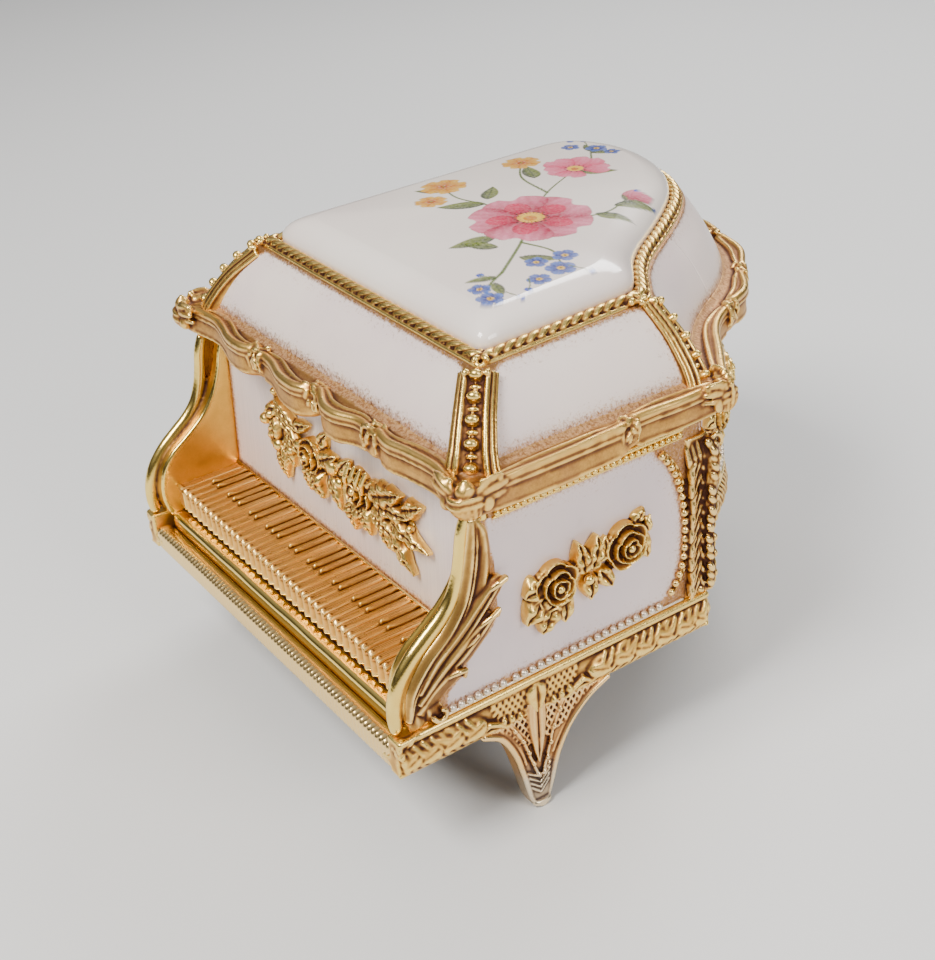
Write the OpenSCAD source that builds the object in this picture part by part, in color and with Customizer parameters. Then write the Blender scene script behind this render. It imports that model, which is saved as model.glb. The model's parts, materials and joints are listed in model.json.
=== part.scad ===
// Grand-piano musical jewellery box with a turning ballerina.
// Millimetres. +Z up, origin on the table under the middle of the box,
// -Y is the keyboard side, +Y the tail, +X the treble side.

/* [Overall] */
// Half width of the lid rim
half_w = 59; // [58.5:0.1:59.5]
// Height of the legs under the base frame
leg_h = 24.5; // [24:0.5:26]
// Height of the base frame band
band_h = 8.8; // [8.4:0.1:9.2]
// Height from the base frame's foot to the top of the walls
wall_top = 50.5; // [50:0.1:51]

/* [Keyboard] */
// Number of white keys
white_keys = 36; // [29:7:36]
// Depth of a white key
key_len = 16.9; // [16:0.1:17]

/* [Lid] */
// Thickness of the glazed plaque over its seat
plaque_h = 7.4; // [6:0.1:7.4]
// How far the inner border lies inside the rim
border_in = 15.2; // [15:0.1:15.4]

/* [Movement] */
// Teeth of the crown gear on the spring drum
crown_teeth = 48; // [48:48:48]
// Teeth of the cylinder's pinion
pinion_teeth = 16; // [16:16:16]
// Pins round the cylinder at each comb tooth
pin_rows = 2; // [1:1:3]
// Teeth on the comb
comb_teeth = 18; // [12:6:18]

/* [Ballerina] */
// Radius of the tutu
tutu_r = 9.6; // [8:0.2:10]
// Length of the legs
legs_len = 14.5; // [13.5:0.1:14.5]

/* [Hidden] */
$fn = 72;

white_c = "#efe6e2"; gold_c = "#c9973f"; velvet_c = "#8c1626"; brass_c = "#b98f3e"; steel_c = "#b9bcc0";

// plan: the tail is an arc about c1, the bentside an arc about c2 that meets it smoothly
c1 = [-19, 12]; r1 = 57; c2 = [84.3, 66.9]; r2 = norm(c2 - c1) - r1; r3 = 30;
a12 = atan2(c2[1] - c1[1], c2[0] - c1[0]);
yl = -51.3;                 // front line of the lid rim
yf = -70;                   // front line of the base frame
z0 = leg_h;                 // foot of the base frame
z1 = z0 + band_h;           // foot of the walls
z2 = z0 + wall_top;         // top of the walls
z3 = z2 + 0.5;              // foot of the lid rim
zp = z3 + 5;                // foot of the lid's sloping panels
zt = zp + 15.8;             // top of the sloping panels
zs = zt + 0.1;              // seat of the plaque

function cx3(d, e) = -(half_w + d) + r3 + e;
function cy3(d, e) = c1[1] + sqrt(pow(r1 - r3, 2) - pow(cx3(d, e) - c1[0], 2));
function a3(d, e) = atan2(cy3(d, e) - c1[1], cx3(d, e) - c1[0]);
function ycor(d, e) = c2[1] - sqrt(pow(r2 - e, 2) - pow(c2[0] - half_w - d, 2));
function acor(d, e) = atan2(ycor(d, e) - c2[1], half_w + d - c2[0]);
function arc(c, r, a, b, n, k = 0) = [for (i = [k:n]) [c[0] + r * cos(a + (b - a) * i / n), c[1] + r * sin(a + (b - a) * i / n)]];
// closed outline, sides moved out by d and the bentside and tail by e, front line at y
function outline(d, e, y) = concat(
  [[-(half_w + d), y], [half_w + d, y]],
  arc(c2, r2 - e, acor(d, e), a12 - 180, 12),
  arc(c1, r1 + e, a12, a3(d, e), 22, 1),
  arc([cx3(d, e), cy3(d, e)], r3 + e, a3(d, e), 180, 12, 1));
module slab(d, e, y, h) { linear_extrude(h) polygon(outline(d, e, y)); }

// a profile, x outward and y up, swept along a straight edge from p, with the outside on the left
module along(p, ang, len) { translate([p[0], p[1], 0]) rotate([0, 0, ang]) rotate([90, 0, 90]) linear_extrude(len) children(); }
module turned(c, a, b) { translate([c[0], c[1], 0]) rotate([0, 0, a]) rotate_extrude(angle = b - a, $fn = 96) children(); }
module outward(r) { translate([r, 0]) children(); }
module inward(r) { translate([r, 0]) mirror([1, 0]) children(); }
module wedge(pts) { translate([0, 0, -10]) linear_extrude(160) polygon(pts); }

// lid sections, cut on the corner lines so that they meet
kx = (ycor(0, 0) - ycor(-15, -15)) / 15;
module lid_front() { intersection() { along([half_w + 4, yl], 180, 2 * half_w + 8) children(); wedge([[half_w + 6, yl - 6], [half_w - 30, yl + 30], [-half_w + 30, yl + 30], [-half_w - 6, yl - 6]]); } }
module lid_right() { intersection() { along([half_w, 30], -90, 90) children(); wedge([[half_w + 6, yl - 6], [half_w + 6, ycor(0, 0) + 6 * kx], [half_w - 30, ycor(0, 0) - 30 * kx], [half_w - 30, yl + 30]]); } }
module lid_left() { intersection() { along([-half_w, yl - 6], 90, cy3(0, 0) - yl + 6) children(); wedge([[-half_w - 6, yl - 6], [-half_w + 30, yl + 30], [-half_w + 30, 60], [-half_w - 6, 60]]); } }
module lid_bent() { intersection() { turned(c2, a12 - 179.9, a12 - 120) inward(r2) children(); wedge([[half_w + 9, ycor(0, 0) + 9 * kx + 0.08], [half_w - 30, ycor(0, 0) - 30 * kx + 0.08], [0, ycor(0, 0) - 59 * kx - 8], [-20, 60], [80, 70]]); } }
module lid_tail() { turned(c1, a12, a3(0, 0)) outward(r1) children(); turned([cx3(0, 0), cy3(0, 0)], a3(0, 0), 180) outward(r3) children(); }

module panel_profile() { polygon([[-4, zp], [-6.4, zp + 4.8], [-10, zp + 10.3], [-border_in, zt], [-border_in - 1.7, zt], [-11.4, zp + 10], [-7.9, zp + 4.9], [-5.8, zp]]); }

// ---------- case ----------
hb = half_w - 1.5; eb = -4;          // base frame
module frame_profile() { polygon([[-4, z0], [-0.9, z0], [0, z0 + 1.1], [0, z1 - 1.6], [-0.9, z1], [-4, z1], [-4, z0 + 3.3], [-7, z0 + 3.3], [-7, z0 + 1.8], [-4, z0 + 1.8]]); }
plate_screws = [[50, -52], [-50, -52], [48, -4], [-51.3, 24]];
module base_frame() { color(gold_c) difference() { union() {
    intersection() { along([hb, 20], -90, 90) frame_profile(); wedge([[70, yf], [70, ycor(-1.5, eb) + 20 * kx], [hb - 20, ycor(-1.5, eb) - 20 * kx], [hb - 20, yf]]); }
    along([-hb, yf], 90, cy3(-1.5, eb) - yf) frame_profile();
    intersection() { turned(c2, a12 - 179.9, a12 - 120) inward(r2 - eb) frame_profile(); wedge([[hb + 12.5, ycor(-1.5, eb) + 12.5 * kx + 0.08], [hb - 20, ycor(-1.5, eb) - 20 * kx + 0.08], [0, -25], [-20, 60], [80, 70]]); }
    turned(c1, a12, a3(-1.5, eb)) outward(r1 + eb) frame_profile();
    turned([cx3(-1.5, eb), cy3(-1.5, eb)], a3(-1.5, eb), 180) outward(r3 + eb) frame_profile();
    for (p = plate_screws) translate([p[0], p[1], z0 + 1.8]) cylinder(r = 3.1, h = 4.2); }
    for (p = plate_screws) translate([p[0], p[1], z0 - 1]) cylinder(r = 0.9, h = 6);
    translate([-54, yf - 1, z0 - 1]) cube([108, 5, 20]); } }
module front_rail() { color(gold_c) translate([-53.4, 0, 0]) rotate([90, 0, 90]) linear_extrude(106.8) polygon([[yf + 0.5, z0 - 0.2], [yf, z0 + 0.5], [yf, z0 + 4.8], [yf + 0.7, z0 + 6], [yf + 4, z0 + 6], [yf + 4, z0 + 0.6], [yf + 3, z0 - 0.2]]); }
module key_bed() { color(gold_c) translate([-50.4, 0, 0]) rotate([90, 0, 90]) linear_extrude(100.8) polygon([[yf + 4.1, z0 + 1.8], [yf + 4.1, z0 + 8.4], [yf + 4.8, z0 + 9.3], [yf + 6.2, z0 + 9.3], [yf + 7.9, z0 + 9.3], [yf + 7.9, z0 + 14.9], [yf + 26.8, z0 + 14.9], [yf + 26.8, z0 + 13.4], [yf + 9.4, z0 + 13.4], [yf + 9.4, z0 + 7.8], [yf + 5.8, z0 + 7.8], [yf + 5.8, z0 + 1.8]]); }
key_end = 2.7; // plain end block at the bass end
kp = (100.6 - key_end) / white_keys;
function ridged(n, p, w, lo, hi) = [for (i = [0:n - 1]) each [[key_end + i * p + w / 2, lo], [key_end + i * p + w / 2, hi], [key_end + (i + 1) * p - w / 2, hi], [key_end + (i + 1) * p - w / 2, lo]]];
sharps = [for (i = [0:white_keys - 2]) if ((i % 7) != 2 && (i % 7) != 6) i];
module keyboard() { color(gold_c) {
    // key tops, keys run along Y
    translate([-50.3, yf + 6.4 + key_len, 0]) rotate([90, 0, 0]) linear_extrude(key_len) polygon(concat([[0, z0 + 15], [0, z0 + 16.6], [key_end - 0.25, z0 + 16.6], [key_end - 0.25, z0 + 16]], ridged(white_keys, kp, 0.5, z0 + 16, z0 + 16.6), [[100.6, z0 + 16], [100.6, z0 + 15]]));
    // key fronts
    translate([-50.3, yf + 7.8, z0 + 10.6]) mirror([0, 1, 0]) linear_extrude(4.4) polygon(concat([[0, 0], [0, 1.4], [key_end - 0.25, 1.4], [key_end - 0.25, 0.8]], ridged(white_keys, kp, 0.5, 0.8, 1.4), [[100.6, 0.8], [100.6, 0]])); } }
module black_keys() { color(gold_c) for (i = sharps) translate([-50.3 + key_end + (i + 1) * kp - 0.55, yf + 13.2, z0 + 16.6]) rotate([90, 0, 90]) linear_extrude(1.1) polygon([[0, 0], [0.5, 1], [key_len - 7.4, 1], [key_len - 7.2, 0.8], [key_len - 7.2, 0]]); }
nb_t = 1.9; // nameboard lean over its height
module nameboard() { color(white_c) translate([-50.4, 0, 0]) rotate([90, 0, 90]) linear_extrude(100.8) polygon([[yf + 23.4, z0 + 15], [yf + 23.4, z0 + 16.8], [yf + 23.4 + nb_t, z2], [yf + 25.3 + nb_t, z2], [yf + 25.2, z0 + 15]]); }
module on_board(x, z) { translate([x, yf + 23.4 + nb_t * (z - z0 - 16.8) / (wall_top - 16.8), z]) rotate([90 - atan(nb_t / (wall_top - 16.8)), 0, 0]) children(); }
module boss(r, h) { intersection() { translate([0, 0, h - r]) sphere(r = r); translate([-20, -20, 0]) cube([40, 40, 20]); } }
swag = [[-29, 38, 4.2, 2.2], [-23, 42.5, 3.4, 1.8], [-20, 33.5, 4.6, 2.6], [-12, 31.5, 5.2, 3], [-4, 34, 5.6, 3.4], [4, 31, 5.2, 3.2], [11, 34, 5.6, 3.4], [18, 31.5, 5, 3], [25, 34, 4.6, 2.6], [29, 41, 3.8, 2], [34, 36, 4, 2], [31, 29.5, 3.6, 1.8]];
module knob(r, h) { rotate_extrude() polygon([[0, 0], [r, 0], [r * 0.9, h * 0.45], [r * 0.66, h * 0.8], [r * 0.3, h], [0, h]]); }
module nameboard_garland() { color(gold_c) { for (s = swag) on_board(s[0], z0 + s[1]) knob(s[2], s[3]);
    on_board(0, z0 + 30) linear_extrude(0.6) polygon([[-31, 8.3], [-24, 12.4], [-21, 4], [-12, 3.2], [-4, 5.4], [4, 2.4], [11, 5.2], [18, 2.6], [25, 5.4], [29.6, 11.4], [34.6, 6.6], [31, -0.8], [25, 2.4], [18, 0.2], [11, 2.6], [4, -0.4], [-4, 2.6], [-12, 0.2], [-21, 1.8], [-27.5, 7]]); } }
wt = 1.6; yw = yf + 25.4;
module right_side_panel() { color(white_c) translate([half_w - 3 - wt, yw, z1]) cube([wt, ycor(-3, -5.5) - yw - 0.9, z2 - z1]); }
module left_side_panel() { color(white_c) translate([-half_w + 3, yw, z1]) cube([wt, cy3(-3, -5.5) - yw, z2 - z1]); }
module bentside_panel() { color(white_c) intersection() { turned(c2, a12 - 179.9, a12 - 120) outward(r2 + 5.5) translate([0, z1]) square([wt, z2 - z1]); wedge([[half_w - 3, ycor(-3, -5.5) - 0.9], [30, ycor(-3, -5.5) - 0.9], [0, 0], [0, 60], [half_w - 3, 40]]); } }
module tail_panel() { color(white_c) { turned(c1, a12, a3(-3, -5.5)) outward(r1 - 5.5 - wt) translate([0, z1]) square([wt, z2 - z1]);
    turned([cx3(-3, -5.5), cy3(-3, -5.5)], a3(-3, -5.5), 180) outward(r3 - 5.5 - wt) translate([0, z1]) square([wt, z2 - z1]); } }
module mould_profile() { polygon([[0, z2 - 2.9], [0.9, z2 - 2.2], [1.2, z2 - 1.2], [0.9, z2 - 0.4], [0, z2]]); }
ym = yw + 0.2; // moulding starts behind the cheeks
module upper_moulding() { color(gold_c) difference() { union() {
    along([half_w - 3, ycor(-3, -5.5)], -90, ycor(-3, -5.5) - ym) mould_profile();
    along([-half_w + 3, ym], 90, cy3(-3, -5.5) - ym) mould_profile();
    intersection() { turned(c2, a12 - 179.9, a12 - 120) inward(r2 + 5.5) mould_profile(); wedge([[half_w - 1, ycor(-3, -5.5) - 0.1], [30, ycor(-3, -5.5) - 0.1], [0, 0], [0, 60], [half_w - 1, 40]]); }
    turned(c1, a12, a3(-3, -5.5)) outward(r1 - 5.5) mould_profile();
    turned([cx3(-3, -5.5), cy3(-3, -5.5)], a3(-3, -5.5), 180) outward(r3 - 5.5) mould_profile(); }
    for (y = hinge_y) translate([-half_w - 2, y - 8.2, z2 - 12]) cube([6, 16.4, 14]);
    translate([half_w - 3.3, ycor(-3, -5.5) - 5.1, z1]) cube([6, 12, 60]);
    translate([half_w - 9.9, ycor(-3, -5.5) - 5.6, z1]) cube([14, 8.2, 60]); } }
cheek_pts = [[24.3, 50.5], [22.8, 46], [21.8, 42], [19.6, 36.5], [16.2, 31.8], [11.6, 28], [7.4, 25], [4.4, 21.4], [3, 17], [3, 12.6], [4.2, 8.8], [25.3, 8.8], [25.3, 50.5]];
module cheek() { rotate([90, 0, 90]) linear_extrude(5.5) polygon([for (p = cheek_pts) [yf + p[0], z0 + p[1]]]); }
leaf_pts = [[25.4, 46], [27.5, 34.5], [28.4, 31], [25.8, 27], [24.5, 22.5], [19.5, 18.4], [16, 13.5], [10, 11], [6, 12], [5.5, 18], [8, 23], [14, 28], [20, 34], [23.4, 42]];
module leaf() { rotate([90, 0, 90]) linear_extrude(1.5) polygon([for (p = leaf_pts) [yf + p[0], z0 + p[1]]]); }
module right_cheek() { color(gold_c) { translate([half_w - 8.5, 0, 0]) cheek(); translate([half_w - 3, 0, 0]) leaf(); } }
module left_cheek() { color(gold_c) mirror([1, 0, 0]) { translate([half_w - 8.5, 0, 0]) cheek(); translate([half_w - 3, 0, 0]) leaf(); } }
yc = ycor(-3, -5.5);
module rear_corner_bracket() { color(gold_c) difference() {
    hull() { translate([half_w - 3, yc - 4.5, z1]) cylinder(r = 0.8, h = 41.5, $fn = 24); translate([half_w - 3.6, yc + 0.4, z1]) cylinder(r = 1.3, h = 41.5, $fn = 24); translate([half_w - 8.5, yc + 1.2, z1]) cylinder(r = 0.9, h = 41.5, $fn = 24); }
    translate([0, 0, z1 - 1]) linear_extrude(60) polygon(concat([[0, -45], [half_w - 3, -45]], arc(c2, r2 + 5.5, acor(-3, -5.5), a12 - 180, 10))); } }
module spray(n) { for (i = [-1, 1]) translate([i * 9.2, i * 2.6, 0]) { boss(7.2, 3.6); translate([0, 0, 3.2]) cylinder(r1 = 2.6, r2 = 1.2, h = 1); }
    boss(4.4, 2.6); for (i = [-1, 1]) translate([i * 16, i * 3.4, 0]) boss(3.4, 1.8); }
module right_rose_spray() { color(gold_c) translate([half_w - 3, yf + 47.5, z0 + 27.5]) rotate([90, 0, 90]) spray(); }
module left_rose_spray() { color(gold_c) translate([-half_w + 3, yf + 58, z0 + 27.5]) rotate([90, 0, -90]) spray(); }
ts_a = 42;
module tail_rose_spray() { color(gold_c) difference() { translate([c1[0] + (r1 - 8) * cos(ts_a), c1[1] + (r1 - 8) * sin(ts_a), z0 + 27.5]) rotate([0, 0, ts_a]) rotate([90, 0, 90]) scale([0.72, 0.8, 1.62]) spray();
    translate([c1[0], c1[1], z1 - 2]) cylinder(r = r1 - 5.5, h = 60, $fn = 96); } }
leg_pts = [[19, 0], [23.2, -2.6], [26.2, -8], [28.2, -15], [29.6, -21], [31, -leg_h], [34.4, -leg_h], [35.8, -20.5], [37.8, -13.2], [41, -7.2], [46, -2.6], [51.5, 0]];
module leg_side() { rotate([90, 0, 90]) translate([0, 0, -4.4]) linear_extrude(4.4) polygon([for (p = leg_pts) [p[0] - 32.7, p[1]]]); }
module right_leg() { color(gold_c) translate([hb - 0.3, yf + 32.7, z0]) leg_side(); }
module left_leg() { color(gold_c) mirror([1, 0, 0]) translate([hb - 0.3, yf + 32.7, z0]) leg_side(); }
leg_a = 80;
module tail_leg() { color(gold_c) translate([c1[0] + (r1 + eb - 0.3) * cos(leg_a), c1[1] + (r1 + eb - 0.3) * sin(leg_a), z0]) rotate([0, 0, leg_a]) intersection() { translate([0.2, 0, 0]) leg_side(); translate([-10, -10.5, -40]) cube([20, 21, 60]); } }
module bottom_plate() { color("#3a3634") difference() {
    translate([0, 0, z0 + 0.5]) slab(-5.65, -8.15, yf + 4.3, 1.2);
    translate([ax[0], ax[1], z0 - 1]) cylinder(r = 4.5, h = 4);
    for (p = bed_screws) translate([ax[0] + p[0], ax[1] + p[1], z0 - 1]) cylinder(r = 1.1, h = 4);
    for (p = plate_screws) translate([p[0], p[1], z0 - 1]) cylinder(r = 1.1, h = 4);
    for (i = [-3:3]) translate([i * 6 - 1, -34, z0 - 1]) cube([2, 18, 4]); } }
module pan_screw(r, hr, hh, len) { translate([0, 0, -hh]) cylinder(r = hr, h = hh); cylinder(r = r, h = len); }
module plate_screw_set() { for (p = plate_screws) translate([p[0], p[1], z0 + 0.45]) difference() { pan_screw(0.85, 1.9, 1, 4.2); translate([-2, -0.25, -1.1]) cube([4, 0.5, 0.5]); } }

// ---------- linings ----------
yd = yf + 76.2; // front face of the rear tray
ft = 1.2;
module front_tray() { color(velvet_c) difference() { translate([-54.2, yf + 27.3, z0 + 9]) cube([108.4, yd - yf - 27.5, 38.6]);
    translate([-54.2 + ft, yf + 27.3 + ft, z0 + 9 + ft]) cube([34, yd - yf - 27.5 - 2 * ft, 50]);
    translate([-54.2 + 2 * ft + 34, yf + 27.3 + ft, z0 + 9 + ft]) cube([108.4 - 3 * ft - 34, yd - yf - 27.5 - 2 * ft, 50]);
    translate([-54.2 + ft, yf + 27.3 + ft, z0 + 34]) cube([108.4 - 2 * ft, yd - yf - 27.5 - 2 * ft, 50]);
    for (s = [-1, 1]) translate([s * 50 - 3.6, yf + 17, z0 + 8]) cube([7.2, 5, 30]); } }
roll_w = 6.6;
module ring_rolls() { color("#a01c30") for (i = [0:4]) translate([-52.8 + roll_w / 2 + i * (roll_w + 0.1), yf + 28.8, z0 + 10.3]) rotate([-90, 0, 0]) linear_extrude(yd - yf - 30.5) union() { translate([0, -10]) circle(r = roll_w / 2, $fn = 48); translate([-roll_w / 2, -10]) square([roll_w, 10]); } }
module tray_wall() { translate([0, z0 + 29.9]) square([1.1, 17.7]); }
rod = [c2[0] - 68.9 * cos(37), c2[1] - 68.9 * sin(37)];
module rear_tray() { color(velvet_c) difference() { union() {
    intersection() { translate([0, 0, z0 + 30]) slab(-5.3, -7.8, yf + 30, 1.5); translate([-70, yd, 0]) cube([140, 80, 100]); }
    along([-half_w + 4.8, yd], 90, cy3(-4.8, -7.3) - yd) translate([-1.1, 0]) tray_wall();
    intersection() { turned(c2, a12 - 179.9, a12 - 120) outward(r2 + 7.3) tray_wall(); translate([-70, yd, 0]) cube([135, 80, 100]); }
    turned(c1, a12, a3(-4.8, -7.3)) outward(r1 - 7.3 - 1.1) tray_wall();
    turned([cx3(-4.8, -7.3), cy3(-4.8, -7.3)], a3(-4.8, -7.3), 180) outward(r3 - 7.3 - 1.1) tray_wall(); }
    translate([ax[0], ax[1], z0 + 28]) cylinder(r = 3, h = 6);
    translate([rod[0], rod[1], z0 + 28]) cylinder(r = 1.7, h = 22); } }

// ---------- movement, in place about the winding axis ----------
ax = [-22, 25.5];
worm_starts = 4; worm_wheel = 16; worm_lead = worm_starts * 1.53;
zb = z0 + 3.7;        // bedplate
zd = zb + 1.8;        // drum
zc = zd + 9;          // top of the drum, foot of the crown teeth
crown_r = 11.5;
pin_pr = crown_r * pinion_teeth / crown_teeth;   // pitch radius of the pinion
za = zc + 0.62 + pin_pr; // height of the cylinder axis
cyl_r = 6.2;
gw = [-7.2, za - 3.5];   // governor wheel axis, y and z
wy = gw[0] - 5.5;        // worm axis, y
xw = 36.1;               // worm axis, x
bed_screws = [[-13, -13], [-13, 14], [22, 20], [24, -14]];
module at_ax() { translate([ax[0], ax[1], 0]) children(); }
module along_x(x, y, z) { translate([x, y, z]) rotate([90, 0, 90]) children(); }
function gear(n, rr, ro, fr, fo, ph = 0) = [for (i = [0:n - 1]) let (a = i * 360 / n + ph, p = 360 / n) each [
  [rr * cos(a - p * fr / 2), rr * sin(a - p * fr / 2)],
  [ro * cos(a - p * fo / 2), ro * sin(a - p * fo / 2)], [ro * cos(a + p * fo / 2), ro * sin(a + p * fo / 2)],
  [rr * cos(a + p * fr / 2), rr * sin(a + p * fr / 2)]]];
module bedplate() { color(brass_c) at_ax() difference() { union() { translate([0, 0, zb]) linear_extrude(1.2) polygon([[-16, -17], [40, -17], [40, 8], [33, 24], [-16, 24]]); translate([11, 10, zb]) cube([22, 14, za - 0.55 - zb]); }
    translate([0, 0, zb - 1]) cylinder(r = 2, h = 3);
    translate([12.2, 8, zb + 1.2]) cube([19.6, 8.5, 20]);
    for (x = [15, 22, 29]) translate([x, 20.5, za - 5]) cylinder(r = 0.85, h = 5);
    for (p = bed_screws) translate([p[0], p[1], zb - 1]) cylinder(r = 0.9, h = 4); } }
module bedplate_spacers() { color(steel_c) at_ax() for (p = bed_screws) translate([p[0], p[1], z0 + 1.7]) difference() { cylinder(r = 2.4, h = 2); translate([0, 0, -1]) cylinder(r = 1.1, h = 4); } }
ct_p = 16.2 / comb_teeth;
module comb() { color(steel_c) at_ax() difference() { translate([0, 0, za - 0.55]) linear_extrude(0.9) polygon(concat([[31.9, 23.4], [12.2, 23.4], [12.2, 16.8]], [for (i = [0:comb_teeth - 1]) let (x = 14.5 + i * ct_p) each [[x + 0.11, 16.8], [x + 0.11, cyl_r + 0.45], [x + ct_p - 0.11, cyl_r + 0.45], [x + ct_p - 0.11, 16.8]]], [[31.9, 16.8]]));
    for (x = [15, 22, 29]) translate([x, 20.5, za - 2]) cylinder(r = 1.1, h = 4); } }
module movement_screw_set() { at_ax() { for (x = [15, 22, 29]) translate([x, 20.5, za + 0.35]) mirror([0, 0, 1]) difference() { pan_screw(0.8, 1.6, 0.9, 4.2); translate([-2, -0.2, -1]) cube([4, 0.4, 0.5]); }
    for (p = bed_screws) translate([p[0], p[1], z0 + 0.45]) difference() { pan_screw(0.85, 2, 1, 4.6); translate([-2.2, -0.25, -1.1]) cube([4.4, 0.5, 0.5]); } } }
module screws() { color(steel_c) { plate_screw_set(); movement_screw_set(); } }
module cylinder_bearing() { color(brass_c) at_ax() difference() { union() { translate([13, -3.5, zb + 1.2]) cube([1, 7, za - zb - 1.2]); along_x(13, 0, za) cylinder(r = 3.5, h = 1); translate([13, -3.5, zb + 1.2]) cube([4, 7, 1]); }
    along_x(12, 0, za) cylinder(r = 1.05, h = 3); } }
module governor_bracket() { color(brass_c) at_ax() difference() { union() {
    translate([33.9, -17.4, zb + 1.2]) cube([4.6, 20.4, 1]);
    translate([33.9, -9.4, zb + 1.2]) cube([0.8, 12.4, za - zb + 1.2]);
    translate([37.7, -9.4, zb + 1.2]) cube([0.8, 4.6, gw[1] - zb + 1.2]);
    translate([33.9, -17.4, zb + 1.2]) cube([4.6, 1, za + 3 - zb]);
    translate([33.9, -17.4, za + 3.2]) cube([4.6, 6.6, 1]); }
    along_x(33, 0, za) cylinder(r = 1.05, h = 2.4);
    along_x(33, gw[0], gw[1]) cylinder(r = 0.75, h = 7);
    translate([xw, wy, zb + 1]) cylinder(r = 0.65, h = 30); } }
module spindle_bush() { color(brass_c) at_ax() difference() { translate([0, 0, z0 + 29]) union() { cylinder(r = 2.95, h = 2.5); cylinder(r = 4.4, h = 0.95); } translate([0, 0, z0 + 28]) cylinder(r = 1.45, h = 5); } }
module spring_drum() { color(brass_c) at_ax() { rotate_extrude($fn = 96) polygon([[1.56, zd], [12.5, zd], [12.5, zc], [1.56, zc], [1.56, zc - 0.8], [11.7, zc - 0.8], [11.7, zd + 0.8], [1.56, zd + 0.8]]);
    translate([0, 0, zc - 0.05]) difference() { linear_extrude(1.05) polygon(gear(crown_teeth, 10.5, 12.4, 0.34, 0.34, 3.75)); translate([0, 0, -1]) cylinder(r = 9.6, h = 4, $fn = 96); } } }
msn = 120;
function spiral(n, a, b, t) = concat([for (i = [0:n]) let (r = a + (b - a) * i / n, g = i * 1980 / n) [(r + t) * cos(g), (r + t) * sin(g)]], [for (i = [n:-1:0]) let (r = a + (b - a) * i / n, g = i * 1980 / n) [r * cos(g), r * sin(g)]]);
module mainspring() { color("#8c9096") at_ax() translate([0, 0, zd + 1]) linear_extrude(6.9) polygon(spiral(msn, 2, 11.2, 0.35)); }
module drive_spindle() { color(steel_c) at_ax() difference() { translate([0, 0, zc]) union() { cylinder(r = 4, h = 1.5); cylinder(r = 1.4, h = z0 + 32.4 - zc); } } }
module turntable() { color("#c9ccd2") at_ax() difference() { translate([0, 0, z0 + 31.8]) rotate_extrude($fn = 96) polygon([[0, 0.6], [1.4, 0.6], [1.4, 0], [11, 0], [11.4, 0.4], [11.4, 0.9], [11, 1.3], [0, 1.3]]); } }
zf = z0 + 33.1;  // floor the dancer stands on
module ballerina_figure() { color("#efc9b4") at_ax() translate([0, 0, zf]) {
    cylinder(r = 1.7, h = 0.5);
    translate([0.35, 0, 0.4]) cylinder(r1 = 0.4, r2 = 0.62, h = 2.2);
    translate([0.35, 0, 2.5]) cylinder(r1 = 0.55, r2 = 0.95, h = 5.4);
    translate([0.35, 0, 7.7]) cylinder(r1 = 0.9, r2 = 1.35, h = legs_len - 7.4);
    // raised leg, bent at the knee
    translate([-0.35, 0, legs_len - 0.6]) rotate([0, -118, 0]) cylinder(r1 = 1.3, r2 = 0.85, h = 6.6);
    translate([-6.2, 0, legs_len - 3.7]) sphere(r = 0.98, $fn = 24);
    translate([-6.2, 0, legs_len - 3.7]) rotate([0, 112, 0]) cylinder(r1 = 0.8, r2 = 0.5, h = 6.2);
    translate([0, 0, legs_len]) cylinder(r1 = 2.1, r2 = 1.35, h = 2.6);
    translate([0, 0, legs_len + 2.5]) cylinder(r1 = 1.35, r2 = 1.9, h = 3);
    translate([0, 0, legs_len + 5.4]) cylinder(r1 = 1.9, r2 = 0.8, h = 1.4);
    translate([0, 0, legs_len + 6.6]) cylinder(r = 0.62, h = 1.7);
    translate([0, 0, legs_len + 9.6]) sphere(r = 1.95, $fn = 48);
    translate([0, 0.9, legs_len + 11.5]) sphere(r = 0.95, $fn = 32);
    for (s = [-1, 1]) { translate([s * 1.6, 0, legs_len + 5.3]) rotate([0, s * 50, 0]) cylinder(r1 = 0.72, r2 = 0.55, h = 5);
      translate([s * 5.3, 0, legs_len + 8.4]) sphere(r = 0.75, $fn = 24);
      translate([s * 5.3, 0, legs_len + 8.4]) rotate([0, s * -28, 0]) cylinder(r1 = 0.52, r2 = 0.4, h = 6.4);
      translate([s * 2.2, 0, legs_len + 14.2]) sphere(r = 0.62, $fn = 24); } } }
module ballerina_tutu() { color("#f3b9c6") at_ax() translate([0, 0, zf + legs_len + 1.2]) difference() { rotate_extrude($fn = 72) polygon([[1.51, 0.9], [2.6, 1.2], [tutu_r, -0.4], [tutu_r, -1.2], [5, -0.9], [3.2, -0.8], [1.77, 0]]); translate([-9, -1.7, -9]) cube([9, 3.4, 8.4]); } }
module winding_arbor() { color(steel_c) at_ax() { translate([0, 0, z0 - 15.5]) cylinder(r = 1.5, h = zc - 1.2 - z0 + 15.5); translate([0, 0, zb - 1.1]) cylinder(r = 3.2, h = 1); } }
module winding_key() { color(brass_c) at_ax() difference() { translate([0, 0, z0 - 16]) union() { cylinder(r = 2.9, h = 12); translate([0, 1, 5]) rotate([90, 0, 0]) linear_extrude(2) difference() { hull() { translate([-6.5, 0]) circle(r = 4.4); translate([6.5, 0]) circle(r = 4.4); } for (s = [-1, 1]) translate([s * 7, 0]) circle(r = 1.8); } }
    translate([0, 0, z0 - 15.5]) cylinder(r = 1.5, h = 20); } }
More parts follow.
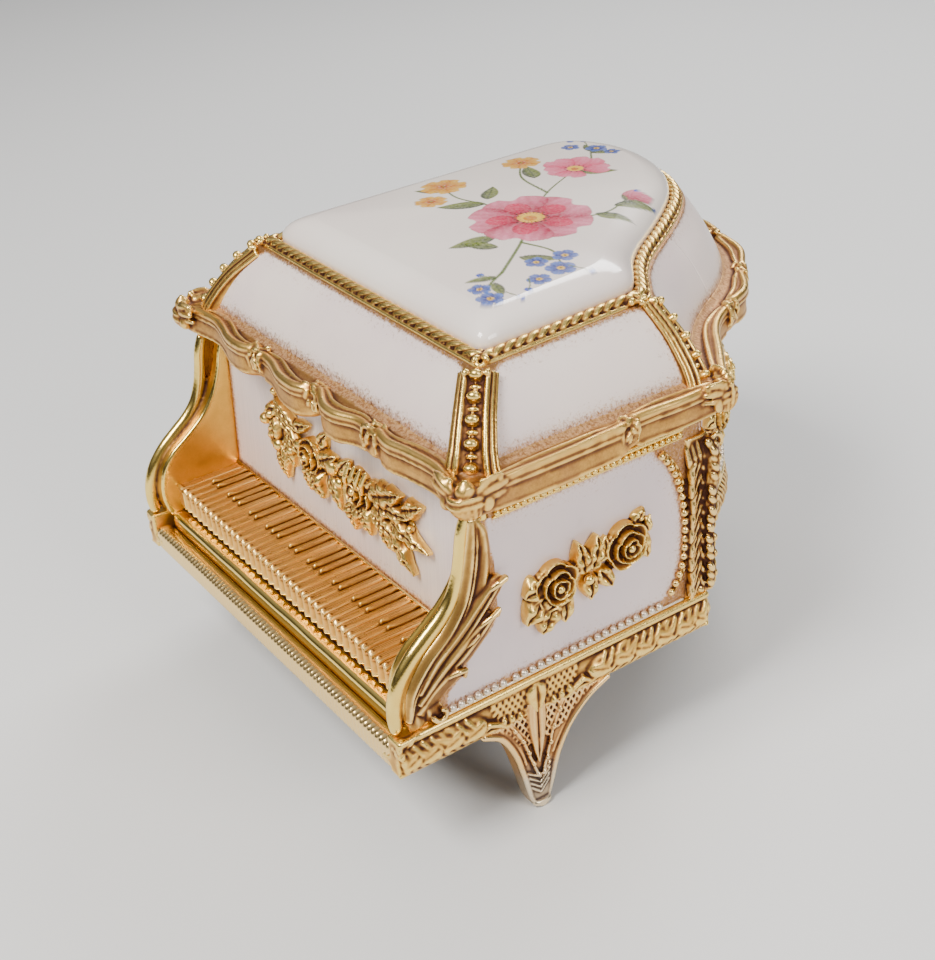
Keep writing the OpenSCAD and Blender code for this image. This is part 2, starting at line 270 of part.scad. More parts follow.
module music_cylinder() { color(brass_c) at_ax() union() {
    along_x(15, 0, za) difference() { cylinder(r = cyl_r, h = 16.2); translate([0, 0, 0.8]) cylinder(r = cyl_r - 0.9, h = 14.6); }
    along_x(10.2, 0, za) cylinder(r = 1, h = 25);
    along_x(10.7, 0, za) linear_extrude(1.6) polygon(gear(pinion_teeth, pin_pr - 0.5, pin_pr + 0.42, 0.46, 0.2, -90));
    along_x(32.2, 0, za) linear_extrude(1.2) polygon(gear(32, 5.9, 6.75, 0.5, 0.24, 0));
    for (i = [0:comb_teeth - 1], k = [0:pin_rows - 1]) along_x(15.4 + i * ct_p * 0.98, 0, za) rotate([0, 0, i * 97 + k * 151 + 100]) translate([cyl_r - 0.2, 0, 0]) rotate([0, 90, 0]) cylinder(r = 0.16, h = 0.45, $fn = 16); } }
g_ph = atan2(gw[1] - za, gw[0]);
module governor_wheel() { color("#e8e4d8") at_ax() { along_x(32.2, gw[0], gw[1]) linear_extrude(1.2) polygon(gear(8, 1.12, 1.98, 0.5, 0.22, g_ph + 180 + 22.5 + wheel_ph));
    along_x(31.7, gw[0], gw[1]) cylinder(r = 0.7, h = 6.9); along_x(xw - 0.3, gw[0], gw[1]) linear_extrude(0.6) polygon(gear(worm_wheel, 3.35, 4.3, 0.5, 0.2, 11.25)); } }
wheel_ph = (g_ph / 11.25 - floor(g_ph / 11.25)) * 45;
module governor_fan() { color("#d9d4c4") at_ax() translate([xw, wy, 0]) {
    translate([0, 0, zb + 1.7]) cylinder(r = 0.6, h = za + 8.3 - zb - 1.7);
    translate([0, 0, gw[1] - 2.1]) rotate([0, 0, 90 - 360 * 2.1 / worm_lead]) linear_extrude(4.2, twist = -360 * 4.2 / worm_lead, slices = 12) polygon([for (i = [0:worm_starts - 1]) let (a = i * 360 / worm_starts) each [[0.9 * cos(a - 22), 0.9 * sin(a - 22)], [1.5 * cos(a - 11), 1.5 * sin(a - 11)], [1.5 * cos(a + 11), 1.5 * sin(a + 11)], [0.9 * cos(a + 22), 0.9 * sin(a + 22)]]]);
    translate([0, 0, za + 4.6]) cylinder(r = 1.6, h = 3.3); translate([0, 0, za + 7.3]) cylinder(r = 4.2, h = 0.6);
    for (a = [0, 180]) rotate([0, 0, a]) translate([0.8, -0.25, za + 4.8]) cube([3.4, 0.5, 2.6]); } }
zr = za + 8.1;  // foot of the stop arm
fan_v = [ax[0] + xw, ax[1] + wy];
arm = [fan_v[0] + 2 - rod[0], fan_v[1] + 1.4 - rod[1]];
module stop_rod() { color(steel_c) { translate([rod[0], rod[1], z0 + 11.5]) cylinder(r = 0.8, h = z3 + 0.05 - z0 - 11.5);
    translate([rod[0], rod[1], zr + 0.4]) rotate([0, 0, atan2(arm[1], arm[0])]) { translate([0, -0.9, 0]) cube([norm(arm) + 0.9, 1.8, 0.9]); cylinder(r = 1.6, h = 0.9); }
    translate([rod[0] + arm[0], rod[1] + arm[1], zr]) cylinder(r = 1, h = 0.5); } }
module stop_bracket() { color(steel_c) translate([rod[0], rod[1], 0]) rotate([0, 0, 127]) difference() { union() { translate([-2.4, 4.6, z0 + 1.7]) cube([4.8, 5.6, 1]); translate([-2.4, 4.6, z0 + 1.7]) cube([4.8, 1, 14.1]); translate([-2.4, -1.3, z0 + 14.8]) cube([4.8, 6.9, 1]); } translate([0, 0, z0 + 14]) cylinder(r = 0.86, h = 3); } }
function coil(n, seg, R, h, r, m) = [for (i = [0:n * seg]) let (a = i * 360 / seg, z = h * i / (n * seg)) for (j = [0:m - 1]) let (b = j * 360 / m) [(R + r * cos(b)) * cos(a), (R + r * cos(b)) * sin(a), z + r * sin(b)]];
module coil_spring(n, seg, R, h, r, m) { k = n * seg; polyhedron(points = coil(n, seg, R, h, r, m), faces = concat([[for (j = [0:m - 1]) j]], [for (i = [0:k - 1], j = [0:m - 1]) each [[i * m + j, (i + 1) * m + j, (i + 1) * m + (j + 1) % m], [i * m + j, (i + 1) * m + (j + 1) % m, i * m + (j + 1) % m]]], [[for (j = [m - 1:-1:0]) k * m + j]])); }
module stop_spring() { color(steel_c) translate([rod[0], rod[1], z0 + 15.8 + 0.3]) coil_spring(7, 14, 1.3, zr + 0.4 - z0 - 15.8 - 0.6, 0.22, 6); }

// ---------- hinges: pivot line on the spine side ----------
hinge_y = [-20, 22];
hx = -half_w + 0.9; hz = z3 - 0.2; hr = 1.35;
module case_hinge_leaves() { color(brass_c) for (y = hinge_y) difference() {
    union() { for (s = [-1, 1]) translate([hx, y + s * 5 - 2.4, hz]) rotate([-90, 0, 0]) cylinder(r = hr, h = 4.8);
      for (s = [-1, 1]) translate([hx, y + s * 5 - 2.4, z2 - 4]) cube([-half_w + 3 - hx, 4.8, 3.6]);
      translate([-half_w + 1.8, y - 7.4, z2 - 11]) cube([1.15, 14.8, 8]); }
    translate([hx, y - 10, hz]) rotate([-90, 0, 0]) cylinder(r = 0.66, h = 20);
    translate([hx - 3, y - 2.6, z2 - 2.8]) cube([5.9, 5.2, 8]); } }
module lid_hinge_leaves() { color(brass_c) for (y = hinge_y) difference() {
    union() { translate([hx, y - 2.35, hz]) rotate([-90, 0, 0]) cylinder(r = hr, h = 4.7);
      translate([hx - 0.75, y - 2.35, hz]) cube([0.9, 4.7, 2.6]);
      translate([hx - 0.75, y - 7, z3 + 1.6]) cube([0.9, 14, 3.2]); }
    translate([hx, y - 10, hz]) rotate([-90, 0, 0]) cylinder(r = 0.66, h = 20); } }
module hinge_pins() { color(steel_c) for (y = hinge_y) translate([hx, y - 7.9, hz]) rotate([-90, 0, 0]) cylinder(r = 0.62, h = 15.8); }

// ---------- lid ----------
module rim_profile() { polygon([[-9, z3 + 0.2], [-5.8, z3], [-0.9, z3], [0, z3 + 1.2], [0, z3 + 4.8], [-1, z3 + 6.7], [-2.6, z3 + 7.2], [-4, z3 + 6.1], [-4, zp], [-6.6, zp], [-6.6, z3 + 1.3], [-9, z3 + 1.3]]); }
module lid_rim() { color(gold_c) difference() { union() { lid_front() rim_profile(); lid_right() rim_profile(); lid_bent() rim_profile(); lid_tail() rim_profile(); lid_left() rim_profile(); }
    for (y = hinge_y) { translate([-half_w - 3, y - 8, z3 - 1]) cube([3 + 1.05, 16, 9]); translate([-half_w - 3, y - 8, z3 - 1]) cube([6.2, 16, 2.45]); } } }
module lid_front_panel() { color(white_c) lid_front() panel_profile(); }
module lid_right_panel() { color(white_c) lid_right() panel_profile(); }
module lid_left_panel() { color(white_c) lid_left() panel_profile(); }
module lid_bentside_panel() { color(white_c) lid_bent() panel_profile(); }
module lid_tail_panel() { color(white_c) lid_tail() panel_profile(); }
module border_profile() { polygon([[-21.5, zt - 1.2], [-border_in - 1.7, zt - 1.2], [-border_in - 1.7, zt], [-border_in + 0.2, zt], [-border_in + 0.2, zt + 1.6], [-border_in - 0.6, zt + 2.6], [-border_in - 2.2, zt + 2.6], [-border_in - 3.1, zt + 1.7], [-border_in - 3.1, zs], [-21.5, zs]]); }
module rope_border() { color(gold_c) { lid_front() border_profile(); lid_right() border_profile(); lid_bent() border_profile(); lid_tail() border_profile(); lid_left() border_profile(); } }
// a rib down a corner line from the border to the rim, d is the offset inside the rim
function cpt(k, d) = k == 0 ? [-(half_w + d), yl - d] : k == 1 ? [half_w + d, yl - d] : [half_w + d, ycor(d, d)];
rib_dz = [[-4.3, zp + 2.9], [-6.4, zp + 6.4], [-9.8, zp + 11.4], [-14, zt + 0.9]];
// a rib with a hollow back that sits over the corner line
module rib_solid(k, m) { polyhedron(points = [for (q = rib_dz) let (p = cpt(k, q[0])) each [[p[0] + m[0][0], p[1] + m[0][1], q[1] - 0.7], [p[0] + m[1][0], p[1] + m[1][1], q[1] + 0.9], [p[0] + m[2][0], p[1] + m[2][1], q[1] - 0.7], [p[0], p[1], q[1] - 0.6]]],
    faces = concat([[0, 1, 3], [1, 2, 3]], [for (i = [0:2], j = [0:3]) each [[i * 4 + j, i * 4 + 4 + j, i * 4 + 4 + (j + 1) % 4], [i * 4 + j, i * 4 + 4 + (j + 1) % 4, i * 4 + (j + 1) % 4]]], [[15, 13, 12], [15, 14, 13]])); }
module lid_corner_ribs() { color(gold_c) { rib_solid(1, [[-2.4, -0.15], [0.5, -0.5], [0.15, 2.4]]); rib_solid(0, [[-0.15, 2.4], [-0.5, -0.5], [2.4, -0.15]]); rib_solid(2, [[0.15, -2.4], [0.65, 0.35], [-1.5, 1.9]]); } }
pq = [[-18.5, 0], [-18.5, 2.6], [-18.9, 4], [-20, 5.3], [-21.8, 6.3], [-24.5, 7]];
module porcelain_plaque() { color("#f6efe9") { n = len(outline(-18.5, -18.5, yl)); k = len(pq);
    polyhedron(points = concat([for (q = pq) for (p = outline(q[0], q[0], yl - q[0])) [p[0], p[1], zs + q[1] * plaque_h / 7.4]], [[-12, -8, zs], [-12, -8, zs + plaque_h]]),
      faces = concat([for (i = [0:k - 2], j = [0:n - 1]) each [[i * n + j, (i + 1) * n + (j + 1) % n, i * n + (j + 1) % n], [i * n + j, (i + 1) * n + j, (i + 1) * n + (j + 1) % n]]],
        [for (j = [0:n - 1]) [j, (j + 1) % n, k * n]], [for (j = [0:n - 1]) [(k - 1) * n + (j + 1) % n, (k - 1) * n + j, k * n + 1]])); } }
module lid_mirror() { color("#cfd6da") translate([0, 0, zt - 2.8]) slab(-19, -19, yl + 19, 1.5); }
module lid_lining() { color(velvet_c) { lid_front() lining_profile(); lid_right() lining_profile(); lid_bent() lining_profile(); lid_tail() lining_profile(); lid_left() lining_profile(); } }
module lining_profile() { polygon([[-6.75, z3 + 1.4], [-6.75, zp + 0.1], [-8.8, zp + 5.2], [-12.3, zp + 10.3], [-17.4, zt - 2.9], [-20.5, zt - 2.9], [-20.5, zt - 3.7], [-17.6, zt - 3.7], [-13.1, zp + 9.9], [-9.6, zp + 4.9], [-7.6, zp], [-7.6, z3 + 1.4]]); }

base_frame();
front_rail();
right_leg();
left_leg();
tail_leg();
key_bed();
keyboard();
black_keys();
nameboard();
nameboard_garland();
right_side_panel();
left_side_panel();
bentside_panel();
tail_panel();
upper_moulding();
right_cheek();
left_cheek();
rear_corner_bracket();
right_rose_spray();
left_rose_spray();
tail_rose_spray();
bottom_plate();
screws();
front_tray();
ring_rolls();
rear_tray();
spindle_bush();
bedplate();
bedplate_spacers();
comb();
cylinder_bearing();
governor_bracket();
stop_bracket();
stop_spring();
case_hinge_leaves();
hinge_pins();
lid_hinge_leaves();
lid_rim();
lid_front_panel();
lid_right_panel();
lid_left_panel();
lid_bentside_panel();
lid_tail_panel();
lid_corner_ribs();
rope_border();
porcelain_plaque();
lid_mirror();
lid_lining();
spring_drum();
mainspring();
drive_spindle();
turntable();
ballerina_figure();
ballerina_tutu();
winding_key();
winding_arbor();
music_cylinder();
governor_wheel();
governor_fan();
stop_rod();
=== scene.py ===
import math, json
import bpy, bmesh
import numpy as np
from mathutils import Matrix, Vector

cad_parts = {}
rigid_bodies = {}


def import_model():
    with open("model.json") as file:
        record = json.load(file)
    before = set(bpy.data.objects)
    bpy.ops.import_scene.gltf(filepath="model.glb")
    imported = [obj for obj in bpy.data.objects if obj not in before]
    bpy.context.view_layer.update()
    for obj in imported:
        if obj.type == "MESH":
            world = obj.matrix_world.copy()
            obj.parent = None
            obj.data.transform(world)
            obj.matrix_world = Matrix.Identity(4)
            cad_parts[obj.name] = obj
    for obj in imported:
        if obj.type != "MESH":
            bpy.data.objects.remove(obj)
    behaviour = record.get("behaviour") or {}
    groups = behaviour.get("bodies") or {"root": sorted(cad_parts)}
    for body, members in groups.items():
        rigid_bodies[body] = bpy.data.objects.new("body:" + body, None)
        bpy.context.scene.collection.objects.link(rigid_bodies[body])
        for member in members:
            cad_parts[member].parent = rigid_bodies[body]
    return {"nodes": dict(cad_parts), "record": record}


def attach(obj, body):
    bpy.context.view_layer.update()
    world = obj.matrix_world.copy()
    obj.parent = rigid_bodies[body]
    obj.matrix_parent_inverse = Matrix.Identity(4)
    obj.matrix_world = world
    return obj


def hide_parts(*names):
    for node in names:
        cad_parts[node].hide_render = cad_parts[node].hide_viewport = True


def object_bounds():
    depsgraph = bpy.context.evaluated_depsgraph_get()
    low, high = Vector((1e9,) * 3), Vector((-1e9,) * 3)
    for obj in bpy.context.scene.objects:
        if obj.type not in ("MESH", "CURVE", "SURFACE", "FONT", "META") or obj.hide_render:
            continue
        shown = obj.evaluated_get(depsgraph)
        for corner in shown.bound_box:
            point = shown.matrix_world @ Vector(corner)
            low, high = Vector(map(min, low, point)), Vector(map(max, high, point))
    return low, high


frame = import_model()
cad_box = [list(v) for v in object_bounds()]
MM = 0.001
pi = math.pi
rad = math.radians

# ---------------------------------------------------------------- plan of the box, in mm
HW = 59.0
C1 = np.array([-19.0, 12.0]); R1 = 57.0
C2 = np.array([84.3, 66.9]); R2 = float(np.hypot(*(C2 - C1))) - R1; R3 = 30.0
A12 = math.atan2(C2[1] - C1[1], C2[0] - C1[0])
YL, YF = -51.3, -70.0
Z0 = 24.5; Z1 = Z0 + 8.8; Z2 = Z0 + 50.5; Z3 = Z2 + 0.5; ZP = Z3 + 5; ZT = ZP + 15.8; ZS = ZT + 0.1

def cx3(d, e): return -(HW + d) + R3 + e
def cy3(d, e): return C1[1] + math.sqrt((R1 - R3) ** 2 - (cx3(d, e) - C1[0]) ** 2)
def a3(d, e): return math.atan2(cy3(d, e) - C1[1], cx3(d, e) - C1[0])
def ycor(d, e): return C2[1] - math.sqrt((R2 - e) ** 2 - (C2[0] - HW - d) ** 2)
def acor(d, e): return math.atan2(ycor(d, e) - C2[1], HW + d - C2[0])
KX = (ycor(0, 0) - ycor(-15, -15)) / 15

def arc(c, r, a, b, n):
    t = np.linspace(a, b, n)
    return np.stack([c[0] + r * np.cos(t), c[1] + r * np.sin(t)], 1)

def outline_parts(d, e, y, ds=0.5):
    """The plan's five runs, offset outward by d and e: front, right, bentside, tail, left. Each is a run of points."""
    yc = ycor(d, e)
    n = lambda L: max(3, int(round(L / ds)) + 1)
    h = HW + d
    t = lambda k: np.linspace(0, 1, k)[:, None]
    p = lambda a, b: np.array(a) + (np.array(b) - np.array(a)) * t(n(np.hypot(b[0] - a[0], b[1] - a[1])))
    ta = a3(d, e)
    front = p((-h, y), (h, y))
    right = p((h, y), (h, yc))
    bent = arc(C2, R2 - e, acor(d, e), A12 - pi, n((R2 - e) * abs(acor(d, e) - A12 + pi)))
    tail = np.concatenate([arc(C1, R1 + e, A12, ta, n((R1 + e) * (ta - A12)))[:-1],
                           arc((cx3(d, e), cy3(d, e)), R3 + e, ta, pi, n((R3 + e) * (pi - ta)))])
    left = p((-h, cy3(d, e)), (-h, y))
    return front, right, bent, tail, left

def resample(P, n=None, ds=None, closed=False):
    P = np.asarray(P, float)
    if closed: P = np.concatenate([P, P[:1]])
    s = np.concatenate([[0], np.cumsum(np.linalg.norm(np.diff(P, axis=0), axis=1))])
    if n is None: n = max(3, int(round(s[-1] / ds)) + 1)
    t = np.linspace(0, s[-1], n + 1 if closed else n)
    out = np.stack([np.interp(t, s, P[:, k]) for k in range(P.shape[1])], 1)
    return out[:-1] if closed else out

def catmull(P, n=8, closed=False):
    """A smooth curve through the points."""
    P = np.asarray(P, float)
    if closed: Q = np.concatenate([P[-1:], P, P[:2]])
    else: Q = np.concatenate([2 * P[:1] - P[1:2], P, 2 * P[-1:] - P[-2:-1]])
    t = np.linspace(0, 1, n, endpoint=False)[:, None]
    out = []
    for i in range(1, len(Q) - 2):
        a, b, c, d = Q[i - 1], Q[i], Q[i + 1], Q[i + 2]
        out.append(0.5 * (2 * b + (c - a) * t + (2 * a - 5 * b + 4 * c - d) * t ** 2 + (3 * b - a - 3 * c + d) * t ** 3))
    out = np.concatenate(out)
    return out if closed else np.concatenate([out, P[-1:]])

def unit(v):
    v = np.asarray(v, float)
    return v / np.maximum(np.linalg.norm(v, axis=-1, keepdims=True), 1e-12)

def smoothstep(a, b, x):
    t = np.clip((x - a) / (b - a), 0, 1)
    return t * t * (3 - 2 * t)

def hashn(*a):
    """A repeatable pseudo-random number from -1 to 1."""
    x = np.zeros(np.broadcast(*a).shape) if len(a) > 1 else np.zeros(np.shape(a[0]))
    for k, v in enumerate(a): x = x + np.asarray(v, float) * (12.9898 + 65.233 * k)
    x = np.sin(x) * 43758.5453
    return 2 * (x - np.floor(x)) - 1

def vnoise(P, scale, seed=0.0):
    """Smooth value noise on points, about -1 to 1."""
    Q = np.asarray(P, float) / scale + seed * 17.31
    i = np.floor(Q); f = Q - i; f = f * f * (3 - 2 * f)
    out = 0
    for dx in (0, 1):
        for dy in (0, 1):
            for dz in (0, 1):
                w = (f[:, 0] if dx else 1 - f[:, 0]) * (f[:, 1] if dy else 1 - f[:, 1]) * (f[:, 2] if dz else 1 - f[:, 2])
                out = out + w * hashn(i[:, 0] + dx, i[:, 1] + dy, i[:, 2] + dz)
    return out

# ---------------------------------------------------------------- mesh building, in mm
class MB:
    def __init__(s): s.V = []; s.Q = []; s.T = []; s.n = 0
    def add(s, V, Q=None, T=None):
        V = np.asarray(V, float).reshape(-1, 3)
        if Q is not None and len(Q): s.Q.append(np.asarray(Q, np.int64) + s.n)
        if T is not None and len(T): s.T.append(np.asarray(T, np.int64) + s.n)
        s.V.append(V); s.n += len(V); return s
    def merge(s, o, M=None, off=(0, 0, 0)):
        V = o.verts()
        if M is not None: V = V @ np.asarray(M, float).T
        n = s.n
        s.V.append(V + np.asarray(off, float)); s.n += len(V)
        flip = M is not None and np.linalg.det(np.asarray(M, float)) < 0
        for q in o.Q: s.Q.append((q[:, ::-1] if flip else q) + n)
        for t in o.T: s.T.append((t[:, ::-1] if flip else t) + n)
        return s
    def verts(s): return np.concatenate(s.V) if s.V else np.zeros((0, 3))
    def grid(s, P, cu=False, cv=False, flip=False, cap=False):
        """Quads over the points P[i, j]. cu and cv close a direction; cap fans both ends of i."""
        nu, nv = P.shape[:2]
        idx = np.arange(nu * nv).reshape(nu, nv)
        iu = np.arange(nu if cu else nu - 1); iv = np.arange(nv if cv else nv - 1)
        a = idx[iu][:, iv]; b = idx[(iu + 1) % nu][:, iv]
        c = idx[(iu + 1) % nu][:, (iv + 1) % nv]; d = idx[iu][:, (iv + 1) % nv]
        Q = np.stack([a, b, c, d], -1).reshape(-1, 4)
        V = P.reshape(-1, 3); T = None
        if cap:
            V = np.concatenate([V, P[0].mean(0)[None], P[-1].mean(0)[None]])
            j = np.arange(nv); k = (j + 1) % nv
            T = np.concatenate([np.stack([np.full(nv, nu * nv), idx[0][j], idx[0][k]], 1),
                                np.stack([np.full(nv, nu * nv + 1), idx[-1][k], idx[-1][j]], 1)])
        if flip:
            Q = Q[:, ::-1]
            if T is not None: T = T[:, ::-1]
        return s.add(V, Q, T)

def frames(P, up=(0, 0, 1), closed=False):
    """Tangent, side and up vectors along a path."""
    P = np.asarray(P, float)
    if closed: T = unit(np.roll(P, -1, 0) - np.roll(P, 1, 0))
    else:
        T = np.gradient(P, axis=0); T = unit(T)
    up = np.broadcast_to(np.asarray(up, float), P.shape)
    S = unit(np.cross(T, up)); U = unit(np.cross(S, T))
    return T, S, U

def sweep(m, P, prof, up=(0, 0, 1), closed=False, scale=None, flip=False):
    """A closed profile, (side, up) points, along a path."""
    T, S, U = frames(P, up, closed)
    prof = np.asarray(prof, float)
    k = np.ones(len(P)) if scale is None else np.asarray(scale, float)
    G = P[:, None] + (prof[None, :, 0:1] * k[:, None, None]) * S[:, None] + (prof[None, :, 1:2] * k[:, None, None]) * U[:, None]
    return m.grid(G, cu=closed, cv=True, cap=not closed, flip=flip)

def tube(m, P, r, n=10, up=(0, 0, 1), closed=False, flat=1.0, round_ends=True):
    """A round rod along a path; r is a number or one for each point; flat squeezes it along up."""
    P = np.asarray(P, float); r = np.broadcast_to(np.asarray(r, float), (len(P),)).copy()
    if round_ends and not closed:
        a = P[0] + unit(P[0] - P[1]) * r[0] * 0.6; b = P[-1] + unit(P[-1] - P[-2]) * r[-1] * 0.6
        P = np.concatenate([[a], P, [b]]); r = np.concatenate([[r[0] * 0.45], r, [r[-1] * 0.45]])
    T, S, U = frames(P, up, closed)
    t = np.linspace(0, 2 * pi, n, endpoint=False)
    G = P[:, None] + r[:, None, None] * (np.cos(t)[None, :, None] * S[:, None] + flat * np.sin(t)[None, :, None] * U[:, None])
    return m.grid(G, cu=closed, cv=True, cap=not closed)

def ellipsoid(m, c, r, axes=None, n=12):
    """An ellipsoid with radii r along the rows of axes."""
    r = np.broadcast_to(np.asarray(r, float), (3,))
    A = np.eye(3) if axes is None else np.asarray(axes, float)
    th = np.linspace(0.12, pi - 0.12, max(5, n * 2 // 3)); ph = np.linspace(0, 2 * pi, n, endpoint=False)
    G = np.stack([np.sin(th)[:, None] * np.cos(ph) * r[0], np.sin(th)[:, None] * np.sin(ph) * r[1], np.cos(th)[:, None] * np.ones(n) * r[2]], -1)
    return m.grid(np.asarray(c, float) + G @ A, cv=True, cap=True, flip=True)

def basis(n, t):
    """Rows: t made square to n, n x t, n."""
    n = unit(n); t = np.asarray(t, float); t = unit(t - n * (t @ n))
    return np.stack([t, np.cross(n, t), n])

def leaf(m, base, tip, nrm, width, h=1.0, curl=0.0, side=0.0, veins=5, lobes=0, depth=0.8, nu=18, nv=9, lift=0.0, fold=0.5):
    """A cast leaf: from base to tip, lying against the surface whose normal is nrm. h is its crown, curl lifts its tip,
    side bends it sideways, lobes cuts its edge, veins rib it. It is closed, with its back depth below the surface."""
    base, tip = np.asarray(base, float), np.asarray(tip, float)
    L = np.linalg.norm(tip - base)
    B = basis(nrm, tip - base)
    u = np.linspace(0, 1, nu); v = np.linspace(-1, 1, nv)
    w = np.sin(pi * np.clip(u, 0.02, 0.985) ** 0.8) ** 0.75
    if lobes: w = w * (1 + 0.22 * np.cos(2 * pi * lobes * u) * (1 - u * 0.4))
    U, V = np.meshgrid(u, v, indexing="ij")
    W = w[:, None] * width / 2
    x = U * L - 0.10 * L * V ** 2 * w[:, None]
    y = V * W + side * L * np.sin(pi * U / 2) ** 2
    z = h * (1 - V ** 2) ** 0.5 * (0.35 + 0.65 * w[:, None]) - fold * h * np.exp(-(V / 0.22) ** 2) + lift + curl * U ** 2.2
    if veins: z = z + 0.16 * h * np.cos(2 * pi * veins * (U - 0.25 * np.abs(V))) * (np.abs(V) > 0.12) * (1 - np.abs(V)) ** 0.3
    top = base + x[..., None] * B[0] + y[..., None] * B[1] + z[..., None] * B[2]
    bot = base + x[..., None] * B[0] + y[..., None] * B[1] + ((curl * U ** 2.2 + lift) * 0.6 - depth)[..., None] * B[2]
    G = np.concatenate([top, bot[:, ::-1]], 1)
    return m.grid(G, cv=True, cap=True, flip=True)

def rose(m, c, nrm, up, R, H=3.2, n_out=5, turn=0.0, nr=34, na=72):
    """A cast rose: rings of overlapping petals with raised rims round a wound bud."""
    B = basis(nrm, up)
    r = np.linspace(0, 1, nr) ** 0.85; a = np.linspace(0, 2 * pi, na, endpoint=False)
    Rr, A = np.meshgrid(r, a, indexing="ij"); A = A + turn
    z = np.full(Rr.shape, -0.6)
    def ring(r0, r1, n, off, z_in, z_rim, z):
        ph = (A * n / (2 * pi) + off) % 1.0
        e = r0 + (r1 - r0) * (0.80 + 0.20 * np.abs(np.sin(pi * ph)) ** 0.6)
        t = Rr / e
        lean = 0.25 * (ph - 0.5)
        prof = z_in + (z_rim - z_in) * np.clip((Rr - r0) / (e - r0), 0, 1) ** 1.6 + lean * (z_rim - z_in)
        prof = np.where(t > 1, -5, prof)
        prof = prof - 0.5 * np.exp(-((ph % 1.0) / 0.05) ** 2) - 0.5 * np.exp(-((1 - ph) / 0.05) ** 2)
        return np.maximum(z, prof)
    z = ring(0.45, 1.00, n_out, 0.0, 0.10 * H, 0.42 * H, z)
    z = ring(0.34, 0.80, n_out, 0.5, 0.22 * H, 0.66 * H, z)
    z = ring(0.22, 0.57, 4, 0.2, 0.34 * H, 0.86 * H, z)
    spiral = (Rr * 9.0 / 1.0 - A / (2 * pi)) % 1.0
    bud = H * (1.0 - 0.45 * (Rr / 0.36) ** 2) * (Rr < 0.38) - 0.34 * H * np.exp(-((spiral - 0.5) / 0.2) ** 2) * (Rr < 0.36)
    z = np.where(Rr < 0.38, np.maximum(z * 0.6, bud), z)
    out = (R * Rr)[..., None]
    top = np.asarray(c, float) + out * np.cos(A)[..., None] * B[0] + out * np.sin(A)[..., None] * B[1] + z[..., None] * B[2]
    edge = top[-1] - 0.0
    rim = np.asarray(c, float) + 0.99 * R * (np.cos(A[-1])[:, None] * B[0] + np.sin(A[-1])[:, None] * B[1]) - 0.9 * B[2]
    G = np.concatenate([top[1:], rim[None]], 0)
    return m.grid(G, cv=True, cap=True)

# ---------------------------------------------------------------- Blender objects
COLL = bpy.context.scene.collection

def to_mesh(name, m):
    """A Blender mesh, in metres, from a builder."""
    V = m.verts().astype(np.float32) * MM
    Q = np.concatenate(m.Q) if m.Q else np.zeros((0, 4), np.int64)
    T = np.concatenate(m.T) if m.T else np.zeros((0, 3), np.int64)
    me = bpy.data.meshes.new(name)
    me.vertices.add(len(V)); me.vertices.foreach_set("co", V.ravel())
    loops = np.concatenate([Q.ravel(), T.ravel()]).astype(np.int32)
    me.loops.add(len(loops)); me.loops.foreach_set("vertex_index", loops)
    me.polygons.add(len(Q) + len(T))
    start = np.concatenate([np.arange(len(Q)) * 4, len(Q) * 4 + np.arange(len(T)) * 3]).astype(np.int32)
    me.polygons.foreach_set("loop_start", start)
    me.update(calc_edges=True)
    me.validate()
    return me

def to_object(name, m, mat=None):
    me = to_mesh(name, m) if isinstance(m, MB) else m
    o = bpy.data.objects.new(name, me)
    COLL.objects.link(o)
    if mat is not None: me.materials.append(mat)
    return o

def coords(me):
    co = np.zeros(len(me.vertices) * 3, np.float32); me.vertices.foreach_get("co", co)
    return co.reshape(-1, 3).astype(float) / MM

def set_coords(me, V):
    me.vertices.foreach_set("co", (np.asarray(V, np.float32) * MM).ravel()); me.update()

def edges_of(me):
    e = np.zeros(len(me.edges) * 2, np.int32); me.edges.foreach_get("vertices", e)
    return e.reshape(-1, 2)

def relax(V, E, times, k=0.5):
    n = len(V)
    deg = np.maximum(np.bincount(E.ravel(), minlength=n), 1)[:, None]
    a = np.concatenate([E[:, 0], E[:, 1]]); b = np.concatenate([E[:, 1], E[:, 0]])
    for _ in range(times):
        S = np.stack([np.bincount(a, V[b, i], n) for i in range(3)], 1) / deg
        V = V + k * (S - V)
    return V

def normals_of(me):
    n = np.zeros(len(me.vertices) * 3, np.float32)
    me.vertex_normals.foreach_get("vector", n)
    return n.reshape(-1, 3).astype(float)

def set_attr(me, name, values):
    a = me.attributes.get(name) or me.attributes.new(name, "FLOAT", "POINT")
    a.data.foreach_set("value", np.asarray(values, np.float32))

def cavity(me, fine=4, broad=22, k=6.0, kb=1.6):
    """Stores how hollow the surface is at each point: 0.5 level, more in recesses, less on crests. The gilt materials
    paint shade and highlight from it.
    """
    V, E, N = coords(me), edges_of(me), normals_of(me)
    A = relax(V, E, fine); B = relax(A, E, broad - fine)
    d = ((A - V) * N).sum(1) * k + ((B - V) * N).sum(1) * kb
    set_attr(me, "cav", np.clip(0.5 + d, 0, 1))

def smooth_shade(me):
    me.polygons.foreach_set("use_smooth", np.ones(len(me.polygons), bool)); me.update()

